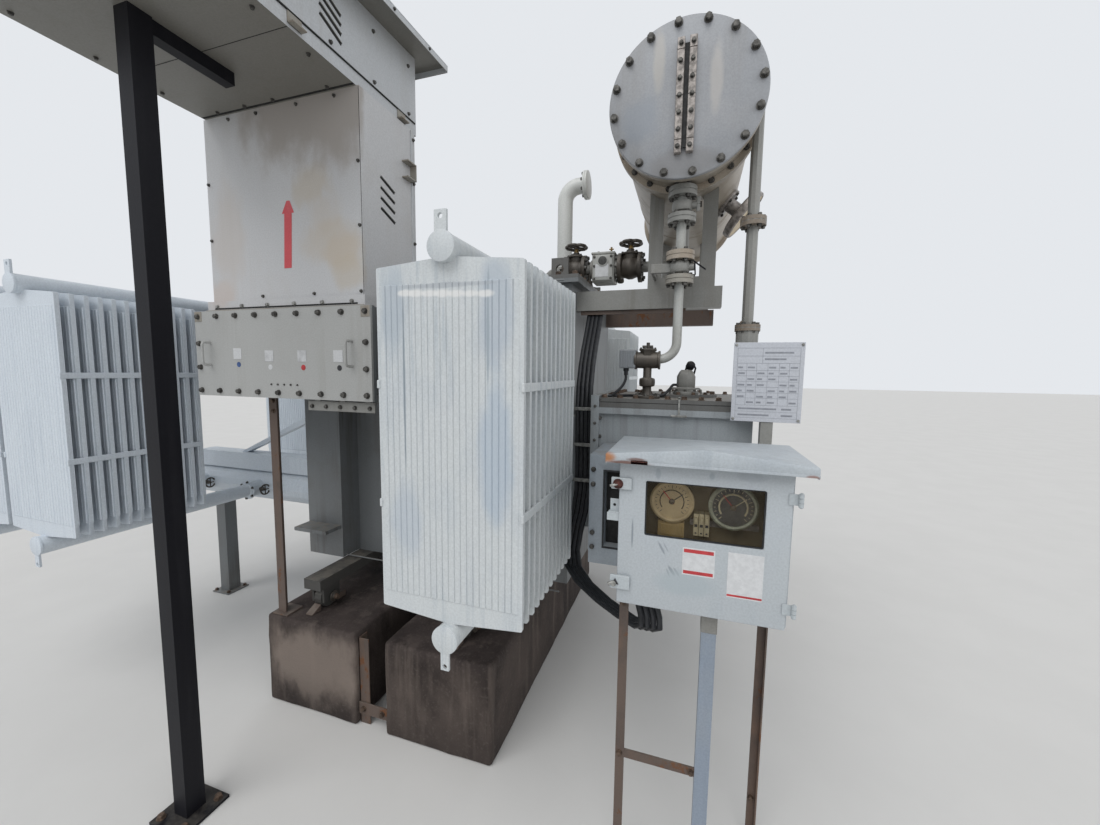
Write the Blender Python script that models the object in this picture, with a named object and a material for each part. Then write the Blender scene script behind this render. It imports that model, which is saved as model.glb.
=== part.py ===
"""Power transformer with separate cooling radiators, built at its real size in metres, Z up.

X runs to the right along the front, Y runs to the back. All places are first worked out from the
middle of the tank on the ground. At the end the whole model is set with the middle of its
footprint on the origin.
"""

import math

import bmesh
import bpy
from mathutils import Matrix, Vector

# Shared clearances
SEAT_GAP = 0.0003
WELD = 0.006
OVERRUN = 0.02
RUNNING_GAP = 0.006

# Plinths under the rollers
PLINTH_HEIGHT = 0.48
PLINTH_WIDTH = 0.57
PLINTH_LENGTH = 2.0
PLINTH_SPACING = 0.74
PLINTH_SHIFT = -0.065

# Rollers and skids
ROLLER_RADIUS = 0.06
ROLLER_WIDTH = 0.045
AXLE_RADIUS = 0.015
ROLLER_GAUGE = 0.86
ROLLER_BASE = 1.64
SKID_WIDTH = 0.11
SKID_HEIGHT = 0.055
SKID_END = 0.09
CHEEK_THICKNESS = 0.012
CHEEK_LENGTH = 0.11
CHEEK_DROP = 0.085

# Tank and cover
TANK_WIDTH = 1.58
TANK_DEPTH = 1.0
TANK_HEIGHT = 1.57
RIM_HEIGHT = 0.02
RIM_OVERHANG = 0.04
COVER_THICKNESS = 0.018
POST_WIDTH = 0.248
RIGHT_POST_INSET = 0.52
POST_DEPTH = 0.14
POST_HEIGHT = 0.95
RIB_WIDTH = 0.06
RIB_DEPTH = 0.045
RIB_PLACE_SHARE = 0.4
JACK_PAD_HEIGHT = 0.18
JACK_PAD_THICKNESS = 0.02
JACK_PAD_REACH = 0.12
LIFTING_EYE_WIDTH = 0.09
LIFTING_EYE_HEIGHT = 0.11
LIFTING_EYE_THICKNESS = 0.02
LIFTING_EYE_HOLE = 0.022
LIFTING_EYE_INSET = 0.09

# Radiators
RADIATOR_WIDTH = 0.52
RADIATOR_DEPTH = 0.585
RADIATOR_PLATES = 12
RADIATOR_PLATE_THICKNESS = 0.024
RADIATOR_SHOULDER_LOW = 0.97
RADIATOR_SHOULDER_HIGH = 2.10
RADIATOR_CROWN = 0.022
HEADER_RADIUS = 0.0445
HEADER_HIGH = 2.145
HEADER_LOW = 0.909
HEADER_FLANGE_RADIUS = 0.065
HEADER_FLANGE_THICKNESS = 0.03
RADIATOR_REACH = 0.35
FRONT_RADIATOR_INSET = 0.145
RADIATOR_LUG_WIDTH = 0.042
RADIATOR_LUG_HEIGHT = 0.06
RADIATOR_LUG_THICKNESS = 0.012

# Side bank of radiators on its manifolds
BANK_Y = -0.22
BANK_REACH = 0.801
BANK_NEAR = 0.63
BANK_PITCH = 0.55
BANK_COLUMNS = 2
MANIFOLD_RADIUS = 0.11
MANIFOLD_HIGH_RADIUS = 0.06
BRANCH_RADIUS = 0.055
BRANCH_REACH = 0.18
STRUT_SIZE = 0.05
BANK_BEAM_SIZE = 0.12
BANK_LEG_SIZE = 0.09

# Low voltage terminal box
LV_BOX_INSET = 0.315
LV_BOX_WIDTH = 1.065
LV_BOX_HEIGHT = 0.415
LV_BOX_LOW = 1.635
LV_BOX_FRONT = -1.07
LV_COVER_THICKNESS = 0.012
LV_COVER_LIP = 0.025
LV_FLANGE_DEPTH = 0.015
HANDLE_WIDTH = 0.055
HANDLE_HEIGHT = 0.11
HANDLE_REACH = 0.04
HANDLE_RADIUS = 0.006
HANDLE_INSET = 0.10
HANDLE_BEND = 0.014
LV_LEG_INSET = 0.075
LV_LEG_Y = -0.965
LV_LEG_SIZE = 0.05
LV_LEG_THICKNESS = 0.006

# Riser and hood
RISER_WIDTH = 0.921
RISER_FRONT = -1.02
RISER_DEPTH = 0.38
RISER_FOOT_HEIGHT = 0.05
RISER_HEIGHT = 0.867
RISER_FOOT_LIP = 0.018
HOOD_FRONT = -1.77
HOOD_BACK = -0.60
HOOD_SKIRT = 0.025
HOOD_FRONT_HEIGHT = 0.30
HOOD_BACK_HEIGHT = 0.37
ROOF_THICKNESS = 0.006
ROOF_OVERHANG = 0.11
HOOD_POST_SIZE = 0.07
HOOD_POST_Y = -1.55
HOOD_POST_FOOT = 0.18
HOOD_POST_FOOT_THICKNESS = 0.012
HOOD_BEAM_SIZE = 0.05
HOOD_BEAM_REACH = 0.325

# Conservator
CONSERVATOR_REACH = 0.51
CONSERVATOR_Z = 2.87
CONSERVATOR_RADIUS = 0.28
CONSERVATOR_FRONT = -0.71
CONSERVATOR_LENGTH = 1.48
CONSERVATOR_FLANGE_RADIUS = 0.306
CONSERVATOR_FLANGE_THICKNESS = 0.02
CONSERVATOR_COVER_THICKNESS = 0.016
CONSERVATOR_JOINT_Y = -0.32
CONSERVATOR_JOINT_THICKNESS = 0.04
GAUGE_WIDTH = 0.075
GAUGE_HEIGHT = 0.43
GAUGE_DEPTH = 0.028
GAUGE_SLOT_WIDTH = 0.016
GAUGE_SLOT_INSET = 0.03
DIAL_RADIUS = 0.13
DIAL_DEPTH = 0.05
DIAL_Y = -0.02
DIAL_ANGLE = math.radians(-40)
DIAL_STEM_RADIUS = 0.035
DIAL_STEM_LENGTH = 0.075

# Beams and saddles that carry the conservator
BEAM_LOW = 2.09
BEAM_HEIGHT = 0.097
BEAM_WIDTH = 0.07
BEAM_FLANGE = 0.01
BEAM_REACH = 0.70
BEAM_FRONT_Y = -0.37
BEAM_BACK_Y = 0.45
SADDLE_POST_WIDTH = 0.065
SADDLE_POST_DEPTH = 0.05
SADDLE_SPAN = 0.31
SADDLE_SILL = 0.05

# Oil pipe, gas relay and its two valves
OIL_PIPE_RADIUS = 0.028
OIL_PIPE_Z = 2.335
OIL_PIPE_Y = -0.22
OIL_PIPE_INSET = 0.23
OIL_BEND = 0.08
VALVE_LEFT_RUN = 0.565
VALVE_RIGHT_RUN = 0.265
VALVE_BODY_RADIUS = 0.055
VALVE_BODY_LENGTH = 0.11
VALVE_FLANGE_RADIUS = 0.078
VALVE_FLANGE_THICKNESS = 0.016
VALVE_NECK_RADIUS = 0.022
VALVE_NECK_HEIGHT = 0.115
WHEEL_RADIUS = 0.055
WHEEL_RIM_RADIUS = 0.009
WHEEL_HUB_RADIUS = 0.016
WHEEL_HUB_HEIGHT = 0.022
WHEEL_SPOKE_WIDTH = 0.011
WHEEL_SPOKES = 4
RELAY_RUN = 0.404
RELAY_WIDTH = 0.12
RELAY_DEPTH = 0.13
RELAY_HEIGHT = 0.166

# Pressure vent
VENT_INSET = 0.181
VENT_Y = -0.02
VENT_RADIUS = 0.045
VENT_HIGH = 2.87
VENT_BEND = 0.085
VENT_MOUTH_REACH = 0.05
VENT_FLANGE_RADIUS = 0.078
VENT_FLANGE_THICKNESS = 0.022

# Tap changer
NECK_LENGTH = 0.175
TAP_WIDTH = 0.66
TAP_FRONT = -0.62
TAP_DEPTH = 0.66
TAP_LOW = 0.93
TAP_HEIGHT = 0.685
TAP_RIM = 0.028
TAP_LID_THICKNESS = 0.045
TAP_LID_LIP = 0.02
TAP_HATCH_RADIUS = 0.2
TAP_HATCH_HEIGHT = 0.015
NECK_DEPTH = 0.46
NECK_HEIGHT = 0.56
NECK_FLANGE_THICKNESS = 0.035
NECK_FLANGE_RISE = 0.055
SURGE_PIPE_RADIUS = 0.022
SURGE_PIPE_Y = -0.57
SURGE_PIPE_LOW = 1.84
SURGE_RELAY_RUN = 0.135
SURGE_RELAY_RADIUS = 0.045
SURGE_RELAY_LENGTH = 0.13
SURGE_BEND = 0.055
SURGE_BOX_SIZE = 0.085
SURGE_FLANGE_RADIUS = 0.06
SURGE_FLANGE_HEIGHT = 0.022
SURGE_VALVE_RADIUS = 0.04
SURGE_VALVE_HEIGHT = 0.07
RELIEF_BASE_RADIUS = 0.062
RELIEF_BASE_HEIGHT = 0.025
RELIEF_BODY_RADIUS = 0.04
RELIEF_BODY_HEIGHT = 0.095
RELIEF_KNOB_RADIUS = 0.018
RELIEF_KNOB_HEIGHT = 0.04
RELIEF_RIGHTWARD = 0.05
RELIEF_FORWARD = 0.11
DRIVE_WIDTH = 0.45
DRIVE_DEPTH = 0.29
DRIVE_LOW = 1.0
DRIVE_HEIGHT = 0.45
DRIVE_INSET = 0.03

# Marshalling box on its stand
KIOSK_SHIFT = 0.206
KIOSK_WIDTH = 0.492
KIOSK_FRONT = -1.27
KIOSK_DEPTH = 0.30
KIOSK_LOW = 1.035
KIOSK_HEIGHT = 0.473
KIOSK_WALL = 0.02
DOOR_THICKNESS = 0.02
DOOR_INSET = 0.006
WINDOW_LEFT_SHARE = 0.155
WINDOW_RIGHT_SHARE = 0.85
WINDOW_LOW_SHARE = 0.495
WINDOW_HIGH_SHARE = 0.865
WINDOW_GLASS = 0.005
WINDOW_REBATE = 0.009
WINDOW_REBATE_DEPTH = 0.01
HINGE_RADIUS = 0.008
HINGE_LENGTH = 0.045
HINGE_HIGH_SHARE = 0.83
HINGE_LOW_SHARE = 0.14
HINGE_OUT = 0.012
LATCH_WIDTH = 0.05
LATCH_HEIGHT = 0.03
LATCH_DEPTH = 0.018
PANEL_BACK = 0.12
PANEL_THICKNESS = 0.03
GAUGE_RADII = (0.068, 0.072)
GAUGE_X_SHARES = (0.312, 0.69)
GAUGE_Z_SHARE = 0.687
KIOSK_GAUGE_DEPTH = 0.045
KIOSK_ROOF_OVERHANG = 0.045
KIOSK_ROOF_RISE = 0.03
KIOSK_ROOF_EAVE = 0.022
KIOSK_POST_SIZE = 0.045
KIOSK_POST_X_SHARE = 0.575
KIOSK_LEG_SIZE = 0.03
KIOSK_LEG_THICKNESS = 0.005
KIOSK_TIE_Z = 0.47

# Breather pipes, rating plate and its post
BREATHER_SPACING = 0.285
BREATHER_Y = -0.60
BREATHER_RADIUS = 0.021
BREATHER_TOP = 3.05
BREATHER_LOW = 1.96
BREATHER_BEND = 0.05
BREATHER_FLANGE_RADIUS = 0.05
BREATHER_FLANGE_HEIGHT = 0.02
BREATHER_JOINT_Z = 2.39
BREATHER_BODY_RADIUS = 0.05
BREATHER_BODY_HEIGHT = 0.27
SECOND_PIPE_RADIUS = 0.014
SECOND_PIPE_SPACING = 0.055
SECOND_PIPE_TOP = 2.80
PLATE_OVERLAP = 0.095
PLATE_WIDTH = 0.258
PLATE_HEIGHT = 0.32
PLATE_LOW = 1.585
PLATE_THICKNESS = 0.004
PLATE_FRONT = -0.69
PLATE_POST_SIZE = 0.045

# Control cables along the tap changer's neck flange
CABLE_RADIUS = 0.011
CABLE_COUNT = 4
CABLE_SPACING = 0.021
CABLE_Y = -0.57
CABLE_CLIP_HEIGHT = 0.02
CABLE_CLIP_HEIGHTS = (1.25, 1.6)
CABLE_TOP_SPREAD = 0.19
CABLE_DIP = 0.16

# Counts of sides on round pieces
PIPE_SIDES = 12
SHELL_SIDES = 28
WHEEL_SIDES = 16
RIM_SIDES = 6
CURVE_STEPS = 4

# Paint and surfaces: colour, roughness, metallic
FINISHES = {
    "radiator_paint": ((0.66, 0.70, 0.72), 0.55, 0.0),
    "grey_paint": ((0.36, 0.38, 0.37), 0.5, 0.0),
    "kiosk_paint": ((0.60, 0.64, 0.62), 0.5, 0.0),
    "hood_paint": ((0.42, 0.43, 0.42), 0.5, 0.0),
    "concrete": ((0.16, 0.14, 0.12), 0.9, 0.0),
    "black_steel": ((0.025, 0.027, 0.03), 0.45, 0.0),
    "rusty_steel": ((0.14, 0.09, 0.07), 0.8, 0.2),
    "old_iron": ((0.12, 0.105, 0.09), 0.6, 0.4),
    "blue_paint": ((0.25, 0.31, 0.36), 0.6, 0.0),
    "plate_white": ((0.62, 0.64, 0.64), 0.4, 0.0),
    "window_glass": ((0.30, 0.28, 0.22), 0.1, 0.0),
    "dial_face": ((0.35, 0.32, 0.24), 0.35, 0.0),
    "cable_black": ((0.02, 0.02, 0.022), 0.5, 0.0),
}

# Heights and faces that many pieces share
PLINTH_TOP = PLINTH_HEIGHT
SKID_LOW = PLINTH_TOP + SEAT_GAP + 2 * ROLLER_RADIUS + RUNNING_GAP
SKID_TOP = SKID_LOW + SKID_HEIGHT
TANK_LOW = SKID_TOP + SEAT_GAP
TANK_TOP = TANK_LOW + TANK_HEIGHT
COVER_LOW = TANK_TOP + SEAT_GAP
COVER_TOP = COVER_LOW + COVER_THICKNESS
TANK_LEFT = -TANK_WIDTH / 2
TANK_RIGHT = TANK_WIDTH / 2
TANK_FRONT = -TANK_DEPTH / 2
TANK_BACK = TANK_DEPTH / 2
SKID_LENGTH = ROLLER_BASE + 2 * SKID_END
RIGHT_POST_X = TANK_RIGHT - RIGHT_POST_INSET
RADIATOR_NEAR_Y = TANK_BACK + RADIATOR_REACH
FRONT_RADIATOR_X = TANK_RIGHT - FRONT_RADIATOR_INSET
BANK_FIRST_X = TANK_LEFT - BANK_REACH
LV_BOX_X = TANK_LEFT + LV_BOX_INSET
PLINTH_OUTER_X = PLINTH_SHIFT - PLINTH_SPACING / 2 - PLINTH_WIDTH / 2
LV_LEG_X = PLINTH_OUTER_X + LV_LEG_INSET
LV_BOX_HIGH = LV_BOX_LOW + LV_BOX_HEIGHT
RISER_LOW = LV_BOX_HIGH + RISER_FOOT_HEIGHT
RISER_HIGH = RISER_LOW + RISER_HEIGHT
HOOD_LOW = RISER_HIGH + SEAT_GAP
BEAM_TOP = BEAM_LOW + BEAM_HEIGHT
CONSERVATOR_X = TANK_RIGHT + CONSERVATOR_REACH
OIL_PIPE_START_X = TANK_RIGHT - OIL_PIPE_INSET
VALVE_LEFT_X = CONSERVATOR_X - VALVE_LEFT_RUN
VALVE_RIGHT_X = CONSERVATOR_X - VALVE_RIGHT_RUN
RELAY_X = CONSERVATOR_X - RELAY_RUN
SURGE_RELAY_X = CONSERVATOR_X - SURGE_RELAY_RUN
BREATHER_X = CONSERVATOR_X + BREATHER_SPACING
VENT_X = TANK_RIGHT - VENT_INSET
TAP_LEFT = TANK_RIGHT + NECK_LENGTH
DRIVE_LEFT = TAP_LEFT + DRIVE_INSET
TAP_RIGHT = TAP_LEFT + TAP_WIDTH
TAP_BACK = TAP_FRONT + TAP_DEPTH
RELIEF_X = (TAP_LEFT + TAP_RIGHT) / 2 + RELIEF_RIGHTWARD
RELIEF_Y = (TAP_FRONT + TAP_BACK) / 2 - RELIEF_FORWARD
TAP_TOP = TAP_LOW + TAP_HEIGHT
TAP_LID_LOW = TAP_TOP + SEAT_GAP
TAP_LID_TOP = TAP_LID_LOW + TAP_LID_THICKNESS
PLATE_LEFT = TAP_RIGHT - PLATE_OVERLAP
KIOSK_LEFT = TAP_LEFT + KIOSK_SHIFT
KIOSK_RIGHT = KIOSK_LEFT + KIOSK_WIDTH
KIOSK_BACK = KIOSK_FRONT + KIOSK_DEPTH
KIOSK_TOP = KIOSK_LOW + KIOSK_HEIGHT
KIOSK_SHELL_FRONT = KIOSK_FRONT + DOOR_THICKNESS + SEAT_GAP


def clear_scene():
    """Remove whatever objects the open scene holds."""
    for item in list(bpy.data.objects):
        bpy.data.objects.remove(item)


def new_collection(name):
    """Make a collection under the scene."""
    group = bpy.data.collections.new(name)
    bpy.context.scene.collection.children.link(group)
    return group


def new_materials():
    """Make one plain material for each finish."""
    made = {}
    for name, (colour, roughness, metallic) in FINISHES.items():
        material = bpy.data.materials.new(name)
        material.use_nodes = True
        shader = material.node_tree.nodes["Principled BSDF"]
        shader.inputs["Base Color"].default_value = (*colour, 1)
        shader.inputs["Roughness"].default_value = roughness
        shader.inputs["Metallic"].default_value = metallic
        made[name] = material
    return made


def around(centre, size):
    """Low and high ends of a size centred on a place."""
    return (centre - size / 2, centre + size / 2)


def add_box(bm, x, y, z):
    """Add a box that fills three ranges."""
    size = (x[1] - x[0], y[1] - y[0], z[1] - z[0])
    centre = Vector((x[0] + x[1], y[0] + y[1], z[0] + z[1])) / 2
    place = Matrix.Translation(centre) @ Matrix.Diagonal((*size, 1))
    bmesh.ops.create_cube(bm, size=1, matrix=place)


def boxes(*ranges):
    """A mesh of boxes, each given by its ranges along X, Y and Z."""
    bm = bmesh.new()
    for x, y, z in ranges:
        add_box(bm, x, y, z)
    return bm


def add_rod(bm, start, end, radius, sides):
    """Add a round rod between two points."""
    start = Vector(start)
    end = Vector(end)
    turn = (end - start).to_track_quat("Z", "Y").to_matrix().to_4x4()
    place = Matrix.Translation((start + end) / 2) @ turn
    depth = (end - start).length
    bmesh.ops.create_cone(
        bm, cap_ends=True, segments=sides, radius1=radius, radius2=radius, depth=depth, matrix=place
    )


def rods(*lines, sides=PIPE_SIDES):
    """A mesh of round rods, each given by its two ends and its radius."""
    bm = bmesh.new()
    for start, end, radius in lines:
        add_rod(bm, start, end, radius, sides)
    return bm


def turned(profile, start, direction, sides=PIPE_SIDES):
    """Turn a profile of (radius, distance) points about a line, closed at both ends."""
    bm = bmesh.new()
    points = [(0, profile[0][1]), *profile, (0, profile[-1][1])]
    corners = [bm.verts.new((radius, 0, along)) for radius, along in points]
    edges = [bm.edges.new(pair) for pair in zip(corners, corners[1:])]
    bmesh.ops.spin(
        bm, geom=corners + edges, cent=(0, 0, 0), axis=(0, 0, 1), angle=2 * math.pi, steps=sides,
        use_merge=True,
    )
    bmesh.ops.remove_doubles(bm, verts=bm.verts, dist=SEAT_GAP / 3)
    bmesh.ops.recalc_face_normals(bm, faces=bm.faces)
    turn = Vector(direction).to_track_quat("Z", "Y").to_matrix().to_4x4()
    bm.transform(Matrix.Translation(start) @ turn)
    return bm


def mesh_from_curve(curve):
    """Turn a curve into a closed mesh, with its caps welded."""
    holder = bpy.data.objects.new("curve_source", curve)
    bpy.context.scene.collection.objects.link(holder)
    bpy.context.view_layer.update()
    graph = bpy.context.evaluated_depsgraph_get()
    mesh = bpy.data.meshes.new_from_object(holder.evaluated_get(graph))
    bm = bmesh.new()
    bm.from_mesh(mesh)
    bmesh.ops.remove_doubles(bm, verts=bm.verts, dist=SEAT_GAP / 3)
    bmesh.ops.recalc_face_normals(bm, faces=bm.faces)
    bpy.data.objects.remove(holder)
    bpy.data.meshes.remove(mesh)
    bpy.data.curves.remove(curve)
    return bm


def tube(points, radius):
    """A round tube along a line of points."""
    curve = bpy.data.curves.new("tube", "CURVE")
    curve.dimensions = "3D"
    curve.bevel_depth = radius
    curve.bevel_resolution = 2
    curve.use_fill_caps = True
    spline = curve.splines.new("POLY")
    spline.points.add(len(points) - 1)
    for point, place in zip(spline.points, points):
        point.co = (*place, 1)
    return mesh_from_curve(curve)


def sheet(outline, thickness, place):
    """A flat plate with the given outline, its mid plane set by a matrix."""
    curve = bpy.data.curves.new("sheet", "CURVE")
    curve.dimensions = "2D"
    curve.fill_mode = "BOTH"
    curve.extrude = thickness / 2
    spline = curve.splines.new("POLY")
    spline.points.add(len(outline) - 1)
    for point, (across, up) in zip(spline.points, outline):
        point.co = (across, up, 0, 1)
    spline.use_cyclic_u = True
    bm = mesh_from_curve(curve)
    bm.transform(place)
    return bm


def facing_y(y):
    """Matrix for a sheet whose outline is given in X and Z."""
    return Matrix.Translation((0, y, 0)) @ Matrix.Rotation(math.pi / 2, 4, "X")


def facing_x(x):
    """Matrix for a sheet whose outline is given in Y and Z."""
    upright = Matrix.Rotation(math.pi / 2, 4, "Z") @ Matrix.Rotation(math.pi / 2, 4, "X")
    return Matrix.Translation((x, 0, 0)) @ upright


def bend_points(before, corner, after, radius, steps=4):
    """Points of a rounded corner between two straight runs."""
    corner = Vector(corner)
    first = (Vector(before) - corner).normalized()
    last = (Vector(after) - corner).normalized()
    centre = corner + (first + last) * radius
    start = -last * radius
    end = -first * radius
    points = []
    for step in range(steps + 1):
        angle = math.pi / 2 * step / steps
        points.append(centre + start * math.cos(angle) + end * math.sin(angle))
    return points


def smooth_route(stops, steps=CURVE_STEPS):
    """Points of a smooth curve through the given stops."""
    stops = [Vector(stop) for stop in stops]
    padded = [2 * stops[0] - stops[1], *stops, 2 * stops[-1] - stops[-2]]
    points = []
    for before, start, end, after in zip(padded, padded[1:], padded[2:], padded[3:]):
        for step in range(steps):
            part = step / steps
            bend = 2 * before - 5 * start + 4 * end - after
            twist = 3 * start - before - 3 * end + after
            points.append((2 * start + (end - before) * part + bend * part**2 + twist * part**3) / 2)
    points.append(stops[-1])
    return points


def lowest_middle(bm):
    """Middle of a mesh's footprint, at its lowest height."""
    places = [vert.co for vert in bm.verts]
    low = Vector(min(place[axis] for place in places) for axis in range(3))
    high = Vector(max(place[axis] for place in places) for axis in range(3))
    return Vector(((low.x + high.x) / 2, (low.y + high.y) / 2, low.z))


class Builder:
    """Holds the collections, the materials and the empty that carries every piece."""

    def __init__(self):
        clear_scene()
        self.pieces = new_collection("power_transformer")
        self.cutters = new_collection("cutters")
        self.materials = new_materials()
        self.root = bpy.data.objects.new("transformer_frame", None)
        self.pieces.objects.link(self.root)

    def tool(self, piece, bm, operation):
        """Hang one helper solid on a piece and join it or cut with it."""
        mesh = bpy.data.meshes.new(piece.name + "_tool")
        bm.to_mesh(mesh)
        bm.free()
        helper = bpy.data.objects.new(piece.name + "_tool", mesh)
        self.cutters.objects.link(helper)
        helper.parent = piece
        helper.hide_render = True
        helper.display_type = "WIRE"
        change = piece.modifiers.new(operation.lower(), "BOOLEAN")
        change.operation = operation
        change.object = helper

    def piece(self, name, finish, body, welds=(), cuts=(), origin=None, smooth=False):
        """Make one named piece from a solid, with others welded on and some cut out."""
        origin = Vector(origin) if origin else lowest_middle(body)
        shift = Matrix.Translation(-origin)
        for bm in (body, *welds, *cuts):
            bm.transform(shift)
        mesh = bpy.data.meshes.new(name)
        body.to_mesh(mesh)
        body.free()
        made = bpy.data.objects.new(name, mesh)
        made.location = origin
        made.parent = self.root
        self.pieces.objects.link(made)
        mesh.materials.append(self.materials[finish])
        if smooth:
            mesh.shade_smooth()
            mesh.set_sharp_from_angle(angle=math.radians(35))
        for bm in welds:
            self.tool(made, bm, "UNION")
        for bm in cuts:
            self.tool(made, bm, "DIFFERENCE")
        return made


def build_plinths(build):
    """Two long concrete plinths."""
    for name, side in (("plinth_left", -1), ("plinth_right", 1)):
        x = PLINTH_SHIFT + side * PLINTH_SPACING / 2
        block = boxes((around(x, PLINTH_WIDTH), around(0, PLINTH_LENGTH), (0, PLINTH_HEIGHT)))
        build.piece(name, "concrete", block)


def build_undercarriage(build):
    """Skids along the tank floor, each with two chocked rollers in their forks."""
    sides = (("left", -1), ("right", 1))
    axle_z = PLINTH_TOP + SEAT_GAP + ROLLER_RADIUS
    for side_name, side in sides:
        x = PLINTH_SHIFT + side * ROLLER_GAUGE / 2
        beam = boxes((around(x, SKID_WIDTH), around(0, SKID_LENGTH), (SKID_LOW, SKID_TOP)))
        cheeks = bmesh.new()
        rollers = bmesh.new()
        axles = bmesh.new()
        half = ROLLER_WIDTH / 2
        reach = half + RUNNING_GAP + CHEEK_THICKNESS + WELD
        for end in (-1, 1):
            y = end * ROLLER_BASE / 2
            for hand in (-1, 1):
                cheek_x = x + hand * (half + RUNNING_GAP + CHEEK_THICKNESS / 2)
                cheek_z = (SKID_LOW - CHEEK_DROP, SKID_LOW + WELD)
                add_box(cheeks, around(cheek_x, CHEEK_THICKNESS), around(y, CHEEK_LENGTH), cheek_z)
            add_rod(rollers, (x - half, y, axle_z), (x + half, y, axle_z), ROLLER_RADIUS, WHEEL_SIDES)
            add_rod(axles, (x - reach, y, axle_z), (x + reach, y, axle_z), AXLE_RADIUS, PIPE_SIDES)
        build.piece(f"skid_{side_name}", "grey_paint", beam, welds=[cheeks, rollers, axles])


def jack_pad(x, outward):
    """Ranges of the jacking pad on a tank post."""
    face = outward * (TANK_DEPTH / 2 + POST_DEPTH - WELD)
    tip = face + outward * JACK_PAD_REACH
    y = (min(face, tip), max(face, tip))
    low = TANK_LOW + JACK_PAD_HEIGHT
    return (around(x, POST_WIDTH - OVERRUN), y, (low, low + JACK_PAD_THICKNESS))


def build_tank(build):
    """Tank body with its rim, corner posts, jacking pads and wall ribs, and the bolted cover."""
    body_top = TANK_TOP - RIM_HEIGHT / 2
    body = boxes(((TANK_LEFT, TANK_RIGHT), (TANK_FRONT, TANK_BACK), (TANK_LOW, body_top)))
    rim_x = (TANK_LEFT - RIM_OVERHANG, TANK_RIGHT + RIM_OVERHANG)
    rim_y = (TANK_FRONT - RIM_OVERHANG, TANK_BACK + RIM_OVERHANG)
    rim = boxes((rim_x, rim_y, (TANK_TOP - RIM_HEIGHT, TANK_TOP)))
    left_x = TANK_LEFT + POST_WIDTH / 2
    posts = bmesh.new()
    pads = bmesh.new()
    ribs = bmesh.new()
    post_z = (TANK_LOW + WELD, TANK_LOW + POST_HEIGHT)
    rib_z = (TANK_LOW + OVERRUN, TANK_TOP - RIM_HEIGHT - OVERRUN)
    for outward in (-1, 1):
        wall = outward * (TANK_DEPTH / 2 - WELD)
        face = outward * (TANK_DEPTH / 2 + POST_DEPTH)
        y = (min(wall, face), max(wall, face))
        for x in (left_x, RIGHT_POST_X):
            add_box(posts, around(x, POST_WIDTH), y, post_z)
            add_box(pads, *jack_pad(x, outward))
        rib_x = (TANK_LEFT - RIB_DEPTH, TANK_LEFT + WELD)
        rib_y = outward * TANK_DEPTH * RIB_PLACE_SHARE
        add_box(ribs, rib_x, around(rib_y, RIB_WIDTH), rib_z)
    build.piece("tank", "grey_paint", body, welds=[rim, posts, pads, ribs])
    lid = boxes((rim_x, rim_y, (COVER_LOW, COVER_TOP)))
    eyes = bmesh.new()
    holes = bmesh.new()
    for hand in (-1, 1):
        for end in (-1, 1):
            x = hand * (TANK_WIDTH / 2 - LIFTING_EYE_INSET)
            y = end * (TANK_DEPTH / 2 - LIFTING_EYE_INSET)
            eye_z = (COVER_TOP - WELD, COVER_TOP + LIFTING_EYE_HEIGHT)
            add_box(eyes, around(x, LIFTING_EYE_WIDTH), around(y, LIFTING_EYE_THICKNESS), eye_z)
            z = COVER_TOP + LIFTING_EYE_HEIGHT / 2
            reach = LIFTING_EYE_THICKNESS
            add_rod(holes, (x, y - reach, z), (x, y + reach, z), LIFTING_EYE_HOLE, PIPE_SIDES)
    build.piece("tank_cover", "grey_paint", lid, welds=[eyes], cuts=[holes])


def radiator_outline():
    """Outline of one radiator plate in X and Z, with a low crown at each header."""
    half = RADIATOR_WIDTH / 2
    return [
        (-half, RADIATOR_SHOULDER_LOW),
        (0, RADIATOR_SHOULDER_LOW - RADIATOR_CROWN),
        (half, RADIATOR_SHOULDER_LOW),
        (half, RADIATOR_SHOULDER_HIGH),
        (0, RADIATOR_SHOULDER_HIGH + RADIATOR_CROWN),
        (-half, RADIATOR_SHOULDER_HIGH),
    ]


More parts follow.
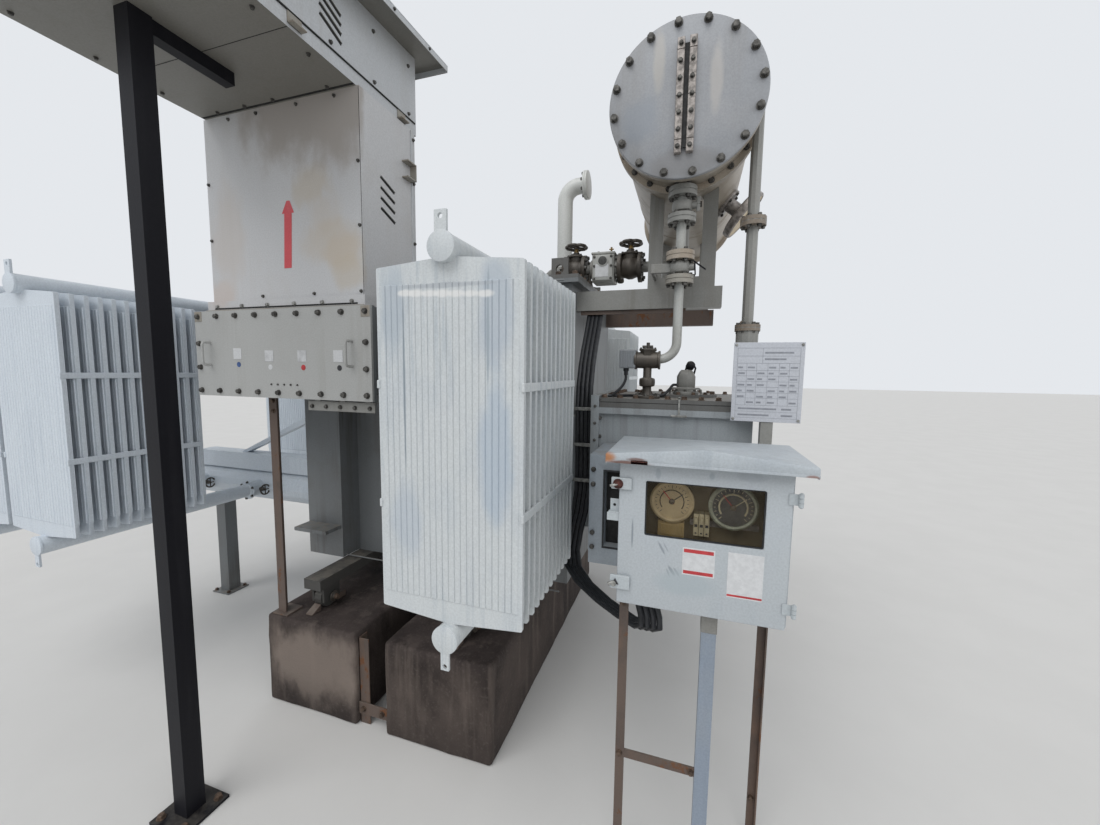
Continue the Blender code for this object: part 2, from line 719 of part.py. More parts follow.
def build_radiator(build, name, x, near, seat, outward):
    """One radiator: plates on two headers. near is the Y of its inner plate, seat that of its flange."""
    pitch = (RADIATOR_DEPTH - RADIATOR_PLATE_THICKNESS) / (RADIATOR_PLATES - 1)
    first = near + outward * RADIATOR_PLATE_THICKNESS / 2
    plates = bmesh.new()
    for count in range(RADIATOR_PLATES):
        place = Matrix.Translation((x, 0, 0)) @ facing_y(first + outward * count * pitch)
        plate = sheet(radiator_outline(), RADIATOR_PLATE_THICKNESS, place)
        mesh = bpy.data.meshes.new("plate")
        plate.to_mesh(mesh)
        plate.free()
        plates.from_mesh(mesh)
        bpy.data.meshes.remove(mesh)
    tip = abs(near - seat) + RADIATOR_DEPTH + HEADER_FLANGE_THICKNESS
    profile = [
        (HEADER_FLANGE_RADIUS, 0),
        (HEADER_FLANGE_RADIUS, HEADER_FLANGE_THICKNESS),
        (HEADER_RADIUS, HEADER_FLANGE_THICKNESS),
        (HEADER_RADIUS, tip),
    ]
    welds = [turned(profile, (x, seat, z), (0, outward, 0)) for z in (HEADER_LOW, HEADER_HIGH)]
    lugs = bmesh.new()
    lug_spots = (
        (1, HEADER_HIGH, RADIATOR_DEPTH),
        (1, HEADER_HIGH, 0),
        (-1, HEADER_LOW, RADIATOR_DEPTH),
    )
    for up, z, along in lug_spots:
        y = near + outward * along
        root = z + up * (HEADER_RADIUS - WELD)
        end = z + up * (HEADER_RADIUS + RADIATOR_LUG_HEIGHT)
        span = (min(root, end), max(root, end))
        add_box(lugs, around(x, RADIATOR_LUG_WIDTH), around(y, RADIATOR_LUG_THICKNESS), span)
    build.piece(name, "radiator_paint", plates, welds=[*welds, lugs])


def build_radiators(build):
    """Radiators on the tank's front and back, and those of the side bank."""
    for name, outward in (("radiator_front", -1), ("radiator_back", 1)):
        near = outward * RADIATOR_NEAR_Y
        seat = outward * (TANK_DEPTH / 2 + SEAT_GAP)
        build_radiator(build, name, FRONT_RADIATOR_X, near, seat, outward)
    for column in range(BANK_COLUMNS):
        x = BANK_FIRST_X - column * BANK_PITCH
        for row, outward in (("front", -1), ("back", 1)):
            seat = BANK_Y + outward * (BRANCH_REACH + SEAT_GAP)
            near = BANK_Y + outward * BANK_NEAR
            build_radiator(build, f"radiator_side_{row}_{column + 1}", x, near, seat, outward)


def build_manifolds(build):
    """Top and bottom manifold pipes of the side bank, each with its branches, and the bank's beam."""
    last_x = BANK_FIRST_X - (BANK_COLUMNS - 1) * BANK_PITCH
    end_x = last_x - BRANCH_RADIUS * 2
    for name, z in (("manifold_low", HEADER_LOW), ("manifold_high", HEADER_HIGH)):
        radius = MANIFOLD_RADIUS if z == HEADER_LOW else MANIFOLD_HIGH_RADIUS
        pipe = rods(((TANK_LEFT - SEAT_GAP, BANK_Y, z), (end_x, BANK_Y, z), radius), sides=WHEEL_SIDES)
        branches = bmesh.new()
        for column in range(BANK_COLUMNS):
            x = BANK_FIRST_X - column * BANK_PITCH
            near = (x, BANK_Y - BRANCH_REACH, z)
            far = (x, BANK_Y + BRANCH_REACH, z)
            add_rod(branches, near, far, BRANCH_RADIUS, PIPE_SIDES)
        build.piece(name, "grey_paint", pipe, welds=[branches], smooth=True)
    beam_low = HEADER_LOW + MANIFOLD_RADIUS + SEAT_GAP
    beam_x = (end_x, TANK_LEFT - SEAT_GAP)
    beam = boxes((beam_x, around(BANK_Y, BANK_BEAM_SIZE), (beam_low, beam_low + BANK_BEAM_SIZE)))
    strut_low = Vector((last_x + BANK_PITCH / 2, BANK_Y, beam_low + BANK_BEAM_SIZE - WELD))
    strut_high = Vector((TANK_LEFT - SEAT_GAP, BANK_Y, HEADER_HIGH - BANK_PITCH))
    rise = strut_high - strut_low
    lift = STRUT_SIZE * rise.length / rise.x
    outline = [
        (strut_low.x, strut_low.z),
        (strut_low.x + lift, strut_low.z),
        (strut_high.x, strut_high.z - lift / 2),
        (strut_high.x, strut_high.z + lift / 2),
    ]
    strut = sheet(outline, STRUT_SIZE, facing_y(BANK_Y))
    build.piece("bank_beam", "grey_paint", beam, welds=[strut])
    leg_x = last_x + BRANCH_RADIUS
    leg = boxes((around(leg_x, BANK_LEG_SIZE), around(BANK_Y, BANK_LEG_SIZE), (0, HEADER_LOW)))
    pipe_gap = rods(
        ((end_x - OVERRUN, BANK_Y, HEADER_LOW), (TANK_LEFT, BANK_Y, HEADER_LOW), MANIFOLD_RADIUS + SEAT_GAP),
        sides=WHEEL_SIDES,
    )
    build.piece("bank_leg", "grey_paint", leg, cuts=[pipe_gap])


def handle_points(x, front, z):
    """Points of one C handle that stands out of a cover."""
    low = z - HANDLE_HEIGHT / 2
    high = z + HANDLE_HEIGHT / 2
    out = front - HANDLE_REACH
    root = front + WELD / 2
    high_root = Vector((x, root, high))
    high_out = Vector((x, out, high))
    low_out = Vector((x, out, low))
    low_root = Vector((x, root, low))
    upper = bend_points(high_root, high_out, low_out, HANDLE_BEND)
    lower = bend_points(high_out, low_out, low_root, HANDLE_BEND)
    return [high_root, *upper, *lower, low_root]


def build_lv_box(build):
    """Low voltage terminal box with its bolted cover, two handles and its slender leg."""
    back = TANK_FRONT - SEAT_GAP
    cover_back = LV_BOX_FRONT + LV_COVER_THICKNESS
    flange = (cover_back + SEAT_GAP, cover_back + SEAT_GAP + LV_FLANGE_DEPTH)
    inner_width = LV_BOX_WIDTH - 2 * LV_COVER_LIP
    inner_z = (LV_BOX_LOW + LV_COVER_LIP, LV_BOX_HIGH - SEAT_GAP)
    x = around(LV_BOX_X, LV_BOX_WIDTH)
    body = boxes((around(LV_BOX_X, inner_width), (flange[0] + WELD, back), inner_z))
    rim = boxes((x, flange, (LV_BOX_LOW, LV_BOX_HIGH - 2 * SEAT_GAP)))
    build.piece("lv_terminal_box", "grey_paint", body, welds=[rim])
    cover = boxes((x, (LV_BOX_FRONT, cover_back), (LV_BOX_LOW, LV_BOX_HIGH)))
    middle = (LV_BOX_LOW + LV_BOX_HIGH) / 2
    handles = []
    for hand in (-1, 1):
        handle_x = LV_BOX_X + hand * (LV_BOX_WIDTH / 2 - HANDLE_INSET)
        handles.append(tube(handle_points(handle_x, LV_BOX_FRONT, middle), HANDLE_RADIUS))
    build.piece("lv_box_cover", "grey_paint", cover, welds=handles)
    leg_top = LV_BOX_LOW + LV_COVER_LIP - SEAT_GAP
    leg_z = (PLINTH_TOP + SEAT_GAP, leg_top)
    leg_x = (LV_LEG_X - LV_LEG_SIZE / 2, LV_LEG_X + LV_LEG_SIZE / 2)
    leg_y = (LV_LEG_Y, LV_LEG_Y + LV_LEG_SIZE)
    leg = boxes((leg_x, (leg_y[0], leg_y[0] + LV_LEG_THICKNESS), leg_z))
    wing = boxes(((leg_x[0], leg_x[0] + LV_LEG_THICKNESS), (leg_y[0] + WELD / 2, leg_y[1]), leg_z))
    build.piece("lv_box_leg", "rusty_steel", leg, welds=[wing])


def build_hv_box(build):
    """Plain high voltage terminal box on the tank's back wall, with its bolted cover."""
    back = -LV_BOX_FRONT
    cover_front = back - LV_COVER_THICKNESS
    inner_width = LV_BOX_WIDTH - 2 * LV_COVER_LIP
    inner_z = (LV_BOX_LOW + LV_COVER_LIP, LV_BOX_HIGH - LV_COVER_LIP)
    wall = TANK_BACK + SEAT_GAP
    flange = (cover_front - SEAT_GAP - LV_FLANGE_DEPTH, cover_front - SEAT_GAP)
    x = around(LV_BOX_X, LV_BOX_WIDTH)
    body = boxes((around(LV_BOX_X, inner_width), (wall, flange[1] - WELD), inner_z))
    rim = boxes((x, flange, (LV_BOX_LOW, LV_BOX_HIGH)))
    build.piece("hv_terminal_box", "grey_paint", body, welds=[rim])
    cover = boxes((x, (cover_front, back), (LV_BOX_LOW, LV_BOX_HIGH)))
    build.piece("hv_box_cover", "grey_paint", cover)


def build_riser(build):
    """Tall riser box on the terminal box, and the hood that it carries to the front."""
    x = around(LV_BOX_X, RISER_WIDTH)
    y = (RISER_FRONT, RISER_FRONT + RISER_DEPTH)
    body = boxes((x, y, (RISER_LOW - WELD, RISER_HIGH)))
    foot = boxes((
        (x[0] - RISER_FOOT_LIP, x[1] + RISER_FOOT_LIP),
        (y[0] - RISER_FOOT_LIP, y[1] + RISER_FOOT_LIP),
        (LV_BOX_HIGH + SEAT_GAP, RISER_LOW),
    ))
    build.piece("riser_box", "hood_paint", body, welds=[foot])
    outline = [
        (HOOD_FRONT, HOOD_LOW),
        (HOOD_BACK, HOOD_LOW),
        (HOOD_BACK, HOOD_LOW + HOOD_BACK_HEIGHT),
        (HOOD_FRONT, HOOD_LOW + HOOD_FRONT_HEIGHT),
    ]
    duct = sheet(outline, RISER_WIDTH - HOOD_SKIRT, facing_x(LV_BOX_X))
    build.piece("hood_duct", "hood_paint", duct)
    slope = (HOOD_BACK_HEIGHT - HOOD_FRONT_HEIGHT) / (HOOD_BACK - HOOD_FRONT)
    front = HOOD_FRONT - ROOF_OVERHANG
    back = HOOD_BACK + ROOF_OVERHANG
    front_z = HOOD_LOW + HOOD_FRONT_HEIGHT - slope * ROOF_OVERHANG + 2 * SEAT_GAP
    back_z = HOOD_LOW + HOOD_BACK_HEIGHT + slope * ROOF_OVERHANG + 2 * SEAT_GAP
    outline = [
        (front, front_z),
        (back, back_z),
        (back, back_z + ROOF_THICKNESS),
        (front, front_z + ROOF_THICKNESS),
    ]
    roof = sheet(outline, RISER_WIDTH + 2 * ROOF_OVERHANG, facing_x(LV_BOX_X))
    build.piece("hood_roof", "hood_paint", roof)
    post_top = HOOD_LOW - SEAT_GAP
    post_x = around(LV_BOX_X, HOOD_POST_SIZE)
    post = boxes((post_x, around(HOOD_POST_Y, HOOD_POST_SIZE), (0, post_top)))
    foot = boxes((
        around(LV_BOX_X, HOOD_POST_FOOT), around(HOOD_POST_Y, HOOD_POST_FOOT), (0, HOOD_POST_FOOT_THICKNESS)
    ))
    beam = boxes((
        around(LV_BOX_X, HOOD_BEAM_SIZE),
        (HOOD_POST_Y + HOOD_POST_SIZE / 2 - WELD, HOOD_POST_Y + HOOD_BEAM_REACH),
        (post_top - HOOD_BEAM_SIZE, post_top),
    ))
    build.piece("hood_post", "black_steel", post, welds=[foot, beam])


def build_conservator(build):
    """Conservator drum with its end covers, level gauge and dial gauge."""
    axis = (CONSERVATOR_X, 0, CONSERVATOR_Z)
    drum_front = CONSERVATOR_FRONT + CONSERVATOR_COVER_THICKNESS + SEAT_GAP
    drum_back = CONSERVATOR_FRONT + CONSERVATOR_LENGTH
    joint = around(CONSERVATOR_JOINT_Y, CONSERVATOR_JOINT_THICKNESS)
    rim = CONSERVATOR_FLANGE_RADIUS
    shell = CONSERVATOR_RADIUS
    profile = [
        (rim, drum_front),
        (rim, drum_front + CONSERVATOR_FLANGE_THICKNESS),
        (shell, drum_front + CONSERVATOR_FLANGE_THICKNESS),
        (shell, joint[0]),
        (rim, joint[0]),
        (rim, joint[1]),
        (shell, joint[1]),
        (shell, drum_back - CONSERVATOR_FLANGE_THICKNESS),
        (rim, drum_back - CONSERVATOR_FLANGE_THICKNESS),
        (rim, drum_back),
    ]
    drum = turned(profile, axis, (0, 1, 0), sides=SHELL_SIDES)
    build.piece("conservator_drum", "grey_paint", drum, smooth=True)
    start = (CONSERVATOR_X, CONSERVATOR_FRONT, CONSERVATOR_Z)
    end = (CONSERVATOR_X, CONSERVATOR_FRONT + CONSERVATOR_COVER_THICKNESS, CONSERVATOR_Z)
    cover = rods((start, end, rim), sides=SHELL_SIDES)
    build.piece("conservator_cover", "grey_paint", cover, smooth=True)
    gauge_y = (CONSERVATOR_FRONT - SEAT_GAP - GAUGE_DEPTH, CONSERVATOR_FRONT - SEAT_GAP)
    gauge = boxes((around(CONSERVATOR_X, GAUGE_WIDTH), gauge_y, around(CONSERVATOR_Z, GAUGE_HEIGHT)))
    slot_height = GAUGE_HEIGHT - 2 * GAUGE_SLOT_INSET
    slot_y = (gauge_y[0] - OVERRUN, gauge_y[0] + GAUGE_DEPTH / 2)
    slot = boxes((around(CONSERVATOR_X, GAUGE_SLOT_WIDTH), slot_y, around(CONSERVATOR_Z, slot_height)))
    build.piece("oil_level_gauge", "grey_paint", gauge, cuts=[slot])
    outward = Vector((math.cos(DIAL_ANGLE), 0, math.sin(DIAL_ANGLE)))
    centre = Vector((CONSERVATOR_X, DIAL_Y, CONSERVATOR_Z))
    profile = [
        (DIAL_STEM_RADIUS, CONSERVATOR_RADIUS - WELD),
        (DIAL_STEM_RADIUS, CONSERVATOR_RADIUS + DIAL_STEM_LENGTH),
        (DIAL_RADIUS, CONSERVATOR_RADIUS + DIAL_STEM_LENGTH),
        (DIAL_RADIUS, CONSERVATOR_RADIUS + DIAL_STEM_LENGTH + DIAL_DEPTH),
    ]
    dial = turned(profile, centre, outward, sides=WHEEL_SIDES)
    build.piece("dial_gauge", "dial_face", dial, cuts=[drum_cutter()], smooth=True)


def drum_cutter():
    """The drum's outer surface with the seat gap round it, for what stands against it."""
    start = (CONSERVATOR_X, CONSERVATOR_FRONT, CONSERVATOR_Z)
    end = (CONSERVATOR_X, CONSERVATOR_FRONT + CONSERVATOR_LENGTH, CONSERVATOR_Z)
    return rods((start, end, CONSERVATOR_RADIUS + SEAT_GAP), sides=SHELL_SIDES)


def build_conservator_stand(build):
    """Two beams from the tank wall, each with a saddle under the drum."""
    for name, y in (("front", BEAM_FRONT_Y), ("back", BEAM_BACK_Y)):
        x = (TANK_RIGHT + SEAT_GAP, TANK_RIGHT + BEAM_REACH)
        depth = around(y, BEAM_WIDTH)
        beam = boxes((x, depth, (BEAM_LOW, BEAM_TOP)))
        inner = (BEAM_LOW + BEAM_FLANGE, BEAM_TOP - BEAM_FLANGE)
        hollow_x = (x[0] - OVERRUN, x[1] + OVERRUN)
        hollow_y = (depth[0] + BEAM_FLANGE, depth[1] + OVERRUN)
        hollow = boxes((hollow_x, hollow_y, inner))
        build.piece(f"support_beam_{name}", "grey_paint", beam, cuts=[hollow])
        saddle_y = around(y, SADDLE_POST_DEPTH)
        low = BEAM_TOP + SEAT_GAP
        sill = boxes((around(CONSERVATOR_X, SADDLE_SPAN), saddle_y, (low, low + SADDLE_SILL)))
        posts = bmesh.new()
        for hand in (-1, 1):
            post_x = CONSERVATOR_X + hand * (SADDLE_SPAN - SADDLE_POST_WIDTH) / 2
            across = around(post_x, SADDLE_POST_WIDTH - SEAT_GAP)
            along = around(y, SADDLE_POST_DEPTH - SEAT_GAP)
            add_box(posts, across, along, (low + WELD, CONSERVATOR_Z - CONSERVATOR_RADIUS / 2))
        build.piece(f"saddle_{name}", "grey_paint", sill, welds=[posts], cuts=[drum_cutter()])


def valve_body(x, y, z):
    """Turned body of a gate valve on a pipe along X, with a flange at each end."""
    half = VALVE_BODY_LENGTH / 2
    profile = [
        (VALVE_FLANGE_RADIUS, -half),
        (VALVE_FLANGE_RADIUS, -half + VALVE_FLANGE_THICKNESS),
        (VALVE_BODY_RADIUS, -half + VALVE_FLANGE_THICKNESS),
        (VALVE_BODY_RADIUS, half - VALVE_FLANGE_THICKNESS),
        (VALVE_FLANGE_RADIUS, half - VALVE_FLANGE_THICKNESS),
        (VALVE_FLANGE_RADIUS, half),
    ]
    return turned(profile, (x, y, z), (1, 0, 0))


def build_oil_pipe(build):
    """Oil pipe from the tank cover to the drum, with two valves, their wheels and the gas relay."""
    y = OIL_PIPE_Y
    z = OIL_PIPE_Z
    foot = Vector((OIL_PIPE_START_X, y, COVER_TOP + SEAT_GAP))
    corner = Vector((OIL_PIPE_START_X, y, z))
    rise = Vector((CONSERVATOR_X, y, z))
    top = Vector((CONSERVATOR_X, y, CONSERVATOR_Z - CONSERVATOR_RADIUS / 2))
    route = [foot]
    route += bend_points(foot, corner, rise, OIL_BEND)
    route += bend_points(corner, rise, top, OIL_BEND)
    route.append(top)
    pipe = tube(route, OIL_PIPE_RADIUS)
    welds = []
    for valve_x in (VALVE_LEFT_X, VALVE_RIGHT_X):
        welds.append(valve_body(valve_x, y, z))
        neck_top = z + VALVE_NECK_HEIGHT
        welds.append(rods(((valve_x, y, z), (valve_x, y, neck_top), VALVE_NECK_RADIUS)))
    build.piece("oil_pipe", "old_iron", pipe, welds=welds, cuts=[drum_cutter()], smooth=True)
    relay = boxes((
        around(RELAY_X, RELAY_WIDTH), around(y, RELAY_DEPTH), around(z, RELAY_HEIGHT)
    ))
    bore_radius = (OIL_PIPE_RADIUS + SEAT_GAP) / math.cos(math.pi / PIPE_SIDES)
    bore = rods(((RELAY_X - RELAY_WIDTH, y, z), (RELAY_X + RELAY_WIDTH, y, z), bore_radius))
    build.piece("gas_relay", "grey_paint", relay, cuts=[bore])
    wheels = (("valve_wheel_left", VALVE_LEFT_X), ("valve_wheel_right", VALVE_RIGHT_X))
    for name, valve_x in wheels:
        build_wheel(build, name, valve_x, y, z + VALVE_NECK_HEIGHT + SEAT_GAP)


def build_wheel(build, name, x, y, low):
    """A valve's hand wheel, its axis upright."""
    hub = rods(((x, y, low), (x, y, low + WHEEL_HUB_HEIGHT), WHEEL_HUB_RADIUS))
    middle = low + WHEEL_HUB_HEIGHT / 2
    rim_points = []
    for count in range(WHEEL_SIDES):
        angle = 2 * math.pi * count / WHEEL_SIDES
        rim_points.append((x + WHEEL_RADIUS * math.cos(angle), y + WHEEL_RADIUS * math.sin(angle), middle))
    rim = ring(rim_points, WHEEL_RIM_RADIUS)
    spokes = []
    for count in range(WHEEL_SPOKES // 2):
        angle = math.pi * count / (WHEEL_SPOKES // 2)
        along = Vector((math.cos(angle), math.sin(angle), 0)) * WHEEL_RADIUS
        centre = Vector((x, y, middle))
        spokes.append(rods((centre - along, centre + along, WHEEL_SPOKE_WIDTH / 2), sides=RIM_SIDES))
    build.piece(name, "old_iron", hub, welds=[*spokes, rim], origin=(x, y, middle), smooth=True)


def ring(points, radius):
    """A closed ring of tube."""
    curve = bpy.data.curves.new("ring", "CURVE")
    curve.dimensions = "3D"
    curve.bevel_depth = radius
    curve.bevel_resolution = 1
    spline = curve.splines.new("POLY")
    spline.points.add(len(points) - 1)
    for point, place in zip(spline.points, points):
        point.co = (*place, 1)
    spline.use_cyclic_u = True
    return mesh_from_curve(curve)


def build_vent(build):
    """Pressure vent pipe that bends over to a bolted mouth."""
    foot = Vector((VENT_X, VENT_Y, COVER_TOP + SEAT_GAP))
    corner = Vector((VENT_X, VENT_Y, VENT_HIGH))
    mouth = Vector((VENT_X + VENT_BEND + VENT_MOUTH_REACH, VENT_Y, VENT_HIGH))
    pipe = tube([foot, *bend_points(foot, corner, mouth, VENT_BEND), mouth], VENT_RADIUS)
    start = mouth - Vector((VENT_FLANGE_THICKNESS, 0, 0))
    flange = rods((start, mouth + Vector((WELD, 0, 0)), VENT_FLANGE_RADIUS))
    base_top = foot + Vector((0, 0, VENT_FLANGE_THICKNESS))
    base = rods((foot, base_top, VENT_FLANGE_RADIUS))
    build.piece("vent_pipe", "radiator_paint", pipe, welds=[flange, base], smooth=True)


def build_tap_changer(build):
    """Tap changer tank with its neck, lid, relay, surge pipe, relief valve and drive cabinet."""
    x = (TAP_LEFT, TAP_RIGHT)
    y = (TAP_FRONT, TAP_BACK)
    body = boxes((x, y, (TAP_LOW, TAP_TOP - TAP_RIM / 2)))
    lip = TAP_LID_LIP
    rim = boxes(((x[0] - WELD, x[1] + lip), (y[0] - lip, y[1] + lip), (TAP_TOP - TAP_RIM, TAP_TOP)))
    middle_y = (y[0] + y[1]) / 2
    middle_z = (TAP_LOW + TAP_TOP) / 2
    neck = boxes((
        (TANK_RIGHT + SEAT_GAP, TAP_LEFT + WELD), around(middle_y, NECK_DEPTH), around(middle_z, NECK_HEIGHT)
    ))
    flange = boxes((
        (TAP_LEFT - NECK_FLANGE_THICKNESS, TAP_LEFT + WELD / 2),
        (y[0] - lip - WELD, y[1] + lip + WELD),
        (TAP_LOW - WELD, TAP_TOP + NECK_FLANGE_RISE),
    ))
    build.piece("tap_changer_tank", "grey_paint", body, welds=[rim, neck, flange])
    lid_x = (TAP_LEFT + WELD, TAP_RIGHT + lip)
    lid = boxes((lid_x, (y[0] - lip, y[1] + lip), (TAP_LID_LOW, TAP_LID_TOP)))
    hatch_x = (TAP_LEFT + TAP_RIGHT) / 2
    hatch_top = TAP_LID_TOP + TAP_HATCH_HEIGHT
    hatch = rods(
        ((hatch_x, middle_y, TAP_LID_TOP - WELD), (hatch_x, middle_y, hatch_top), TAP_HATCH_RADIUS),
        sides=SHELL_SIDES,
    )
    build.piece("tap_changer_lid", "grey_paint", lid, welds=[hatch])
    build_surge_pipe(build)
    build_relief_valve(build)
    drive_back = TAP_FRONT - TAP_LID_LIP - SEAT_GAP - WELD
    drive_y = (drive_back - DRIVE_DEPTH, drive_back)
    drive_x = (DRIVE_LEFT, DRIVE_LEFT + DRIVE_WIDTH)
    cabinet = boxes((drive_x, drive_y, (DRIVE_LOW, DRIVE_LOW + DRIVE_HEIGHT)))
    pad = boxes((
        around(DRIVE_LEFT + DRIVE_WIDTH / 2, DRIVE_WIDTH / 2), (drive_back - WELD, TAP_FRONT - SEAT_GAP),
        around(DRIVE_LOW + DRIVE_HEIGHT / 2, DRIVE_HEIGHT / 2),
    ))
    build.piece("drive_cabinet", "grey_paint", cabinet, welds=[pad])


def build_surge_pipe(build):
    """Pipe from the drum down to the tap changer, with its flanges, valves and surge relay."""
    y = SURGE_PIPE_Y
    top = Vector((CONSERVATOR_X, y, CONSERVATOR_Z - CONSERVATOR_RADIUS / 2))
    corner = Vector((CONSERVATOR_X, y, SURGE_PIPE_LOW))
    end = Vector((SURGE_RELAY_X + SURGE_RELAY_LENGTH / 2 + SEAT_GAP, y, SURGE_PIPE_LOW))
    route = [top, *bend_points(top, corner, end, SURGE_BEND), end]
    pipe = tube(route, SURGE_PIPE_RADIUS)
    collars = bmesh.new()
    drum_low = CONSERVATOR_Z - CONSERVATOR_RADIUS
    spacing = SURGE_FLANGE_HEIGHT + SURGE_VALVE_HEIGHT
    for chain in (drum_low - spacing, drum_low - spacing * 2 - SURGE_VALVE_HEIGHT * 2):
        for step in range(3):
            z = chain - step * spacing / 2
            radius = SURGE_FLANGE_RADIUS if step != 1 else SURGE_VALVE_RADIUS
            high = (CONSERVATOR_X, y, z + SURGE_FLANGE_HEIGHT)
            add_rod(collars, (CONSERVATOR_X, y, z), high, radius, PIPE_SIDES)
    build.piece("surge_pipe", "grey_paint", pipe, welds=[collars], cuts=[drum_cutter()], smooth=True)
    start = Vector((SURGE_RELAY_X - SURGE_RELAY_LENGTH / 2, y, SURGE_PIPE_LOW))
    finish = Vector((SURGE_RELAY_X + SURGE_RELAY_LENGTH / 2, y, SURGE_PIPE_LOW))
    relay = rods((start, finish, SURGE_RELAY_RADIUS))
    half = SURGE_BOX_SIZE / 2
    case_x = (start.x - SURGE_BOX_SIZE + WELD, start.x + WELD)
    case = boxes((case_x, (y - half, y + half), (SURGE_PIPE_LOW - half, SURGE_PIPE_LOW + half)))
    lid_low = TAP_LID_TOP + SEAT_GAP
    leg = rods(((SURGE_RELAY_X, y, lid_low), (SURGE_RELAY_X, y, SURGE_PIPE_LOW), SURGE_PIPE_RADIUS))
    foot = rods((
        (SURGE_RELAY_X, y, lid_low), (SURGE_RELAY_X, y, lid_low + SURGE_FLANGE_HEIGHT), SURGE_FLANGE_RADIUS
    ))
    build.piece("surge_relay", "grey_paint", relay, welds=[case, leg, foot])


def build_relief_valve(build):
    """Round relief valve on the tap changer's hatch, with its knob."""
    low = TAP_LID_TOP + TAP_HATCH_HEIGHT + SEAT_GAP
    base_top = low + RELIEF_BASE_HEIGHT
    body_top = base_top + RELIEF_BODY_HEIGHT
    profile = [
        (RELIEF_BASE_RADIUS, low),
        (RELIEF_BASE_RADIUS, base_top),
        (RELIEF_BODY_RADIUS, base_top),
        (RELIEF_BODY_RADIUS, body_top),
        (RELIEF_KNOB_RADIUS, body_top),
        (RELIEF_KNOB_RADIUS, body_top + RELIEF_KNOB_HEIGHT),
    ]
    valve = turned(profile, (RELIEF_X, RELIEF_Y, 0), (0, 0, 1))
    build.piece("relief_valve", "old_iron", valve, smooth=True)


def build_kiosk(build):
    """Marshalling box: shell, gauges inside, glazed door, roof and stand."""
    x = (KIOSK_LEFT, KIOSK_RIGHT)
    y = (KIOSK_SHELL_FRONT, KIOSK_BACK)
    shell = boxes((x, y, (KIOSK_LOW, KIOSK_TOP)))
    wall = KIOSK_WALL
    hollow = boxes((
        (x[0] + wall, x[1] - wall), (y[0] - OVERRUN, y[1] - wall), (KIOSK_LOW + wall, KIOSK_TOP - wall)
    ))
    build.piece("kiosk_shell", "kiosk_paint", shell, cuts=[hollow])
    panel_front = KIOSK_SHELL_FRONT + PANEL_BACK
    panel_x = (x[0] + wall + SEAT_GAP, x[1] - wall - SEAT_GAP)
    panel_z = (KIOSK_LOW + wall + SEAT_GAP, KIOSK_TOP - wall - SEAT_GAP)
    panel = boxes((panel_x, (panel_front, panel_front + PANEL_THICKNESS), panel_z))
    gauges = bmesh.new()
    gauge_z = KIOSK_LOW + GAUGE_Z_SHARE * KIOSK_HEIGHT
    for radius, share in zip(GAUGE_RADII, GAUGE_X_SHARES):
        gauge_x = KIOSK_LEFT + share * KIOSK_WIDTH
        front = (gauge_x, panel_front - KIOSK_GAUGE_DEPTH, gauge_z)
        add_rod(gauges, front, (gauge_x, panel_front + WELD, gauge_z), radius, WHEEL_SIDES)
    build.piece("gauge_panel", "dial_face", panel, welds=[gauges])
    build_kiosk_door(build)
    build_kiosk_roof(build)
    build_kiosk_stand(build)


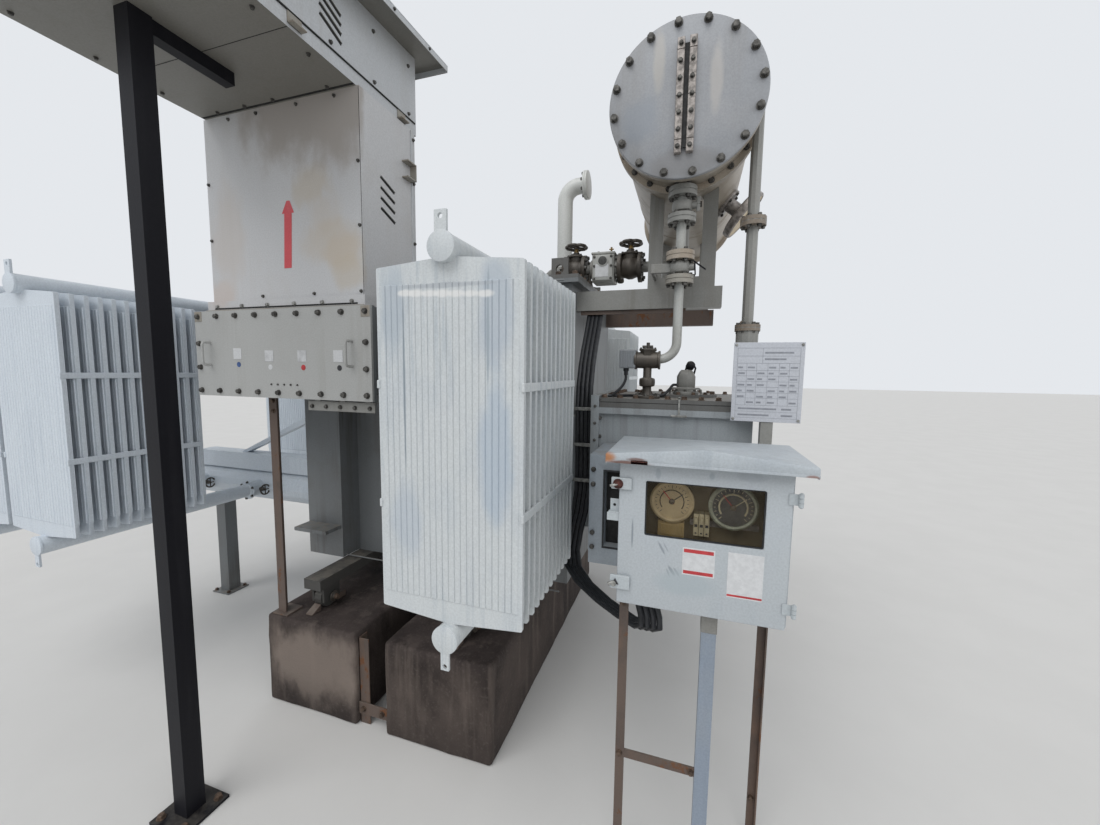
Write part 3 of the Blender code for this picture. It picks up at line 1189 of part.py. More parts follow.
def build_kiosk_door(build):
    """Door on its right hand hinges, with a rebated window, and the glass."""
    hinge_x = KIOSK_RIGHT + HINGE_OUT
    hinge_y = KIOSK_FRONT - HINGE_RADIUS
    x = (KIOSK_LEFT - DOOR_INSET, KIOSK_RIGHT - DOOR_INSET)
    z = (KIOSK_LOW, KIOSK_TOP - DOOR_INSET)
    door = boxes((x, (KIOSK_FRONT, KIOSK_FRONT + DOOR_THICKNESS), z))
    window_x = [KIOSK_LEFT + share * KIOSK_WIDTH for share in (WINDOW_LEFT_SHARE, WINDOW_RIGHT_SHARE)]
    window_z = [KIOSK_LOW + share * KIOSK_HEIGHT for share in (WINDOW_LOW_SHARE, WINDOW_HIGH_SHARE)]
    opening = boxes((window_x, (KIOSK_FRONT - OVERRUN, KIOSK_FRONT + DOOR_THICKNESS + OVERRUN), window_z))
    rebate_y = (KIOSK_FRONT + DOOR_THICKNESS - WINDOW_REBATE_DEPTH, KIOSK_FRONT + DOOR_THICKNESS + OVERRUN)
    rebate_x = (window_x[0] - WINDOW_REBATE, window_x[1] + WINDOW_REBATE)
    rebate_z = (window_z[0] - WINDOW_REBATE, window_z[1] + WINDOW_REBATE)
    rebate = boxes((rebate_x, rebate_y, rebate_z))
    barrels = bmesh.new()
    leaves = bmesh.new()
    for share in (HINGE_LOW_SHARE, HINGE_HIGH_SHARE):
        middle = KIOSK_LOW + share * KIOSK_HEIGHT
        span = around(middle, HINGE_LENGTH)
        add_rod(barrels, (hinge_x, hinge_y, span[0]), (hinge_x, hinge_y, span[1]), HINGE_RADIUS, PIPE_SIDES)
        leaf_x = (x[1] - HINGE_LENGTH / 2, hinge_x)
        leaf_y = (hinge_y - HINGE_RADIUS / 2, KIOSK_FRONT + WELD / 2)
        add_box(leaves, leaf_x, leaf_y, around(middle, HINGE_LENGTH - WELD))
    latches = bmesh.new()
    for share in (HINGE_LOW_SHARE, HINGE_HIGH_SHARE):
        middle = KIOSK_LOW + share * KIOSK_HEIGHT
        latch_x = (x[0] + OVERRUN, x[0] + OVERRUN + LATCH_WIDTH)
        latch_y = (KIOSK_FRONT - LATCH_DEPTH, KIOSK_FRONT + WELD / 2)
        add_box(latches, latch_x, latch_y, around(middle, LATCH_HEIGHT))
    build.piece(
        "kiosk_door", "kiosk_paint", door, welds=[leaves, barrels, latches], cuts=[opening, rebate],
        origin=(hinge_x, hinge_y, KIOSK_LOW),
    )
    glass_y = (rebate_y[0] + SEAT_GAP, rebate_y[0] + SEAT_GAP + WINDOW_GLASS)
    glass = boxes((
        (rebate_x[0] + SEAT_GAP, rebate_x[1] - SEAT_GAP), glass_y,
        (rebate_z[0] + SEAT_GAP, rebate_z[1] - SEAT_GAP),
    ))
    build.piece("kiosk_window", "window_glass", glass, origin=(hinge_x, hinge_y, KIOSK_LOW))


def build_kiosk_roof(build):
    """Low gabled roof over the marshalling box."""
    low = KIOSK_TOP + SEAT_GAP
    middle = KIOSK_LEFT + KIOSK_WIDTH / 2
    half = KIOSK_WIDTH / 2 + KIOSK_ROOF_OVERHANG
    outline = [
        (middle - half, low),
        (middle + half, low),
        (middle + half, low + KIOSK_ROOF_EAVE),
        (middle, low + KIOSK_ROOF_EAVE + KIOSK_ROOF_RISE),
        (middle - half, low + KIOSK_ROOF_EAVE),
    ]
    depth = KIOSK_DEPTH + 2 * KIOSK_ROOF_OVERHANG
    roof = sheet(outline, depth, facing_y(KIOSK_FRONT + KIOSK_DEPTH / 2))
    build.piece("kiosk_roof", "kiosk_paint", roof)


def build_kiosk_stand(build):
    """Post, angle legs, tie and back arms of the marshalling box."""
    top = KIOSK_LOW - SEAT_GAP
    post_x = KIOSK_LEFT + KIOSK_POST_X_SHARE * KIOSK_WIDTH
    post_y = KIOSK_SHELL_FRONT + KIOSK_POST_SIZE
    post = boxes((around(post_x, KIOSK_POST_SIZE), around(post_y, KIOSK_POST_SIZE), (0, top)))
    build.piece("kiosk_post", "blue_paint", post)
    leg_y = (post_y - KIOSK_POST_SIZE / 2, post_y - KIOSK_POST_SIZE / 2 + KIOSK_LEG_THICKNESS)
    leg_x = (KIOSK_LEFT, KIOSK_LEFT + KIOSK_LEG_SIZE)
    front_leg = boxes((leg_x, leg_y, (0, top)))
    wing = boxes((
        (leg_x[0], leg_x[0] + KIOSK_LEG_THICKNESS),
        (leg_y[0] + WELD / 2, leg_y[0] + KIOSK_LEG_SIZE),
        (0, top),
    ))
    tie_x = (leg_x[0] + WELD / 2, post_x - KIOSK_POST_SIZE / 2 - SEAT_GAP)
    tie = boxes((tie_x, (leg_y[0] + WELD / 4, leg_y[1] + WELD / 2), around(KIOSK_TIE_Z, KIOSK_LEG_SIZE)))
    build.piece("kiosk_front_leg", "rusty_steel", front_leg, welds=[wing, tie])
    back_x = (KIOSK_RIGHT - KIOSK_LEG_SIZE, KIOSK_RIGHT)
    back_leg = boxes((back_x, (KIOSK_BACK - KIOSK_LEG_THICKNESS, KIOSK_BACK), (0, top)))
    back_wing = boxes((
        (back_x[1] - KIOSK_LEG_THICKNESS, back_x[1]),
        (KIOSK_BACK - KIOSK_LEG_SIZE, KIOSK_BACK - WELD / 2),
        (0, top),
    ))
    build.piece("kiosk_back_leg", "rusty_steel", back_leg, welds=[back_wing])


def build_breathers(build):
    """Two pipes down the right of the drum, ending in breathers behind the rating plate."""
    x = BREATHER_X
    y = BREATHER_Y
    root = Vector((CONSERVATOR_X, y, BREATHER_TOP))
    corner = Vector((x, y, BREATHER_TOP))
    foot = Vector((x, y, BREATHER_LOW))
    pipe = tube([root, *bend_points(root, corner, foot, BREATHER_BEND), foot], BREATHER_RADIUS)
    collars = bmesh.new()
    for z in (BREATHER_JOINT_Z, BREATHER_LOW):
        add_rod(collars, (x, y, z), (x, y, z + BREATHER_FLANGE_HEIGHT), BREATHER_FLANGE_RADIUS, PIPE_SIDES)
    vessel_low = (x, y, BREATHER_LOW - BREATHER_BODY_HEIGHT)
    vessel = rods((vessel_low, (x, y, BREATHER_LOW + WELD), BREATHER_BODY_RADIUS - WELD))
    build.piece(
        "breather_pipe", "grey_paint", pipe, welds=[collars, vessel], cuts=[drum_cutter()], smooth=True
    )
    second_y = y + SECOND_PIPE_SPACING + BREATHER_BODY_RADIUS
    root = Vector((CONSERVATOR_X, second_y, SECOND_PIPE_TOP))
    corner = Vector((x, second_y, SECOND_PIPE_TOP))
    foot = Vector((x, second_y, BREATHER_LOW - BREATHER_BODY_HEIGHT))
    route = [root, *bend_points(root, corner, foot, BREATHER_BEND), foot]
    second = tube(route, SECOND_PIPE_RADIUS)
    build.piece("breather_pipe_small", "grey_paint", second, cuts=[drum_cutter()], smooth=True)


def build_rating_plate(build):
    """Bare rating plate on its post beside the tap changer."""
    plate_y = (PLATE_FRONT, PLATE_FRONT + PLATE_THICKNESS)
    plate_x = (PLATE_LEFT, PLATE_LEFT + PLATE_WIDTH)
    plate = boxes((plate_x, plate_y, (PLATE_LOW, PLATE_LOW + PLATE_HEIGHT)))
    build.piece("rating_plate", "plate_white", plate)
    post_x = (TAP_RIGHT + TAP_LID_LIP + SEAT_GAP, TAP_RIGHT + TAP_LID_LIP + SEAT_GAP + PLATE_POST_SIZE)
    post_y = (plate_y[1] + SEAT_GAP, plate_y[1] + SEAT_GAP + PLATE_POST_SIZE)
    post = boxes((post_x, post_y, (TAP_LOW, PLATE_LOW + PLATE_HEIGHT - OVERRUN)))
    arm_low = TAP_LOW + OVERRUN
    arm = boxes((
        (TAP_RIGHT + SEAT_GAP, post_x[0] + WELD), (TAP_FRONT - PLATE_POST_SIZE, TAP_FRONT + PLATE_POST_SIZE),
        (arm_low, arm_low + PLATE_POST_SIZE),
    ))
    build.piece("plate_post", "grey_paint", post, welds=[arm])


def build_cables(build):
    """Control cables clipped along the tank's front corner."""
    flange_x = TAP_LEFT - NECK_FLANGE_THICKNESS
    cables = []
    for count in range(CABLE_COUNT):
        x = flange_x - SEAT_GAP - CABLE_RADIUS - WELD - count * CABLE_SPACING
        entry_x = KIOSK_LEFT + KIOSK_WALL + CABLE_SPACING * (CABLE_COUNT - count)
        top = BEAM_LOW - SEAT_GAP
        entry_y = KIOSK_FRONT + KIOSK_DEPTH / 2
        stops = [
            (x, BEAM_FRONT_Y, top - CABLE_RADIUS * 2),
            (x, CABLE_Y, top - CABLE_TOP_SPREAD * 2),
            (x, CABLE_Y, KIOSK_LOW + CABLE_DIP),
            (x, CABLE_Y - CABLE_DIP, KIOSK_LOW - CABLE_DIP),
            (entry_x, entry_y, KIOSK_LOW - CABLE_DIP),
            (entry_x, entry_y, KIOSK_LOW - CABLE_RADIUS * 2),
        ]
        start = (x, BEAM_FRONT_Y, top)
        end = (entry_x, entry_y, KIOSK_LOW - SEAT_GAP)
        cables.append(tube([start, *smooth_route(stops), end], CABLE_RADIUS))
    clip_x = (flange_x - SEAT_GAP - CABLE_COUNT * CABLE_SPACING - WELD, flange_x - SEAT_GAP)
    clips = bmesh.new()
    for z in CABLE_CLIP_HEIGHTS:
        add_box(clips, clip_x, around(CABLE_Y, CABLE_SPACING / 2), around(z, CABLE_CLIP_HEIGHT))
    build.piece("cable_bundle", "cable_black", cables[0], welds=[*cables[1:], clips], smooth=True)


def centre_on_origin(build):
    """Move the carrying empty so that the footprint's middle is on the origin."""
    bpy.context.view_layer.update()
    graph = bpy.context.evaluated_depsgraph_get()
    corners = []
    for item in build.pieces.objects:
        if item.type == "MESH":
            seen = item.evaluated_get(graph)
            corners += [seen.matrix_world @ vert.co for vert in seen.data.vertices]
    low_x = min(place.x for place in corners)
    high_x = max(place.x for place in corners)
    low_y = min(place.y for place in corners)
    high_y = max(place.y for place in corners)
    build.root.location = (-(low_x + high_x) / 2, -(low_y + high_y) / 2, 0)
    bpy.context.view_layer.update()


def main():
    """Build the whole transformer."""
    build = Builder()
    build_plinths(build)
    build_undercarriage(build)
    build_tank(build)
    build_radiators(build)
    build_manifolds(build)
    build_lv_box(build)
    build_hv_box(build)
    build_riser(build)
    build_conservator(build)
    build_conservator_stand(build)
    build_oil_pipe(build)
    build_vent(build)
    build_tap_changer(build)
    build_kiosk(build)
    build_breathers(build)
    build_rating_plate(build)
    build_cables(build)
    centre_on_origin(build)


main()
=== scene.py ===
"""Looks of the power transformer: coats, small fittings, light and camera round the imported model."""

import math

import bmesh
import bpy
from mathutils import Matrix, Vector
from mathutils import noise as mathutils_noise


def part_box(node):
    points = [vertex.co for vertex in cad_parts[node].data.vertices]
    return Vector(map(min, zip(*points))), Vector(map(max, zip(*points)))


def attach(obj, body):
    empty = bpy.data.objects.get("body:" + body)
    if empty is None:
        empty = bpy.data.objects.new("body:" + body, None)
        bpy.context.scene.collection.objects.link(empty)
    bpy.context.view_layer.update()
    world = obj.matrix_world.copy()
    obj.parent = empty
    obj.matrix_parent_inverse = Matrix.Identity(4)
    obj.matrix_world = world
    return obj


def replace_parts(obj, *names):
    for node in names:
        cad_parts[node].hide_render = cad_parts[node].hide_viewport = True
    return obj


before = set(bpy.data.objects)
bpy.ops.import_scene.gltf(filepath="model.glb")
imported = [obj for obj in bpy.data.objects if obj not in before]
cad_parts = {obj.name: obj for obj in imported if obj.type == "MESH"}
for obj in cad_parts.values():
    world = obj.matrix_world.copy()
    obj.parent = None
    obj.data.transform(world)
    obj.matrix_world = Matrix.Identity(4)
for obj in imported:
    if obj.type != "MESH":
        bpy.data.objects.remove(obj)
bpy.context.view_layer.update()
BODY = "transformer"

RIGHT, LEFT, BACK, FRONT, UP, DOWN = (1, 0, 0), (-1, 0, 0), (0, 1, 0), (0, -1, 0), (0, 0, 1), (0, 0, -1)
EVEN = (1.0, 1.0, 1.0)

# The photograph's camera: how far it stands from the left plinth's middle, its height and its lens
CAMERA_ASIDE, CAMERA_AHEAD, CAMERA_HEIGHT = 1.80, 2.62, 1.78
CAMERA_LENS = 14.19


# Camera at the photograph's place, found from the left plinth, which stands at a known spot
def place_camera():
    low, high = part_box("plinth_left")
    middle = (Vector(low) + Vector(high)) / 2
    lens = bpy.data.cameras.new("camera")
    lens.sensor_width = 36
    lens.lens = CAMERA_LENS
    lens.clip_start = 0.05
    lens.clip_end = 200
    camera = bpy.data.objects.new("camera", lens)
    bpy.context.scene.collection.objects.link(camera)
    right = Vector((0.951522, 0.307303, 0.013355))
    up = Vector((-0.042029, 0.086881, 0.995339))
    back = right.cross(up)
    turn = Matrix((right, up, back)).transposed().to_4x4()
    place = (middle.x + CAMERA_ASIDE, middle.y - CAMERA_AHEAD, CAMERA_HEIGHT)
    camera.matrix_world = Matrix.Translation(place) @ turn
    bpy.context.scene.camera = camera


# Small steps of modelling
def put_down():
    bpy.ops.object.select_all(action="DESELECT")


def take_up(*pieces):
    put_down()
    for piece in pieces:
        piece.select_set(True)
    bpy.context.view_layer.objects.active = pieces[0]


def settle(piece):
    """Put a piece's place, turn and scale into its mesh."""
    take_up(piece)
    bpy.ops.object.transform_apply(location=True, rotation=True, scale=True)


def open_edit():
    bpy.ops.object.mode_set(mode="EDIT")


def close_edit():
    bpy.ops.object.mode_set(mode="OBJECT")


def select_everything():
    bpy.ops.mesh.select_all(action="SELECT")


def bevel_edges(width, segments):
    """In edit mode, bevel the selected edges."""
    bpy.ops.mesh.bevel(offset=width, segments=segments, affect="EDGES")


def cut_across(place, way):
    """In edit mode, cut the whole mesh with a flat plane."""
    select_everything()
    bpy.ops.mesh.bisect(plane_co=place, plane_no=way)


def select_faces(piece, wanted):
    """In edit mode, select the faces that a test picks out."""
    mesh = bmesh.from_edit_mesh(piece.data)
    for face in mesh.faces:
        face.select_set(False)
    for face in mesh.faces:
        if wanted(face):
            face.select_set(True)
    mesh.select_flush_mode()
    bmesh.update_edit_mesh(piece.data)


def select_edges(piece, wanted):
    """In edit mode, select the edges that a test picks out."""
    mesh = bmesh.from_edit_mesh(piece.data)
    for face in mesh.faces:
        face.select_set(False)
    for edge in mesh.edges:
        edge.select_set(bool(wanted(edge)))
    mesh.select_flush_mode()
    bmesh.update_edit_mesh(piece.data)


def block(name, low, high, bevel=0.0, segments=2):
    """A block between two corners, with its edges bevelled."""
    low, high = Vector(low), Vector(high)
    put_down()
    bpy.ops.mesh.primitive_cube_add(size=1, location=(low + high) / 2, scale=high - low)
    piece = bpy.context.object
    piece.name = name
    settle(piece)
    if bevel:
        open_edit()
        select_everything()
        bevel_edges(bevel, segments)
        close_edit()
    return piece


def round_bar(name, start, end, radius, sides=24, bevel=0.0, segments=2):
    """A round bar between two points, with the rims of its ends bevelled."""
    start, end = Vector(start), Vector(end)
    length = (end - start).length
    put_down()
    bpy.ops.mesh.primitive_cylinder_add(vertices=sides, radius=radius, depth=length)
    piece = bpy.context.object
    piece.name = name
    if bevel:
        open_edit()
        select_edges(piece, lambda edge: abs(edge.verts[0].co.z - edge.verts[1].co.z) < length / 4)
        bevel_edges(bevel, segments)
        close_edit()
    turn = (end - start).to_track_quat("Z", "Y").to_matrix().to_4x4()
    piece.data.transform(Matrix.Translation((start + end) / 2) @ turn)
    return piece


def smooth(piece, degrees=35):
    take_up(piece)
    bpy.ops.object.shade_smooth_by_angle(angle=math.radians(degrees))
    return piece


def join(name, pieces):
    """Join pieces into one object."""
    take_up(*pieces)
    bpy.ops.object.join()
    joined = bpy.context.object
    joined.name = name
    joined.data.name = name
    return joined


def copies(model, places):
    """Copies of a model, each with its own mesh, at the given matrices."""
    made = []
    for place in places:
        twin = model.copy()
        twin.data = model.data.copy()
        twin.data.transform(place)
        bpy.context.scene.collection.objects.link(twin)
        made.append(twin)
    return made


def throw_away(*pieces):
    for piece in pieces:
        bpy.data.objects.remove(piece)


def use_modifier(piece, kind, **settings):
    """Add a modifier to a piece and apply it."""
    change = piece.modifiers.new(kind.lower(), kind)
    for name, value in settings.items():
        setattr(change, name, value)
    take_up(piece)
    bpy.ops.object.modifier_apply(modifier=change.name)


def soften(piece, width, segments, degrees):
    """Bevel the edges that are sharper than an angle."""
    use_modifier(piece, "BEVEL", width=width, segments=segments, limit_method="ANGLE",
                 angle_limit=math.radians(degrees))


def drill(piece, cutters):
    """Cut holes in a piece."""
    for cutter in cutters:
        use_modifier(piece, "BOOLEAN", operation="DIFFERENCE", object=cutter)
    throw_away(*cutters)


def bent_bar(name, points, radius, resolution=3):
    """A round bar along a line of points."""
    curve = bpy.data.curves.new(name, "CURVE")
    curve.dimensions = "3D"
    curve.bevel_depth = radius
    curve.bevel_resolution = resolution
    curve.use_fill_caps = True
    spline = curve.splines.new("POLY")
    spline.points.add(len(points) - 1)
    for point, place in zip(spline.points, points):
        point.co = (*place, 1)
    bar = bpy.data.objects.new(name, curve)
    bpy.context.scene.collection.objects.link(bar)
    take_up(bar)
    bpy.ops.object.convert(target="MESH")
    bar = bpy.context.object
    open_edit()
    select_everything()
    bpy.ops.mesh.remove_doubles(threshold=0.0001)
    close_edit()
    return smooth(bar, 50)


def finish_piece(piece, coat_name, body=BODY):
    """Give a piece its coat and the body that it rides on."""
    piece.data.materials.clear()
    piece.data.materials.append(COATS[coat_name])
    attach(piece, body)
    return piece


def pointing(place, direction, roll=0.0):
    """Matrix that takes something standing on the origin along Z to a place and a direction."""
    turn = Vector(direction).to_track_quat("Z", "Y").to_matrix().to_4x4()
    return Matrix.Translation(place) @ turn @ Matrix.Rotation(roll, 4, "Z")


# Shader nodes
def put(tree, kind, inputs=None, **settings):
    """Add a node, with its settings, and fill or link its inputs."""
    node = tree.nodes.new(kind)
    for name, value in settings.items():
        setattr(node, name, value)
    for name, value in (inputs or {}).items():
        if isinstance(value, bpy.types.NodeSocket):
            tree.links.new(value, node.inputs[name])
        else:
            node.inputs[name].default_value = value
    return node


def noise(tree, place, stretch, scale, detail=4.0, roughness=0.55):
    """Noise over a place that is stretched first."""
    mapped = put(tree, "ShaderNodeMapping", {"Vector": place, "Scale": stretch})
    inputs = {"Vector": mapped.outputs[0], "Scale": scale, "Detail": detail, "Roughness": roughness}
    return put(tree, "ShaderNodeTexNoise", inputs).outputs["Fac"]


def ramp(tree, value, low, high, least=0.0, most=1.0):
    """A value spread from one range to another, and held inside it."""
    inputs = {"Value": value, "From Min": low, "From Max": high, "To Min": least, "To Max": most}
    return put(tree, "ShaderNodeMapRange", inputs, interpolation_type="SMOOTHSTEP").outputs[0]


def sums(tree, operation, first, second):
    return put(tree, "ShaderNodeMath", {0: first, 1: second}, operation=operation).outputs[0]


def times(tree, first, second):
    return sums(tree, "MULTIPLY", first, second)


def plus(tree, first, second):
    return sums(tree, "ADD", first, second)


def on_object(tree):
    return put(tree, "ShaderNodeTexCoord").outputs["Object"]


def raise_surface(tree, shader, strength, distance, height):
    """Bump a shader's surface by a height."""
    inputs = {"Strength": strength, "Distance": distance, "Height": height}
    tree.links.new(put(tree, "ShaderNodeBump", inputs).outputs[0], shader.inputs["Normal"])


def blend_colours(tree, share, under, over):
    mixed = put(tree, "ShaderNodeMix", {0: share, 6: under, 7: over}, data_type="RGBA")
    return mixed.outputs[2]


def open_group(name, inputs, outputs):
    """Start a node group with its sockets."""
    group = bpy.data.node_groups.new(name, "ShaderNodeTree")
    kinds = {"colour": "NodeSocketColor", "value": "NodeSocketFloat", "place": "NodeSocketVector"}
    for label, kind in inputs:
        group.interface.new_socket(label, in_out="INPUT", socket_type=kinds[kind])
    for label, kind in outputs:
        group.interface.new_socket(label, in_out="OUTPUT", socket_type=kinds[kind])
    return group, group.nodes.new("NodeGroupInput").outputs, group.nodes.new("NodeGroupOutput")


def weathered_coat_group():
    """Paint with runs, blotches, rust and dust, and painted shade darkening faces turned down."""
    inputs = [("Paint", "colour"), ("Run Colour", "colour"), ("Blotch Colour", "colour"),
              ("Rust Colour", "colour"), ("Runs", "value"), ("Run Width", "value"), ("Blotches", "value"),
              ("Rust", "value"), ("Dust", "value"), ("Gloss", "value"), ("Underside Shade", "value")]
    outputs = [("Color", "colour"), ("Roughness", "value"), ("Height", "value")]
    tree, given, out = open_group("weathered_coat", inputs, outputs)
    place = on_object(tree)
    widths = put(tree, "ShaderNodeVectorMath", {0: place, "Scale": given["Run Width"]},
                 operation="SCALE").outputs[0]
    runs = noise(tree, widths, (1.0, 1.0, 0.06), 1.0, 5.0, 0.6)
    patches = noise(tree, place, (1.0, 1.0, 0.45), 2.6, 3.0)
    run_share = ramp(tree, runs, 0.46, 0.66)
    run_share = times(tree, run_share, ramp(tree, patches, 0.36, 0.62))
    run_share = times(tree, run_share, given["Runs"])
    colour = blend_colours(tree, run_share, given["Paint"], given["Run Colour"])
    blotch = noise(tree, place, (1.0, 1.0, 0.8), 5.5, 6.0, 0.62)
    blotch_share = times(tree, ramp(tree, blotch, 0.47, 0.68), given["Blotches"])
    colour = blend_colours(tree, blotch_share, colour, given["Blotch Colour"])
    flakes = noise(tree, place, (1.0, 1.0, 0.7), 14.0, 8.0, 0.7)
    spread = noise(tree, place, EVEN, 1.7, 2.0)
    level = plus(tree, times(tree, flakes, 0.65), times(tree, spread, 0.35))
    edge = sums(tree, "SUBTRACT", 0.74, times(tree, given["Rust"], 0.3))
    rust_share = ramp(tree, sums(tree, "SUBTRACT", level, edge), 0.0, 0.05)
    colour = blend_colours(tree, rust_share, colour, given["Rust Colour"])
    upward = put(tree, "ShaderNodeSeparateXYZ", {0: put(tree, "ShaderNodeNewGeometry").outputs["Normal"]})
    speckle = noise(tree, place, EVEN, 22.0, 5.0)
    dust_share = times(tree, ramp(tree, upward.outputs[2], 0.25, 0.95), ramp(tree, speckle, 0.3, 0.65))
    dust_share = times(tree, dust_share, given["Dust"])
    colour = blend_colours(tree, dust_share, colour, (0.26, 0.235, 0.20, 1))
    # painted shade: faces turned down are darkened towards a dark brownish grey
    underside_shade_share = times(tree, ramp(tree, upward.outputs[2], -0.4, -0.9), given["Underside Shade"])
    colour = blend_colours(tree, underside_shade_share, colour, (0.165, 0.155, 0.13, 1))
    fine = noise(tree, place, EVEN, 160.0, 2.0)
    shade = put(tree, "ShaderNodeHueSaturation",
                {"Value": ramp(tree, fine, 0.3, 0.7, 0.94, 1.05), "Color": colour})
    rough = plus(tree, given["Gloss"], times(tree, rust_share, 0.35))
    rough = plus(tree, rough, times(tree, dust_share, 0.3))
    rough = plus(tree, rough, times(tree, run_share, 0.12))
    height = plus(tree, times(tree, fine, 0.25), times(tree, blotch, 0.5))
    height = plus(tree, height, times(tree, rust_share, times(tree, flakes, 0.8)))
    tree.links.new(shade.outputs[0], out.inputs["Color"])
    tree.links.new(rough, out.inputs["Roughness"])
    tree.links.new(height, out.inputs["Height"])
    return tree


def colour4(colour):
    return (*colour, 1.0)


def open_material(name):
    material = bpy.data.materials.new(name)
    material.use_nodes = True
    tree = material.node_tree
    return material, tree, tree.nodes["Principled BSDF"]


def spot(tree, centre, reach, lean=0.0, broken=0.55):
    """A patch round a place on the object, leaning about Y and broken up by noise."""
    place = on_object(tree)
    inputs = {"Vector": place, "Location": centre, "Rotation": (0, lean, 0), "Scale": reach}
    shrunk = put(tree, "ShaderNodeMapping", inputs, vector_type="TEXTURE").outputs[0]
    ball = put(tree, "ShaderNodeTexGradient", {"Vector": shrunk}, gradient_type="SPHERICAL").outputs["Fac"]
    ragged = noise(tree, place, (1.0, 1.0, 0.6), 7.0, 6.0, 0.65)
    inside = plus(tree, ball, times(tree, sums(tree, "SUBTRACT", ragged, 0.5), broken * 2))
    return times(tree, ramp(tree, inside, 0.12, 0.62), ramp(tree, ball, 0.0, 0.25))


def on_wall(y, reach, rows):
    """Stains on one wall, some of them partly painted shade, for coat(). rows are (x, z, half width, half
    height, colour, strength).
    """
    return tuple(((x, y, z), (wide, reach, tall), *rest) for x, z, wide, tall, *rest in rows)


def coat(name, paint, run_colour=None, blotch_colour=None, rust_colour=(0.15, 0.065, 0.03), runs=0.4,
         run_width=22.0, blotches=0.3, rust=0.1, dust=0.3, gloss=0.42, metal=0.0, bump=0.25, shine=0.5,
         underside_shade=0.0, spots=()):
    """A weathered coat of paint. underside_shade is painted shade on faces turned down. spots are (centre,
    reach, colour, strength), and a lean where they lean.
    """
    material, tree, shader = open_material(name)
    run_colour = run_colour or tuple(part * 0.62 for part in paint)
    blotch_colour = blotch_colour or tuple(part * 0.78 for part in paint)
    inputs = {
        "Paint": colour4(paint), "Run Colour": colour4(run_colour), "Blotch Colour": colour4(blotch_colour),
        "Rust Colour": colour4(rust_colour), "Runs": runs, "Run Width": run_width, "Blotches": blotches,
        "Rust": rust, "Dust": dust, "Gloss": gloss, "Underside Shade": underside_shade,
    }
    worn = tree.nodes.new("ShaderNodeGroup")
    worn.node_tree = bpy.data.node_groups["weathered_coat"]
    for label, value in inputs.items():
        worn.inputs[label].default_value = value
    colour = worn.outputs["Color"]
    for centre, reach, spot_colour, strength, *lean in spots:
        share = times(tree, spot(tree, centre, reach, *lean), strength)
        colour = blend_colours(tree, share, colour, colour4(spot_colour))
    tree.links.new(colour, shader.inputs["Base Color"])
    tree.links.new(worn.outputs["Roughness"], shader.inputs["Roughness"])
    raise_surface(tree, shader, bump, 0.004, worn.outputs["Height"])
    shader.inputs["Metallic"].default_value = metal
    shader.inputs["Specular IOR Level"].default_value = shine
    return material


def plain(name, colour, roughness=0.5, metal=0.0, mottle=0.15, scale=60.0):
    """A small part's finish: one colour, slightly mottled and rough."""
    material, tree, shader = open_material(name)
    place = on_object(tree)
    grain = noise(tree, place, EVEN, scale, 5.0, 0.6)
    dark = tuple(part * (1 - mottle * 2) for part in colour)
    tree.links.new(blend_colours(tree, ramp(tree, grain, 0.35, 0.65), colour4(dark), colour4(colour)),
                   shader.inputs["Base Color"])
    tree.links.new(ramp(tree, grain, 0.3, 0.7, roughness + 0.1, roughness - 0.06), shader.inputs["Roughness"])
    raise_surface(tree, shader, 0.15, 0.002, grain)
    shader.inputs["Metallic"].default_value = metal
    return material


def concrete_material():
    """Dark concrete with pits, oil stains, runs and light grains."""
    material, tree, shader = open_material("stained_concrete")
    place = on_object(tree)
    broad = noise(tree, place, (1.0, 1.0, 0.7), 3.2, 6.0, 0.6)
    runs = noise(tree, place, (1.0, 1.0, 0.1), 11.0, 5.0, 0.6)
    grains = noise(tree, place, EVEN, 70.0, 6.0, 0.7)
    height = put(tree, "ShaderNodeSeparateXYZ", {0: place}).outputs[2]
    colour = blend_colours(tree, ramp(tree, broad, 0.36, 0.66), (0.030, 0.023, 0.021, 1),
                           (0.085, 0.068, 0.060, 1))
    colour = blend_colours(tree, times(tree, ramp(tree, runs, 0.5, 0.66), 0.5), colour,
                           (0.15, 0.122, 0.105, 1))
    washed = times(tree, spot(tree, (-0.10, -0.79, 0.27), (0.42, 0.10, 0.32)), 0.75)
    colour = blend_colours(tree, washed, colour, (0.26, 0.215, 0.185, 1))
    # darker towards the bottom
    lower_darkening = times(tree, ramp(tree, height, 0.24, 0.0), 0.5)
    colour = blend_colours(tree, lower_darkening, colour, (0.035, 0.028, 0.026, 1))
    band = times(tree, ramp(tree, height, 0.40, 0.47), ramp(tree, broad, 0.3, 0.6))
    colour = blend_colours(tree, times(tree, band, 0.5), colour, (0.055, 0.043, 0.042, 1))
    colour = blend_colours(tree, times(tree, ramp(tree, grains, 0.5, 0.75), 0.3), colour,
                           (0.18, 0.155, 0.135, 1))
    tree.links.new(colour, shader.inputs["Base Color"])
    tree.links.new(ramp(tree, broad, 0.3, 0.7, 0.72, 0.95), shader.inputs["Roughness"])
    relief = plus(tree, times(tree, grains, 0.5), broad)
    raise_surface(tree, shader, 0.6, 0.012, relief)
    shader.inputs["Specular IOR Level"].default_value = 0.2
    return material


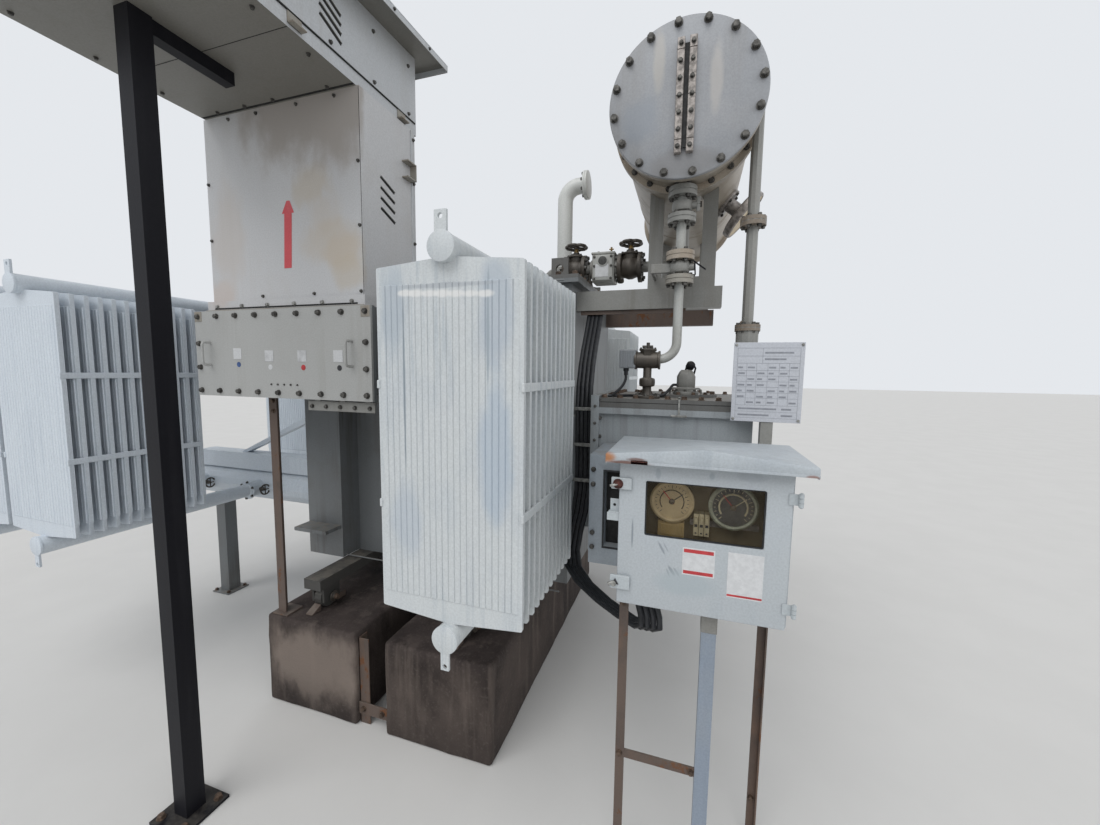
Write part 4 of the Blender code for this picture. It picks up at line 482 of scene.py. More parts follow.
def glass_material():
    """Dusty pane, clear enough to show what is behind it."""
    material, tree, shader = open_material("dusty_pane")
    place = on_object(tree)
    film = noise(tree, place, (1.0, 1.0, 0.5), 9.0, 5.0)
    tint = blend_colours(tree, ramp(tree, film, 0.4, 0.7), (0.09, 0.07, 0.04, 1), (0.15, 0.12, 0.08, 1))
    tree.links.new(tint, shader.inputs["Base Color"])
    tree.links.new(ramp(tree, film, 0.3, 0.75, 0.05, 0.18), shader.inputs["Alpha"])
    shader.inputs["Roughness"].default_value = 0.08
    shader.inputs["IOR"].default_value = 1.5
    return material


weathered_coat_group()
COATS = {
    "radiator": coat("radiator_white", (0.58, 0.61, 0.62), (0.40, 0.45, 0.49), (0.50, 0.54, 0.575), runs=0.6,
                     run_width=60.0, blotches=0.4, rust=0.0, dust=0.2, bump=0.3,
                     spots=on_wall(-1.2275, 0.03,
                                   ((0.760, 1.97, 0.07, 0.22, (0.36, 0.42, 0.48), 0.6),
                                    (1.115, 1.95, 0.08, 0.24, (0.38, 0.44, 0.51), 0.6),
                                    (1.120, 1.55, 0.08, 0.34, (0.38, 0.46, 0.55), 0.6),
                                    (0.800, 1.30, 0.09, 0.20, (0.42, 0.48, 0.55), 0.5),
                                    (0.797, 1.72, 0.007, 0.44, (0.30, 0.35, 0.39), 0.8),
                                    (1.093, 1.88, 0.007, 0.26, (0.30, 0.35, 0.39), 0.8),
                                    (0.942, 2.036, 0.22, 0.012, (0.38, 0.41, 0.44), 0.7),
                                    *((0.800 + 0.047 * step, 2.017 - 0.002 * step, 0.042, 0.016,
                                       (0.76, 0.76, 0.75), 0.85) for step in range(7))))),
    "bank": coat("bank_white", (0.60, 0.655, 0.71), (0.46, 0.52, 0.59), (0.53, 0.585, 0.65), runs=0.4,
                 run_width=40.0, blotches=0.25, rust=0.0, dust=0.15),
    "tap": coat("tap_changer_grey", (0.30, 0.325, 0.34), (0.19, 0.195, 0.195), (0.23, 0.24, 0.245), runs=0.6,
                rust=0.06, dust=0.6),
    "skid": coat("skid_grey", (0.07, 0.068, 0.064), (0.045, 0.040, 0.036), (0.10, 0.085, 0.07), rust=0.3,
                 dust=0.5, shine=0.3),
    "tank": coat("tank_grey", (0.155, 0.165, 0.170), (0.09, 0.085, 0.078), (0.11, 0.10, 0.09), runs=0.7,
                 rust=0.12, dust=0.7),
    "lid": coat("dusty_lid_grey", (0.115, 0.115, 0.11), (0.08, 0.073, 0.066), (0.14, 0.125, 0.105),
                rust=0.18, dust=0.8),
    "cover": coat("cover_grey", (0.415, 0.42, 0.41), (0.31, 0.30, 0.275), (0.36, 0.355, 0.34), runs=0.3,
                  blotches=0.25, rust=0.06, dust=0.4),
    "riser": coat("riser_grey", (0.56, 0.565, 0.575), (0.50, 0.49, 0.475), (0.52, 0.51, 0.50), runs=0.25,
                  blotches=0.35, rust=0.0, dust=0.2, underside_shade=0.6,
                  spots=on_wall(-0.8125, 0.05,
                                ((0.02, 2.59, 0.16, 0.15, (0.50, 0.43, 0.33), 0.5),
                                 (0.08, 2.47, 0.15, 0.17, (0.54, 0.48, 0.41), 0.4),
                                 (0.11, 2.35, 0.22, 0.15, (0.53, 0.46, 0.37), 0.5),
                                 (0.18, 2.29, 0.16, 0.12, (0.53, 0.44, 0.33), 0.4),
                                 (0.21, 2.20, 0.13, 0.11, (0.52, 0.45, 0.35), 0.5),
                                 (-0.59, 2.13, 0.18, 0.12, (0.57, 0.47, 0.41), 0.5),
                                 (-0.50, 2.40, 0.16, 0.35, (0.55, 0.50, 0.46), 0.5),
                                 # last row: the riser's top darkened, partly painted shade under the hood and
                                 # partly grime
                                 (0.05, 2.95, 0.60, 0.42, (0.35, 0.315, 0.285), 0.8)))),
    "hood": coat("hood_grey", (0.52, 0.54, 0.56), (0.42, 0.415, 0.40), (0.46, 0.46, 0.45), runs=0.35,
                 rust=0.03, underside_shade=0.9),
    "drum": coat("drum_grey", (0.300, 0.312, 0.332), (0.23, 0.22, 0.21), (0.35, 0.35, 0.36), runs=0.45,
                 run_width=9.0, blotches=0.4, rust=0.04, dust=0.3,
                 spots=on_wall(-0.5026, 0.03,
                               ((1.50, 3.03, 0.035, 0.16, (0.42, 0.40, 0.37), 0.7),
                                (1.72, 2.93, 0.035, 0.18, (0.44, 0.42, 0.40), 0.7),
                                (1.42, 2.80, 0.12, 0.14, (0.23, 0.26, 0.30), 0.6),
                                (1.60, 2.62, 0.22, 0.08, (0.24, 0.235, 0.235), 0.6)))),
    "shell": coat("drum_underside_grey", (0.38, 0.33, 0.27), (0.22, 0.17, 0.12), (0.27, 0.215, 0.16),
                  runs=0.6, blotches=0.7, rust=0.1, dust=0.2, underside_shade=0.4),
    "pipe": coat("pipe_grey", (0.25, 0.25, 0.235), (0.15, 0.135, 0.115), (0.18, 0.165, 0.145), runs=0.5,
                 rust=0.15),
    "kiosk": coat("kiosk_white", (0.46, 0.50, 0.52), (0.36, 0.41, 0.46), (0.40, 0.46, 0.50), runs=0.35,
                  blotches=0.4, rust=0.02, dust=0.3),
    "roof": coat("kiosk_roof_white", (0.46, 0.50, 0.53), (0.32, 0.36, 0.40), (0.38, 0.42, 0.46),
                 rust_colour=(0.36, 0.13, 0.035), runs=0.5, blotches=0.6, rust=0.02, dust=0.1,
                 spots=(((1.438, -1.100, 1.518), (0.040, 0.05, 0.026), (0.42, 0.16, 0.04), 0.9),
                        ((1.500, -1.1075, 1.505), (0.110, 0.02, 0.010), (0.14, 0.06, 0.04), 0.9),
                        ((1.530, -1.1075, 1.516), (0.045, 0.03, 0.010), (0.16, 0.07, 0.05), 0.8),
                        ((1.998, -1.1050, 1.503), (0.025, 0.03, 0.010), (0.26, 0.13, 0.10), 0.8))),
    "stand": coat("stand_blue_grey", (0.24, 0.285, 0.35), (0.16, 0.19, 0.22), (0.30, 0.32, 0.34), rust=0.15),
    "rusty": coat("rusty_angle", (0.11, 0.08, 0.065), (0.20, 0.10, 0.05), (0.07, 0.055, 0.048), blotches=0.8,
                  rust=0.6, gloss=0.62, bump=0.5),
    "iron": coat("oily_iron", (0.066, 0.057, 0.048), (0.04, 0.034, 0.030), (0.12, 0.10, 0.08), blotches=0.6,
                 rust=0.3, gloss=0.42, metal=0.35, bump=0.5),
    "black": coat("black_post_paint", (0.010, 0.010, 0.013), (0.022, 0.022, 0.025), (0.015, 0.015, 0.018),
                  rust=0.05, gloss=0.45, dust=0.2, shine=0.15),
    "vent": coat("vent_white", (0.70, 0.715, 0.69), (0.50, 0.49, 0.46), (0.54, 0.54, 0.53), runs=0.4,
                 rust=0.04),
    "relay": coat("relay_grey", (0.44, 0.45, 0.43), (0.30, 0.275, 0.24), (0.34, 0.33, 0.30), runs=0.5,
                  blotches=0.5, rust=0.12),
    "plate": coat("rating_plate_metal", (0.52, 0.54, 0.585), (0.45, 0.465, 0.49), (0.48, 0.49, 0.51),
                  runs=0.2, blotches=0.25, rust=0.0, dust=0.1, gloss=0.34, bump=0.08),
    "concrete": concrete_material(),
    "glass": glass_material(),
    "bolt": plain("weathered_bolt", (0.13, 0.125, 0.115), 0.5, 0.5, 0.3),
    "rusted_bolt": plain("rusted_bolt", (0.155, 0.105, 0.075), 0.65, 0.25, 0.35, 45.0),
    "kiosk_dark": coat("terminal_box_grey", (0.20, 0.215, 0.23), (0.13, 0.135, 0.14), (0.16, 0.165, 0.17),
                       rust=0.05),
    "kiosk_door": coat("kiosk_door_white", (0.46, 0.495, 0.52), (0.40, 0.45, 0.48), (0.42, 0.46, 0.50),
                       runs=0.3, blotches=0.3, rust=0.0, dust=0.2,
                       spots=on_wall(-1.0625, 0.05,
                                     ((1.609, 1.234, 0.006, 0.034, (0.24, 0.27, 0.30), 0.8, -0.50),
                                      (1.621, 1.240, 0.004, 0.026, (0.28, 0.31, 0.34), 0.7, -0.50),
                                      (1.640, 1.168, 0.007, 0.026, (0.24, 0.27, 0.30), 0.8, -0.62),
                                      (1.655, 1.166, 0.005, 0.022, (0.26, 0.29, 0.32), 0.7, -0.62),
                                      (1.630, 1.160, 0.004, 0.018, (0.27, 0.30, 0.33), 0.7, -0.40),
                                      (1.517, 1.272, 0.005, 0.070, (0.24, 0.27, 0.30), 0.9),
                                      (1.590, 1.470, 0.012, 0.025, (0.30, 0.34, 0.38), 0.6),
                                      (1.745, 1.475, 0.014, 0.022, (0.28, 0.32, 0.36), 0.6),
                                      (1.850, 1.482, 0.060, 0.020, (0.36, 0.39, 0.42), 0.6),
                                      (1.680, 1.130, 0.120, 0.060, (0.38, 0.44, 0.47), 0.6)))),
    "red_brown": plain("red_brown_rust", (0.10, 0.028, 0.020), 0.75, 0.0, 0.35, 80.0),
    "brown_ink": plain("brown_ink", (0.11, 0.085, 0.055), 0.5),
    "faint_ink": plain("faint_ink", (0.29, 0.305, 0.34), 0.5, 0.0, 0.1),
    "ochre": plain("ochre_case", (0.40, 0.28, 0.11), 0.5, 0.0, 0.1, 20.0),
    "drive": coat("drive_cabinet_grey", (0.33, 0.37, 0.41), (0.25, 0.27, 0.29), (0.27, 0.30, 0.32),
                  rust=0.03, dust=0.4),
    "pipe_brown": coat("rusty_flange_paint", (0.20, 0.165, 0.13), (0.12, 0.08, 0.055), (0.15, 0.11, 0.08),
                       blotches=0.7, rust=0.35, bump=0.4),
    "pale_bolt": plain("pale_bolt", (0.36, 0.36, 0.34), 0.45, 0.3, 0.25),
    "gauge_metal": plain("gauge_metal", (0.37, 0.335, 0.31), 0.45, 0.3, 0.25),
    "brass": plain("dull_brass", (0.33, 0.22, 0.09), 0.4, 0.8, 0.25),
    # near-black: dark joints and gauge glass, and painted shade in louvre slots, along the riser's foot,
    # under the kiosk roof and inside the drive cabinet
    "gap": plain("dark_gap_and_shade", (0.012, 0.012, 0.012), 0.7),
    "rubber": plain("black_sheath", (0.022, 0.024, 0.028), 0.5, 0.0, 0.2),
    "grey_sheath": plain("grey_sheath", (0.20, 0.20, 0.19), 0.55),
    "red": plain("faded_red", (0.52, 0.045, 0.05), 0.55, 0.0, 0.12, 25.0),
    "blue": plain("faded_blue", (0.06, 0.12, 0.30), 0.55),
    "label": plain("label_white", (0.66, 0.67, 0.68), 0.4, 0.0, 0.06),
    "ink": plain("ink_black", (0.03, 0.03, 0.035), 0.5),
    "cream": plain("cream_plastic", (0.58, 0.50, 0.32), 0.45, 0.0, 0.1),
    "dial": plain("dial_cream", (0.52, 0.40, 0.22), 0.4, 0.0, 0.08, 18.0),
    "dark_dial": plain("dial_dark", (0.05, 0.05, 0.045), 0.25, 0.0, 0.15),
    "bezel": plain("bezel_green_grey", (0.32, 0.33, 0.24), 0.3, 0.3, 0.15),
    "stained": coat("rust_stained_strip", (0.30, 0.285, 0.25), (0.24, 0.14, 0.08), (0.22, 0.17, 0.12),
                    blotches=0.6, rust_colour=(0.20, 0.085, 0.035), rust=0.35, bump=0.4),
    "label_worn": coat("worn_label_white", (0.60, 0.61, 0.62), (0.42, 0.43, 0.44), (0.10, 0.10, 0.11),
                       runs=0.2, blotches=0.55, rust=0.0, dust=0.0, gloss=0.4),
    "red_paint": coat("arrow_red", (0.60, 0.075, 0.09), (0.62, 0.25, 0.26), (0.62, 0.20, 0.22), runs=0.35,
                      blotches=0.4, rust=0.0, dust=0.0, gloss=0.5),
    "inside": plain("kiosk_inside", (0.19, 0.15, 0.09), 0.6, 0.0, 0.12, 12.0),
}

NODE_COATS = {
    "concrete": ("plinth_left", "plinth_right"),
    "tank": ("tank", "lv_terminal_box", "hv_terminal_box", "bank_leg"),
    "tap": ("tap_changer_tank",),
    "skid": ("skid_left", "skid_right"),
    "drive": ("drive_cabinet",),
    "riser": ("riser_box",),
    "lid": ("tank_cover", "tap_changer_lid"),
    "bank": ("manifold_high", "manifold_low", "bank_beam", "radiator_side_front_1", "radiator_side_front_2",
             "radiator_side_back_1", "radiator_side_back_2"),
    "radiator": ("radiator_front", "radiator_back"),
    "cover": ("lv_box_cover", "hv_box_cover"),
    "hood": ("hood_duct", "hood_roof"),
    "black": ("hood_post",),
    "rusty": ("lv_box_leg", "kiosk_front_leg", "kiosk_back_leg", "support_beam_back"),
    "drum": ("conservator_cover",),
    "shell": ("conservator_drum",),
    "gauge_metal": ("oil_level_gauge", "dial_gauge"),
    "pipe": ("support_beam_front", "saddle_front", "saddle_back", "surge_pipe", "surge_relay",
             "breather_pipe", "breather_pipe_small", "plate_post", "gas_relay"),
    "iron": ("oil_pipe", "valve_wheel_left", "valve_wheel_right", "relief_valve"),
    "vent": ("vent_pipe",),
    "kiosk": ("kiosk_shell", "kiosk_door"),
    "roof": ("kiosk_roof",),
    "stand": ("kiosk_post",),
    "inside": ("gauge_panel",),
    "glass": ("kiosk_window",),
    "plate": ("rating_plate",),
    "rubber": ("cable_bundle",),
}


def coat_nodes():
    """Give every CAD node its coat."""
    for name, nodes in NODE_COATS.items():
        for node in nodes:
            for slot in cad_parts[node].material_slots:
                slot.material = COATS[name]


# Floor, light and world
def set_stage():
    put_down()
    bpy.ops.mesh.primitive_plane_add(size=120, location=(0, 0, -0.0005))
    floor = bpy.context.object
    floor.name = "floor"
    floor.data.materials.append(plain("pale_floor", (0.70, 0.69, 0.67), 0.8, 0.0, 0.01, 2.0))
    world = bpy.data.worlds.new("sky")
    bpy.context.scene.world = world
    world.use_nodes = True
    tree = world.node_tree
    ground = tree.nodes["Background"]
    ground.inputs["Color"].default_value = (0.93, 0.96, 1.0, 1)
    path = put(tree, "ShaderNodeLightPath")
    seen = sums(tree, "MAXIMUM", path.outputs["Is Camera Ray"], path.outputs["Is Glossy Ray"])
    seen = sums(tree, "MAXIMUM", seen, path.outputs["Is Transmission Ray"])
    tree.links.new(ramp(tree, seen, 0.0, 1.0, 0.50, 0.84), ground.inputs["Strength"])
    for name, direction, strength, spread in (
        ("sky_light", (0.15, 0.62, -0.80), 1.45, 50), ("low_fill", (-0.75, 0.4, -0.25), 0.70, 60)
    ):
        lamp = bpy.data.lights.new(name, "SUN")
        lamp.energy = strength
        lamp.angle = math.radians(spread)
        holder = bpy.data.objects.new(name, lamp)
        holder.rotation_mode = "QUATERNION"
        holder.rotation_quaternion = Vector(direction).to_track_quat("-Z", "Y")
        bpy.context.scene.collection.objects.link(holder)
    bpy.context.scene.view_settings.view_transform = "Standard"


place_camera()
set_stage()
coat_nodes()


# Shared helpers of the object's small parts
def corners(node):
    low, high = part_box(node)
    return Vector(low), Vector(high)


def inside(node, x, y, z):
    """Point at the given shares of a node's box."""
    low, high = corners(node)
    return Vector(low[i] + (high[i] - low[i]) * share for i, share in enumerate((x, y, z)))


def stepped_round(name, steps, sides=48, bevel=0.0):
    """A round piece on the origin along Z: steps are (radius, height) pairs from its foot up."""
    put_down()
    first, foot = steps[0]
    bpy.ops.mesh.primitive_circle_add(vertices=sides, radius=first, fill_type="NGON", location=(0, 0, foot))
    piece = bpy.context.object
    piece.name = name
    settle(piece)
    open_edit()
    select_everything()
    for (old, low), (new, high) in zip(steps, steps[1:]):
        bpy.ops.mesh.extrude_region_move(TRANSFORM_OT_translate={"value": (0, 0, high - low)})
        if new != old:
            bpy.ops.transform.resize(value=(new / old, new / old, 1))
    select_everything()
    bpy.ops.mesh.normals_make_consistent(inside=False)
    close_edit()
    if bevel:
        soften(piece, bevel, 2, 50)
    return smooth(piece)


def stand(piece, place, direction, roll=0.0):
    """Move a piece from the origin along Z to its place and direction."""
    piece.data.transform(pointing(place, direction, roll))
    return piece


def turned(name, steps, place, way, sides=48, bevel=0.0, roll=0.0):
    """A stepped round piece at its place, standing in a direction."""
    return stand(stepped_round(name, steps, sides, bevel), place, way, roll)


def finish_joined(name, parts, coat_name, body=BODY):
    """Join parts into one finished piece."""
    return finish_piece(join(name, parts), coat_name, body)


def shift(place, x, y, z):
    """A place moved by three lengths."""
    return place + Vector((x, y, z))


def part_way(low, high, share):
    """A number at a share of the way between two others."""
    return low + (high - low) * share


def hexagon_bolt(across):
    """A bolt head on its washer, with a slightly rounded crown."""
    washer = round_bar("washer", (0, 0, 0), (0, 0, across * 0.14), across * 0.72, sides=12)
    put_down()
    bpy.ops.mesh.primitive_cylinder_add(vertices=6, radius=across * 0.577, depth=across * 0.55)
    head = bpy.context.object
    head.data.transform(Matrix.Translation((0, 0, across * 0.41)))
    open_edit()
    select_faces(head, lambda face: face.normal.z > 0.9)
    bpy.ops.mesh.inset(thickness=across * 0.09, depth=across * 0.06)
    close_edit()
    return join("bolt", [head, washer])


def bolts(name, places, direction, across=0.018, coat_name="bolt", body=BODY):
    """One piece with a bolt at each place. direction is one for all, or a list."""
    model = hexagon_bolt(across)
    directions = direction if isinstance(direction, list) else [direction] * len(places)
    spots = [pointing(place, way, 0.7 * count) for count, (place, way) in enumerate(zip(places, directions))]
    made = copies(model, spots)
    throw_away(model)
    return finish_joined(name, made, coat_name, body)


def circle_places(centre, direction, radius, count, start=0.0):
    """Places evenly round a circle."""
    frame_of = pointing(centre, direction)
    angles = [start + 2 * math.pi * step / count for step in range(count)]
    return [frame_of @ Vector((radius * math.cos(angle), radius * math.sin(angle), 0)) for angle in angles]


def row_places(start, end, count):
    """Places evenly from one end to the other, with both ends."""
    return [Vector(start).lerp(Vector(end), step / (count - 1)) for step in range(count)]


def rim_places(low, high, z, counts, inset=0.0):
    """Places along the four sides of a flat rectangle at one height."""
    x = (low[0] + inset, high[0] - inset)
    y = (low[1] + inset, high[1] - inset)
    front = row_places((x[0], y[0], z), (x[1], y[0], z), counts[0])
    back = row_places((x[0], y[1], z), (x[1], y[1], z), counts[0])
    left = row_places((x[0], y[0], z), (x[0], y[1], z), counts[1])[1:-1]
    right = row_places((x[1], y[0], z), (x[1], y[1], z), counts[1])[1:-1]
    return front + back + left + right


def bolted_flange(name, centre, direction, radius, thickness, count, across, coat_name):
    """A round flange pair about a pipe, with a gasket line, bolts on one side and nuts on the other."""
    way = Vector(direction).normalized()
    centre = Vector(centre)
    half = thickness / 2
    steps = [(radius, -half), (radius, -0.0015), (radius * 0.95, -0.0015), (radius * 0.95, 0.0015),
             (radius, 0.0015), (radius, half)]
    disc = finish_piece(turned(name, steps, centre, way, 40), coat_name)
    rim = radius - across * 0.85
    over = circle_places(centre + way * half, way, rim, count)
    under = circle_places(centre - way * half, way, rim, count)
    bolts(name + "_bolts", over + under, [way] * count + [-way] * count, across)
    return disc


# Radiators
PLATE_COUNT = 12
PLATE_THICKNESS = 0.024
PLATE_CROWN = 0.022
PLATE_BORDER = 0.055
EDGE_BORDER = 0.013
FLUTES = 22
FLUTE_RISE = 0.0035
HEADER_RADIUS = 0.0445
LUG_END = 0.1045
HEADER_TO_SHOULDER = (0.061, 0.045)
HEADER_TIP = 0.03
STACK_DEPTH = 0.585
BRACE_HALF = 0.005
BRACE_PROUD = 0.0035
BRACE_HEIGHTS = (1.331, 1.729)


def pressed_plate(width, low, high):
    """One pressed plate on the origin: flutes on both faces between plain borders, with rounded edges."""
    body = PLATE_THICKNESS / 2 - FLUTE_RISE
    half = width / 2
    plate = block("plate", (-half, -body, low), (half, body, high))
    open_edit()
    pitch = (width - 2 * EDGE_BORDER) / FLUTES
    for count in range(FLUTES + 1):
        cut_across((-half + EDGE_BORDER + pitch * count, 0, 0), RIGHT)
    for z in (low + PLATE_BORDER, high - PLATE_BORDER):
        cut_across((0, 0, z), UP)
    mesh = bmesh.from_edit_mesh(plate.data)
    for vert in mesh.verts:
        rise = PLATE_CROWN * (1 - abs(vert.co.x) / half)
        if vert.co.z > high - PLATE_BORDER / 2:
            vert.co.z += rise
        if vert.co.z < low + PLATE_BORDER / 2:
            vert.co.z -= rise
    bmesh.update_edit_mesh(plate.data)
    select_edges(plate, lambda edge: all(abs(abs(vert.co.x) - half) < 0.001 for vert in edge.verts)
                 and abs(edge.verts[0].co.y - edge.verts[1].co.y) > body
                 and not low + 0.01 < edge.verts[0].co.z < high - 0.01)
    bevel_edges(0.022, 4)
    select_edges(plate, lambda edge: len(edge.link_faces) == 2
                 and sorted(abs(face.normal.y) > 0.5 for face in edge.link_faces) == [False, True])
    bevel_edges(0.0055, 2)
    select_faces(plate, lambda face: abs(face.normal.y) > 0.9
                 and abs(face.calc_center_median().x) < half - EDGE_BORDER
                 and low + PLATE_BORDER < face.calc_center_median().z < high - PLATE_BORDER)
    bpy.ops.mesh.inset(thickness=0.0028, depth=FLUTE_RISE, use_individual=True)
    close_edit()
    return smooth(plate, 30)


def plate_stack(width, low, high):
    """All plates of a radiator on the origin, going along Y, with the braces on both sides."""
    model = pressed_plate(width - 2 * BRACE_PROUD, low, high)
    pitch = (STACK_DEPTH - PLATE_THICKNESS) / (PLATE_COUNT - 1)
    spots = [Matrix.Translation((0, PLATE_THICKNESS / 2 + pitch * count, 0)) for count in range(PLATE_COUNT)]
    plates = copies(model, spots)
    throw_away(model)
    for z in BRACE_HEIGHTS:
        for hand in (-1, 1):
            middle = hand * (width / 2 - BRACE_HALF)
            low_corner = (middle - BRACE_HALF, 0.004, z - 0.014)
            high_corner = (middle + BRACE_HALF, STACK_DEPTH + 0.002, z + 0.014)
            plates.append(block("brace", low_corner, high_corner, 0.003))
    return join("plates", plates)


def lifting_lug(width, height, hole):
    """A flat lug on the origin, standing along Z, with rounded top corners and a hole."""
    lug = block("lug", (-width / 2, -0.005, -0.02), (width / 2, 0.005, height))
    open_edit()
    select_edges(lug, lambda edge: all(vert.co.z > height / 2 for vert in edge.verts)
                 and abs(edge.verts[0].co.y - edge.verts[1].co.y) > 0.005)
    bevel_edges(width * 0.36, 5)
    close_edit()
    cutter = round_bar("lug_cutter", (0, -0.02, height - width * 0.45), (0, 0.02, height - width * 0.45),
                       hole)
    drill(lug, [cutter])
    soften(lug, 0.001, 1, 40)
    return smooth(lug)


def dress_radiator(node, outward, coat_name):
    """Detailed radiator in place of a plain one: plates, headers, lugs and bolted flanges."""
    low, high = corners(node)
    middle = (low.x + high.x) / 2
    headers = (low.z + LUG_END, high.z - LUG_END)
    tip, seat = (low.y, high.y) if outward < 0 else (high.y, low.y)
    face = tip - outward * HEADER_TIP
    stack = plate_stack(high.x - low.x, headers[0] + HEADER_TO_SHOULDER[0],
                        headers[1] - HEADER_TO_SHOULDER[1])
    turn = Matrix.Translation((middle, face - outward * STACK_DEPTH, 0))
    if outward < 0:
        turn = turn @ Matrix.Rotation(math.pi, 4, "Z")
    stack.data.transform(turn)
    stack.name = node + "_plates"
    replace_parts(finish_piece(stack, coat_name), node)
    parts = []
    for z in headers:
        start = Vector((middle, seat, z))
        reach = abs(tip - seat)
        steps = [(0.064, 0.001), (0.064, 0.014), (0.053, 0.014), (0.053, 0.020), (HEADER_RADIUS, 0.026),
                 (HEADER_RADIUS, reach - 0.012), (HEADER_RADIUS + 0.002, reach - 0.010),
                 (HEADER_RADIUS + 0.002, reach - 0.001)]
        parts.append(turned("header", steps, start, (0, outward, 0), 40, 0.001))
    near = face - outward * STACK_DEPTH
    front_lug = Matrix.Translation((middle, tip - outward * 0.007, headers[1] + HEADER_RADIUS))
    rear_lug = Matrix.Translation((middle, near + outward * 0.01, headers[1] + HEADER_RADIUS))
    low_lug = Matrix.Translation((middle, tip - outward * 0.007,
                                  headers[0] - HEADER_RADIUS)) @ Matrix.Rotation(math.pi, 4, "Y")
    for place, width, hole in ((front_lug, 0.042, 0.008), (rear_lug, 0.052, 0.015), (low_lug, 0.030, 0.008)):
        lug = lifting_lug(width, 0.0595, hole)
        lug.data.transform(place)
        parts.append(lug)
    plug_place = Vector((middle, near + outward * 0.07, headers[1] + HEADER_RADIUS - 0.004))
    parts.append(turned("plug", [(0.014, 0), (0.014, 0.012), (0.009, 0.012), (0.009, 0.019)], plug_place, UP,
                        12, 0.001))
    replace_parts(finish_joined(node + "_headers", parts, coat_name), node)
    spots = []
    for z in headers:
        spots += circle_places((middle, seat + outward * 0.014, z), (0, outward, 0), 0.0585, 6, 0.4)
    bolts(node + "_bolts", spots, (0, outward, 0), 0.013)


dress_radiator("radiator_front", -1, "radiator")
dress_radiator("radiator_back", 1, "radiator")
for row, outward in (("front", -1), ("back", 1)):
    for column in ("1", "2"):
        dress_radiator(f"radiator_side_{row}_{column}", outward, "bank")


# Terminal boxes
COVER_EDGE = 0.026


def cover_bolts(name, low, high, y, way):
    """Bolts round the edge of a terminal box's cover."""
    left, right = low.x + COVER_EDGE, high.x - COVER_EDGE
    places = []
    for z in (high.z - COVER_EDGE, low.z + COVER_EDGE):
        places += row_places((left, y, z), (right, y, z), 9)
    places += [(x, y, part_way(low.z, high.z, share)) for x in (left, right) for share in (0.34, 0.62)]
    bolts(name, places, way, 0.019)


# Low voltage box: cover bolts, gasket, label plates and their dots
def dress_lv_box():
    low, high = corners("lv_box_cover")
    face = high.y - 0.012
    edge = COVER_EDGE
    cover_bolts("lv_cover_bolts", low, high, face, FRONT)
    corner_plates = []
    for x in (low.x + edge, high.x - edge):
        start = (x - 0.024, face - 0.0022, high.z - edge - 0.024)
        corner_plates.append(block("corner_plate", start, (x + 0.024, face + 0.001, high.z - edge + 0.024),
                                   0.001, 1))
    finish_joined("lv_cover_corner_plates", corner_plates, "stained")
    plates = []
    dots = {}
    spots = ((0.263, 0.50, "blue"), (0.453, 0.475, "label"), (0.640, 0.475, "red"), (0.833, 0.475, "ink"))
    for across, up, tint in spots:
        x = part_way(low.x, high.x, across)
        z = part_way(low.z, high.z, up)
        plates.append(block("label", (x - 0.026, face - 0.0018, z - 0.026),
                            (x + 0.026, face + 0.0005, z + 0.026), 0.0008, 1))
        dot = round_bar("dot", (x + 0.006, face - 0.0012, z - 0.052), (x + 0.006, face + 0.0005, z - 0.052),
                        0.0125, 20)
        dots[tint] = dot
    finish_joined("lv_label_plates", plates, "label_worn")
    for tint, dot in dots.items():
        dot.name = "lv_phase_dot_" + tint
        finish_piece(dot, tint)
    studs = [(part_way(low.x, high.x, 0.46 + 0.037 * count), face, part_way(low.z, high.z, 0.155))
             for count in range(5)]
    bolts("lv_cover_screws", studs, FRONT, 0.007)
    gasket = block("lv_gasket", (low.x + 0.004, high.y - 0.0022, low.z + 0.004),
                   shift(high, -0.004, 0.002, -0.004), 0.0005, 1)
    finish_piece(gasket, "gap")


# Riser and hood
LOUVRE_SLOPE = -0.38


def arrow_on_riser():
    """Flow arrow painted on the riser's front."""
    front = corners("riser_box")[0].y + 0.018
    put_down()
    bpy.ops.mesh.primitive_plane_add(size=1, location=(0, 0, 0))
    arrow = bpy.context.object
    arrow.name = "flow_arrow"
    bottom, top = inside("riser_box", 0.535, 0, 0.208), inside("riser_box", 0.552, 0, 0.535)
    mesh = bmesh.new()
    half, wide, neck = 0.022, 0.036, 0.055
    outline = [(-half, 0), (half, 0), (half, 1), (wide, 1), (half * 0.4, 2), (-half * 0.4, 2), (-wide, 1),
               (-half, 1)]
    length = top.z - bottom.z
    lean = (bottom.x - top.x) / length
    corners_of = []
    for x, row in outline:
        z = (0, length - neck, length)[row]
        corners_of.append(mesh.verts.new((bottom.x + x - lean * z, front - 0.0006, bottom.z + z)))
    mesh.faces.new(corners_of)
    bmesh.ops.recalc_face_normals(mesh, faces=mesh.faces)
    for face in mesh.faces:
        if face.normal.y > 0:
            face.normal_flip()
    mesh.to_mesh(arrow.data)
    mesh.free()
    use_modifier(arrow, "SOLIDIFY", thickness=0.0008, offset=1)
    finish_piece(arrow, "red_paint")


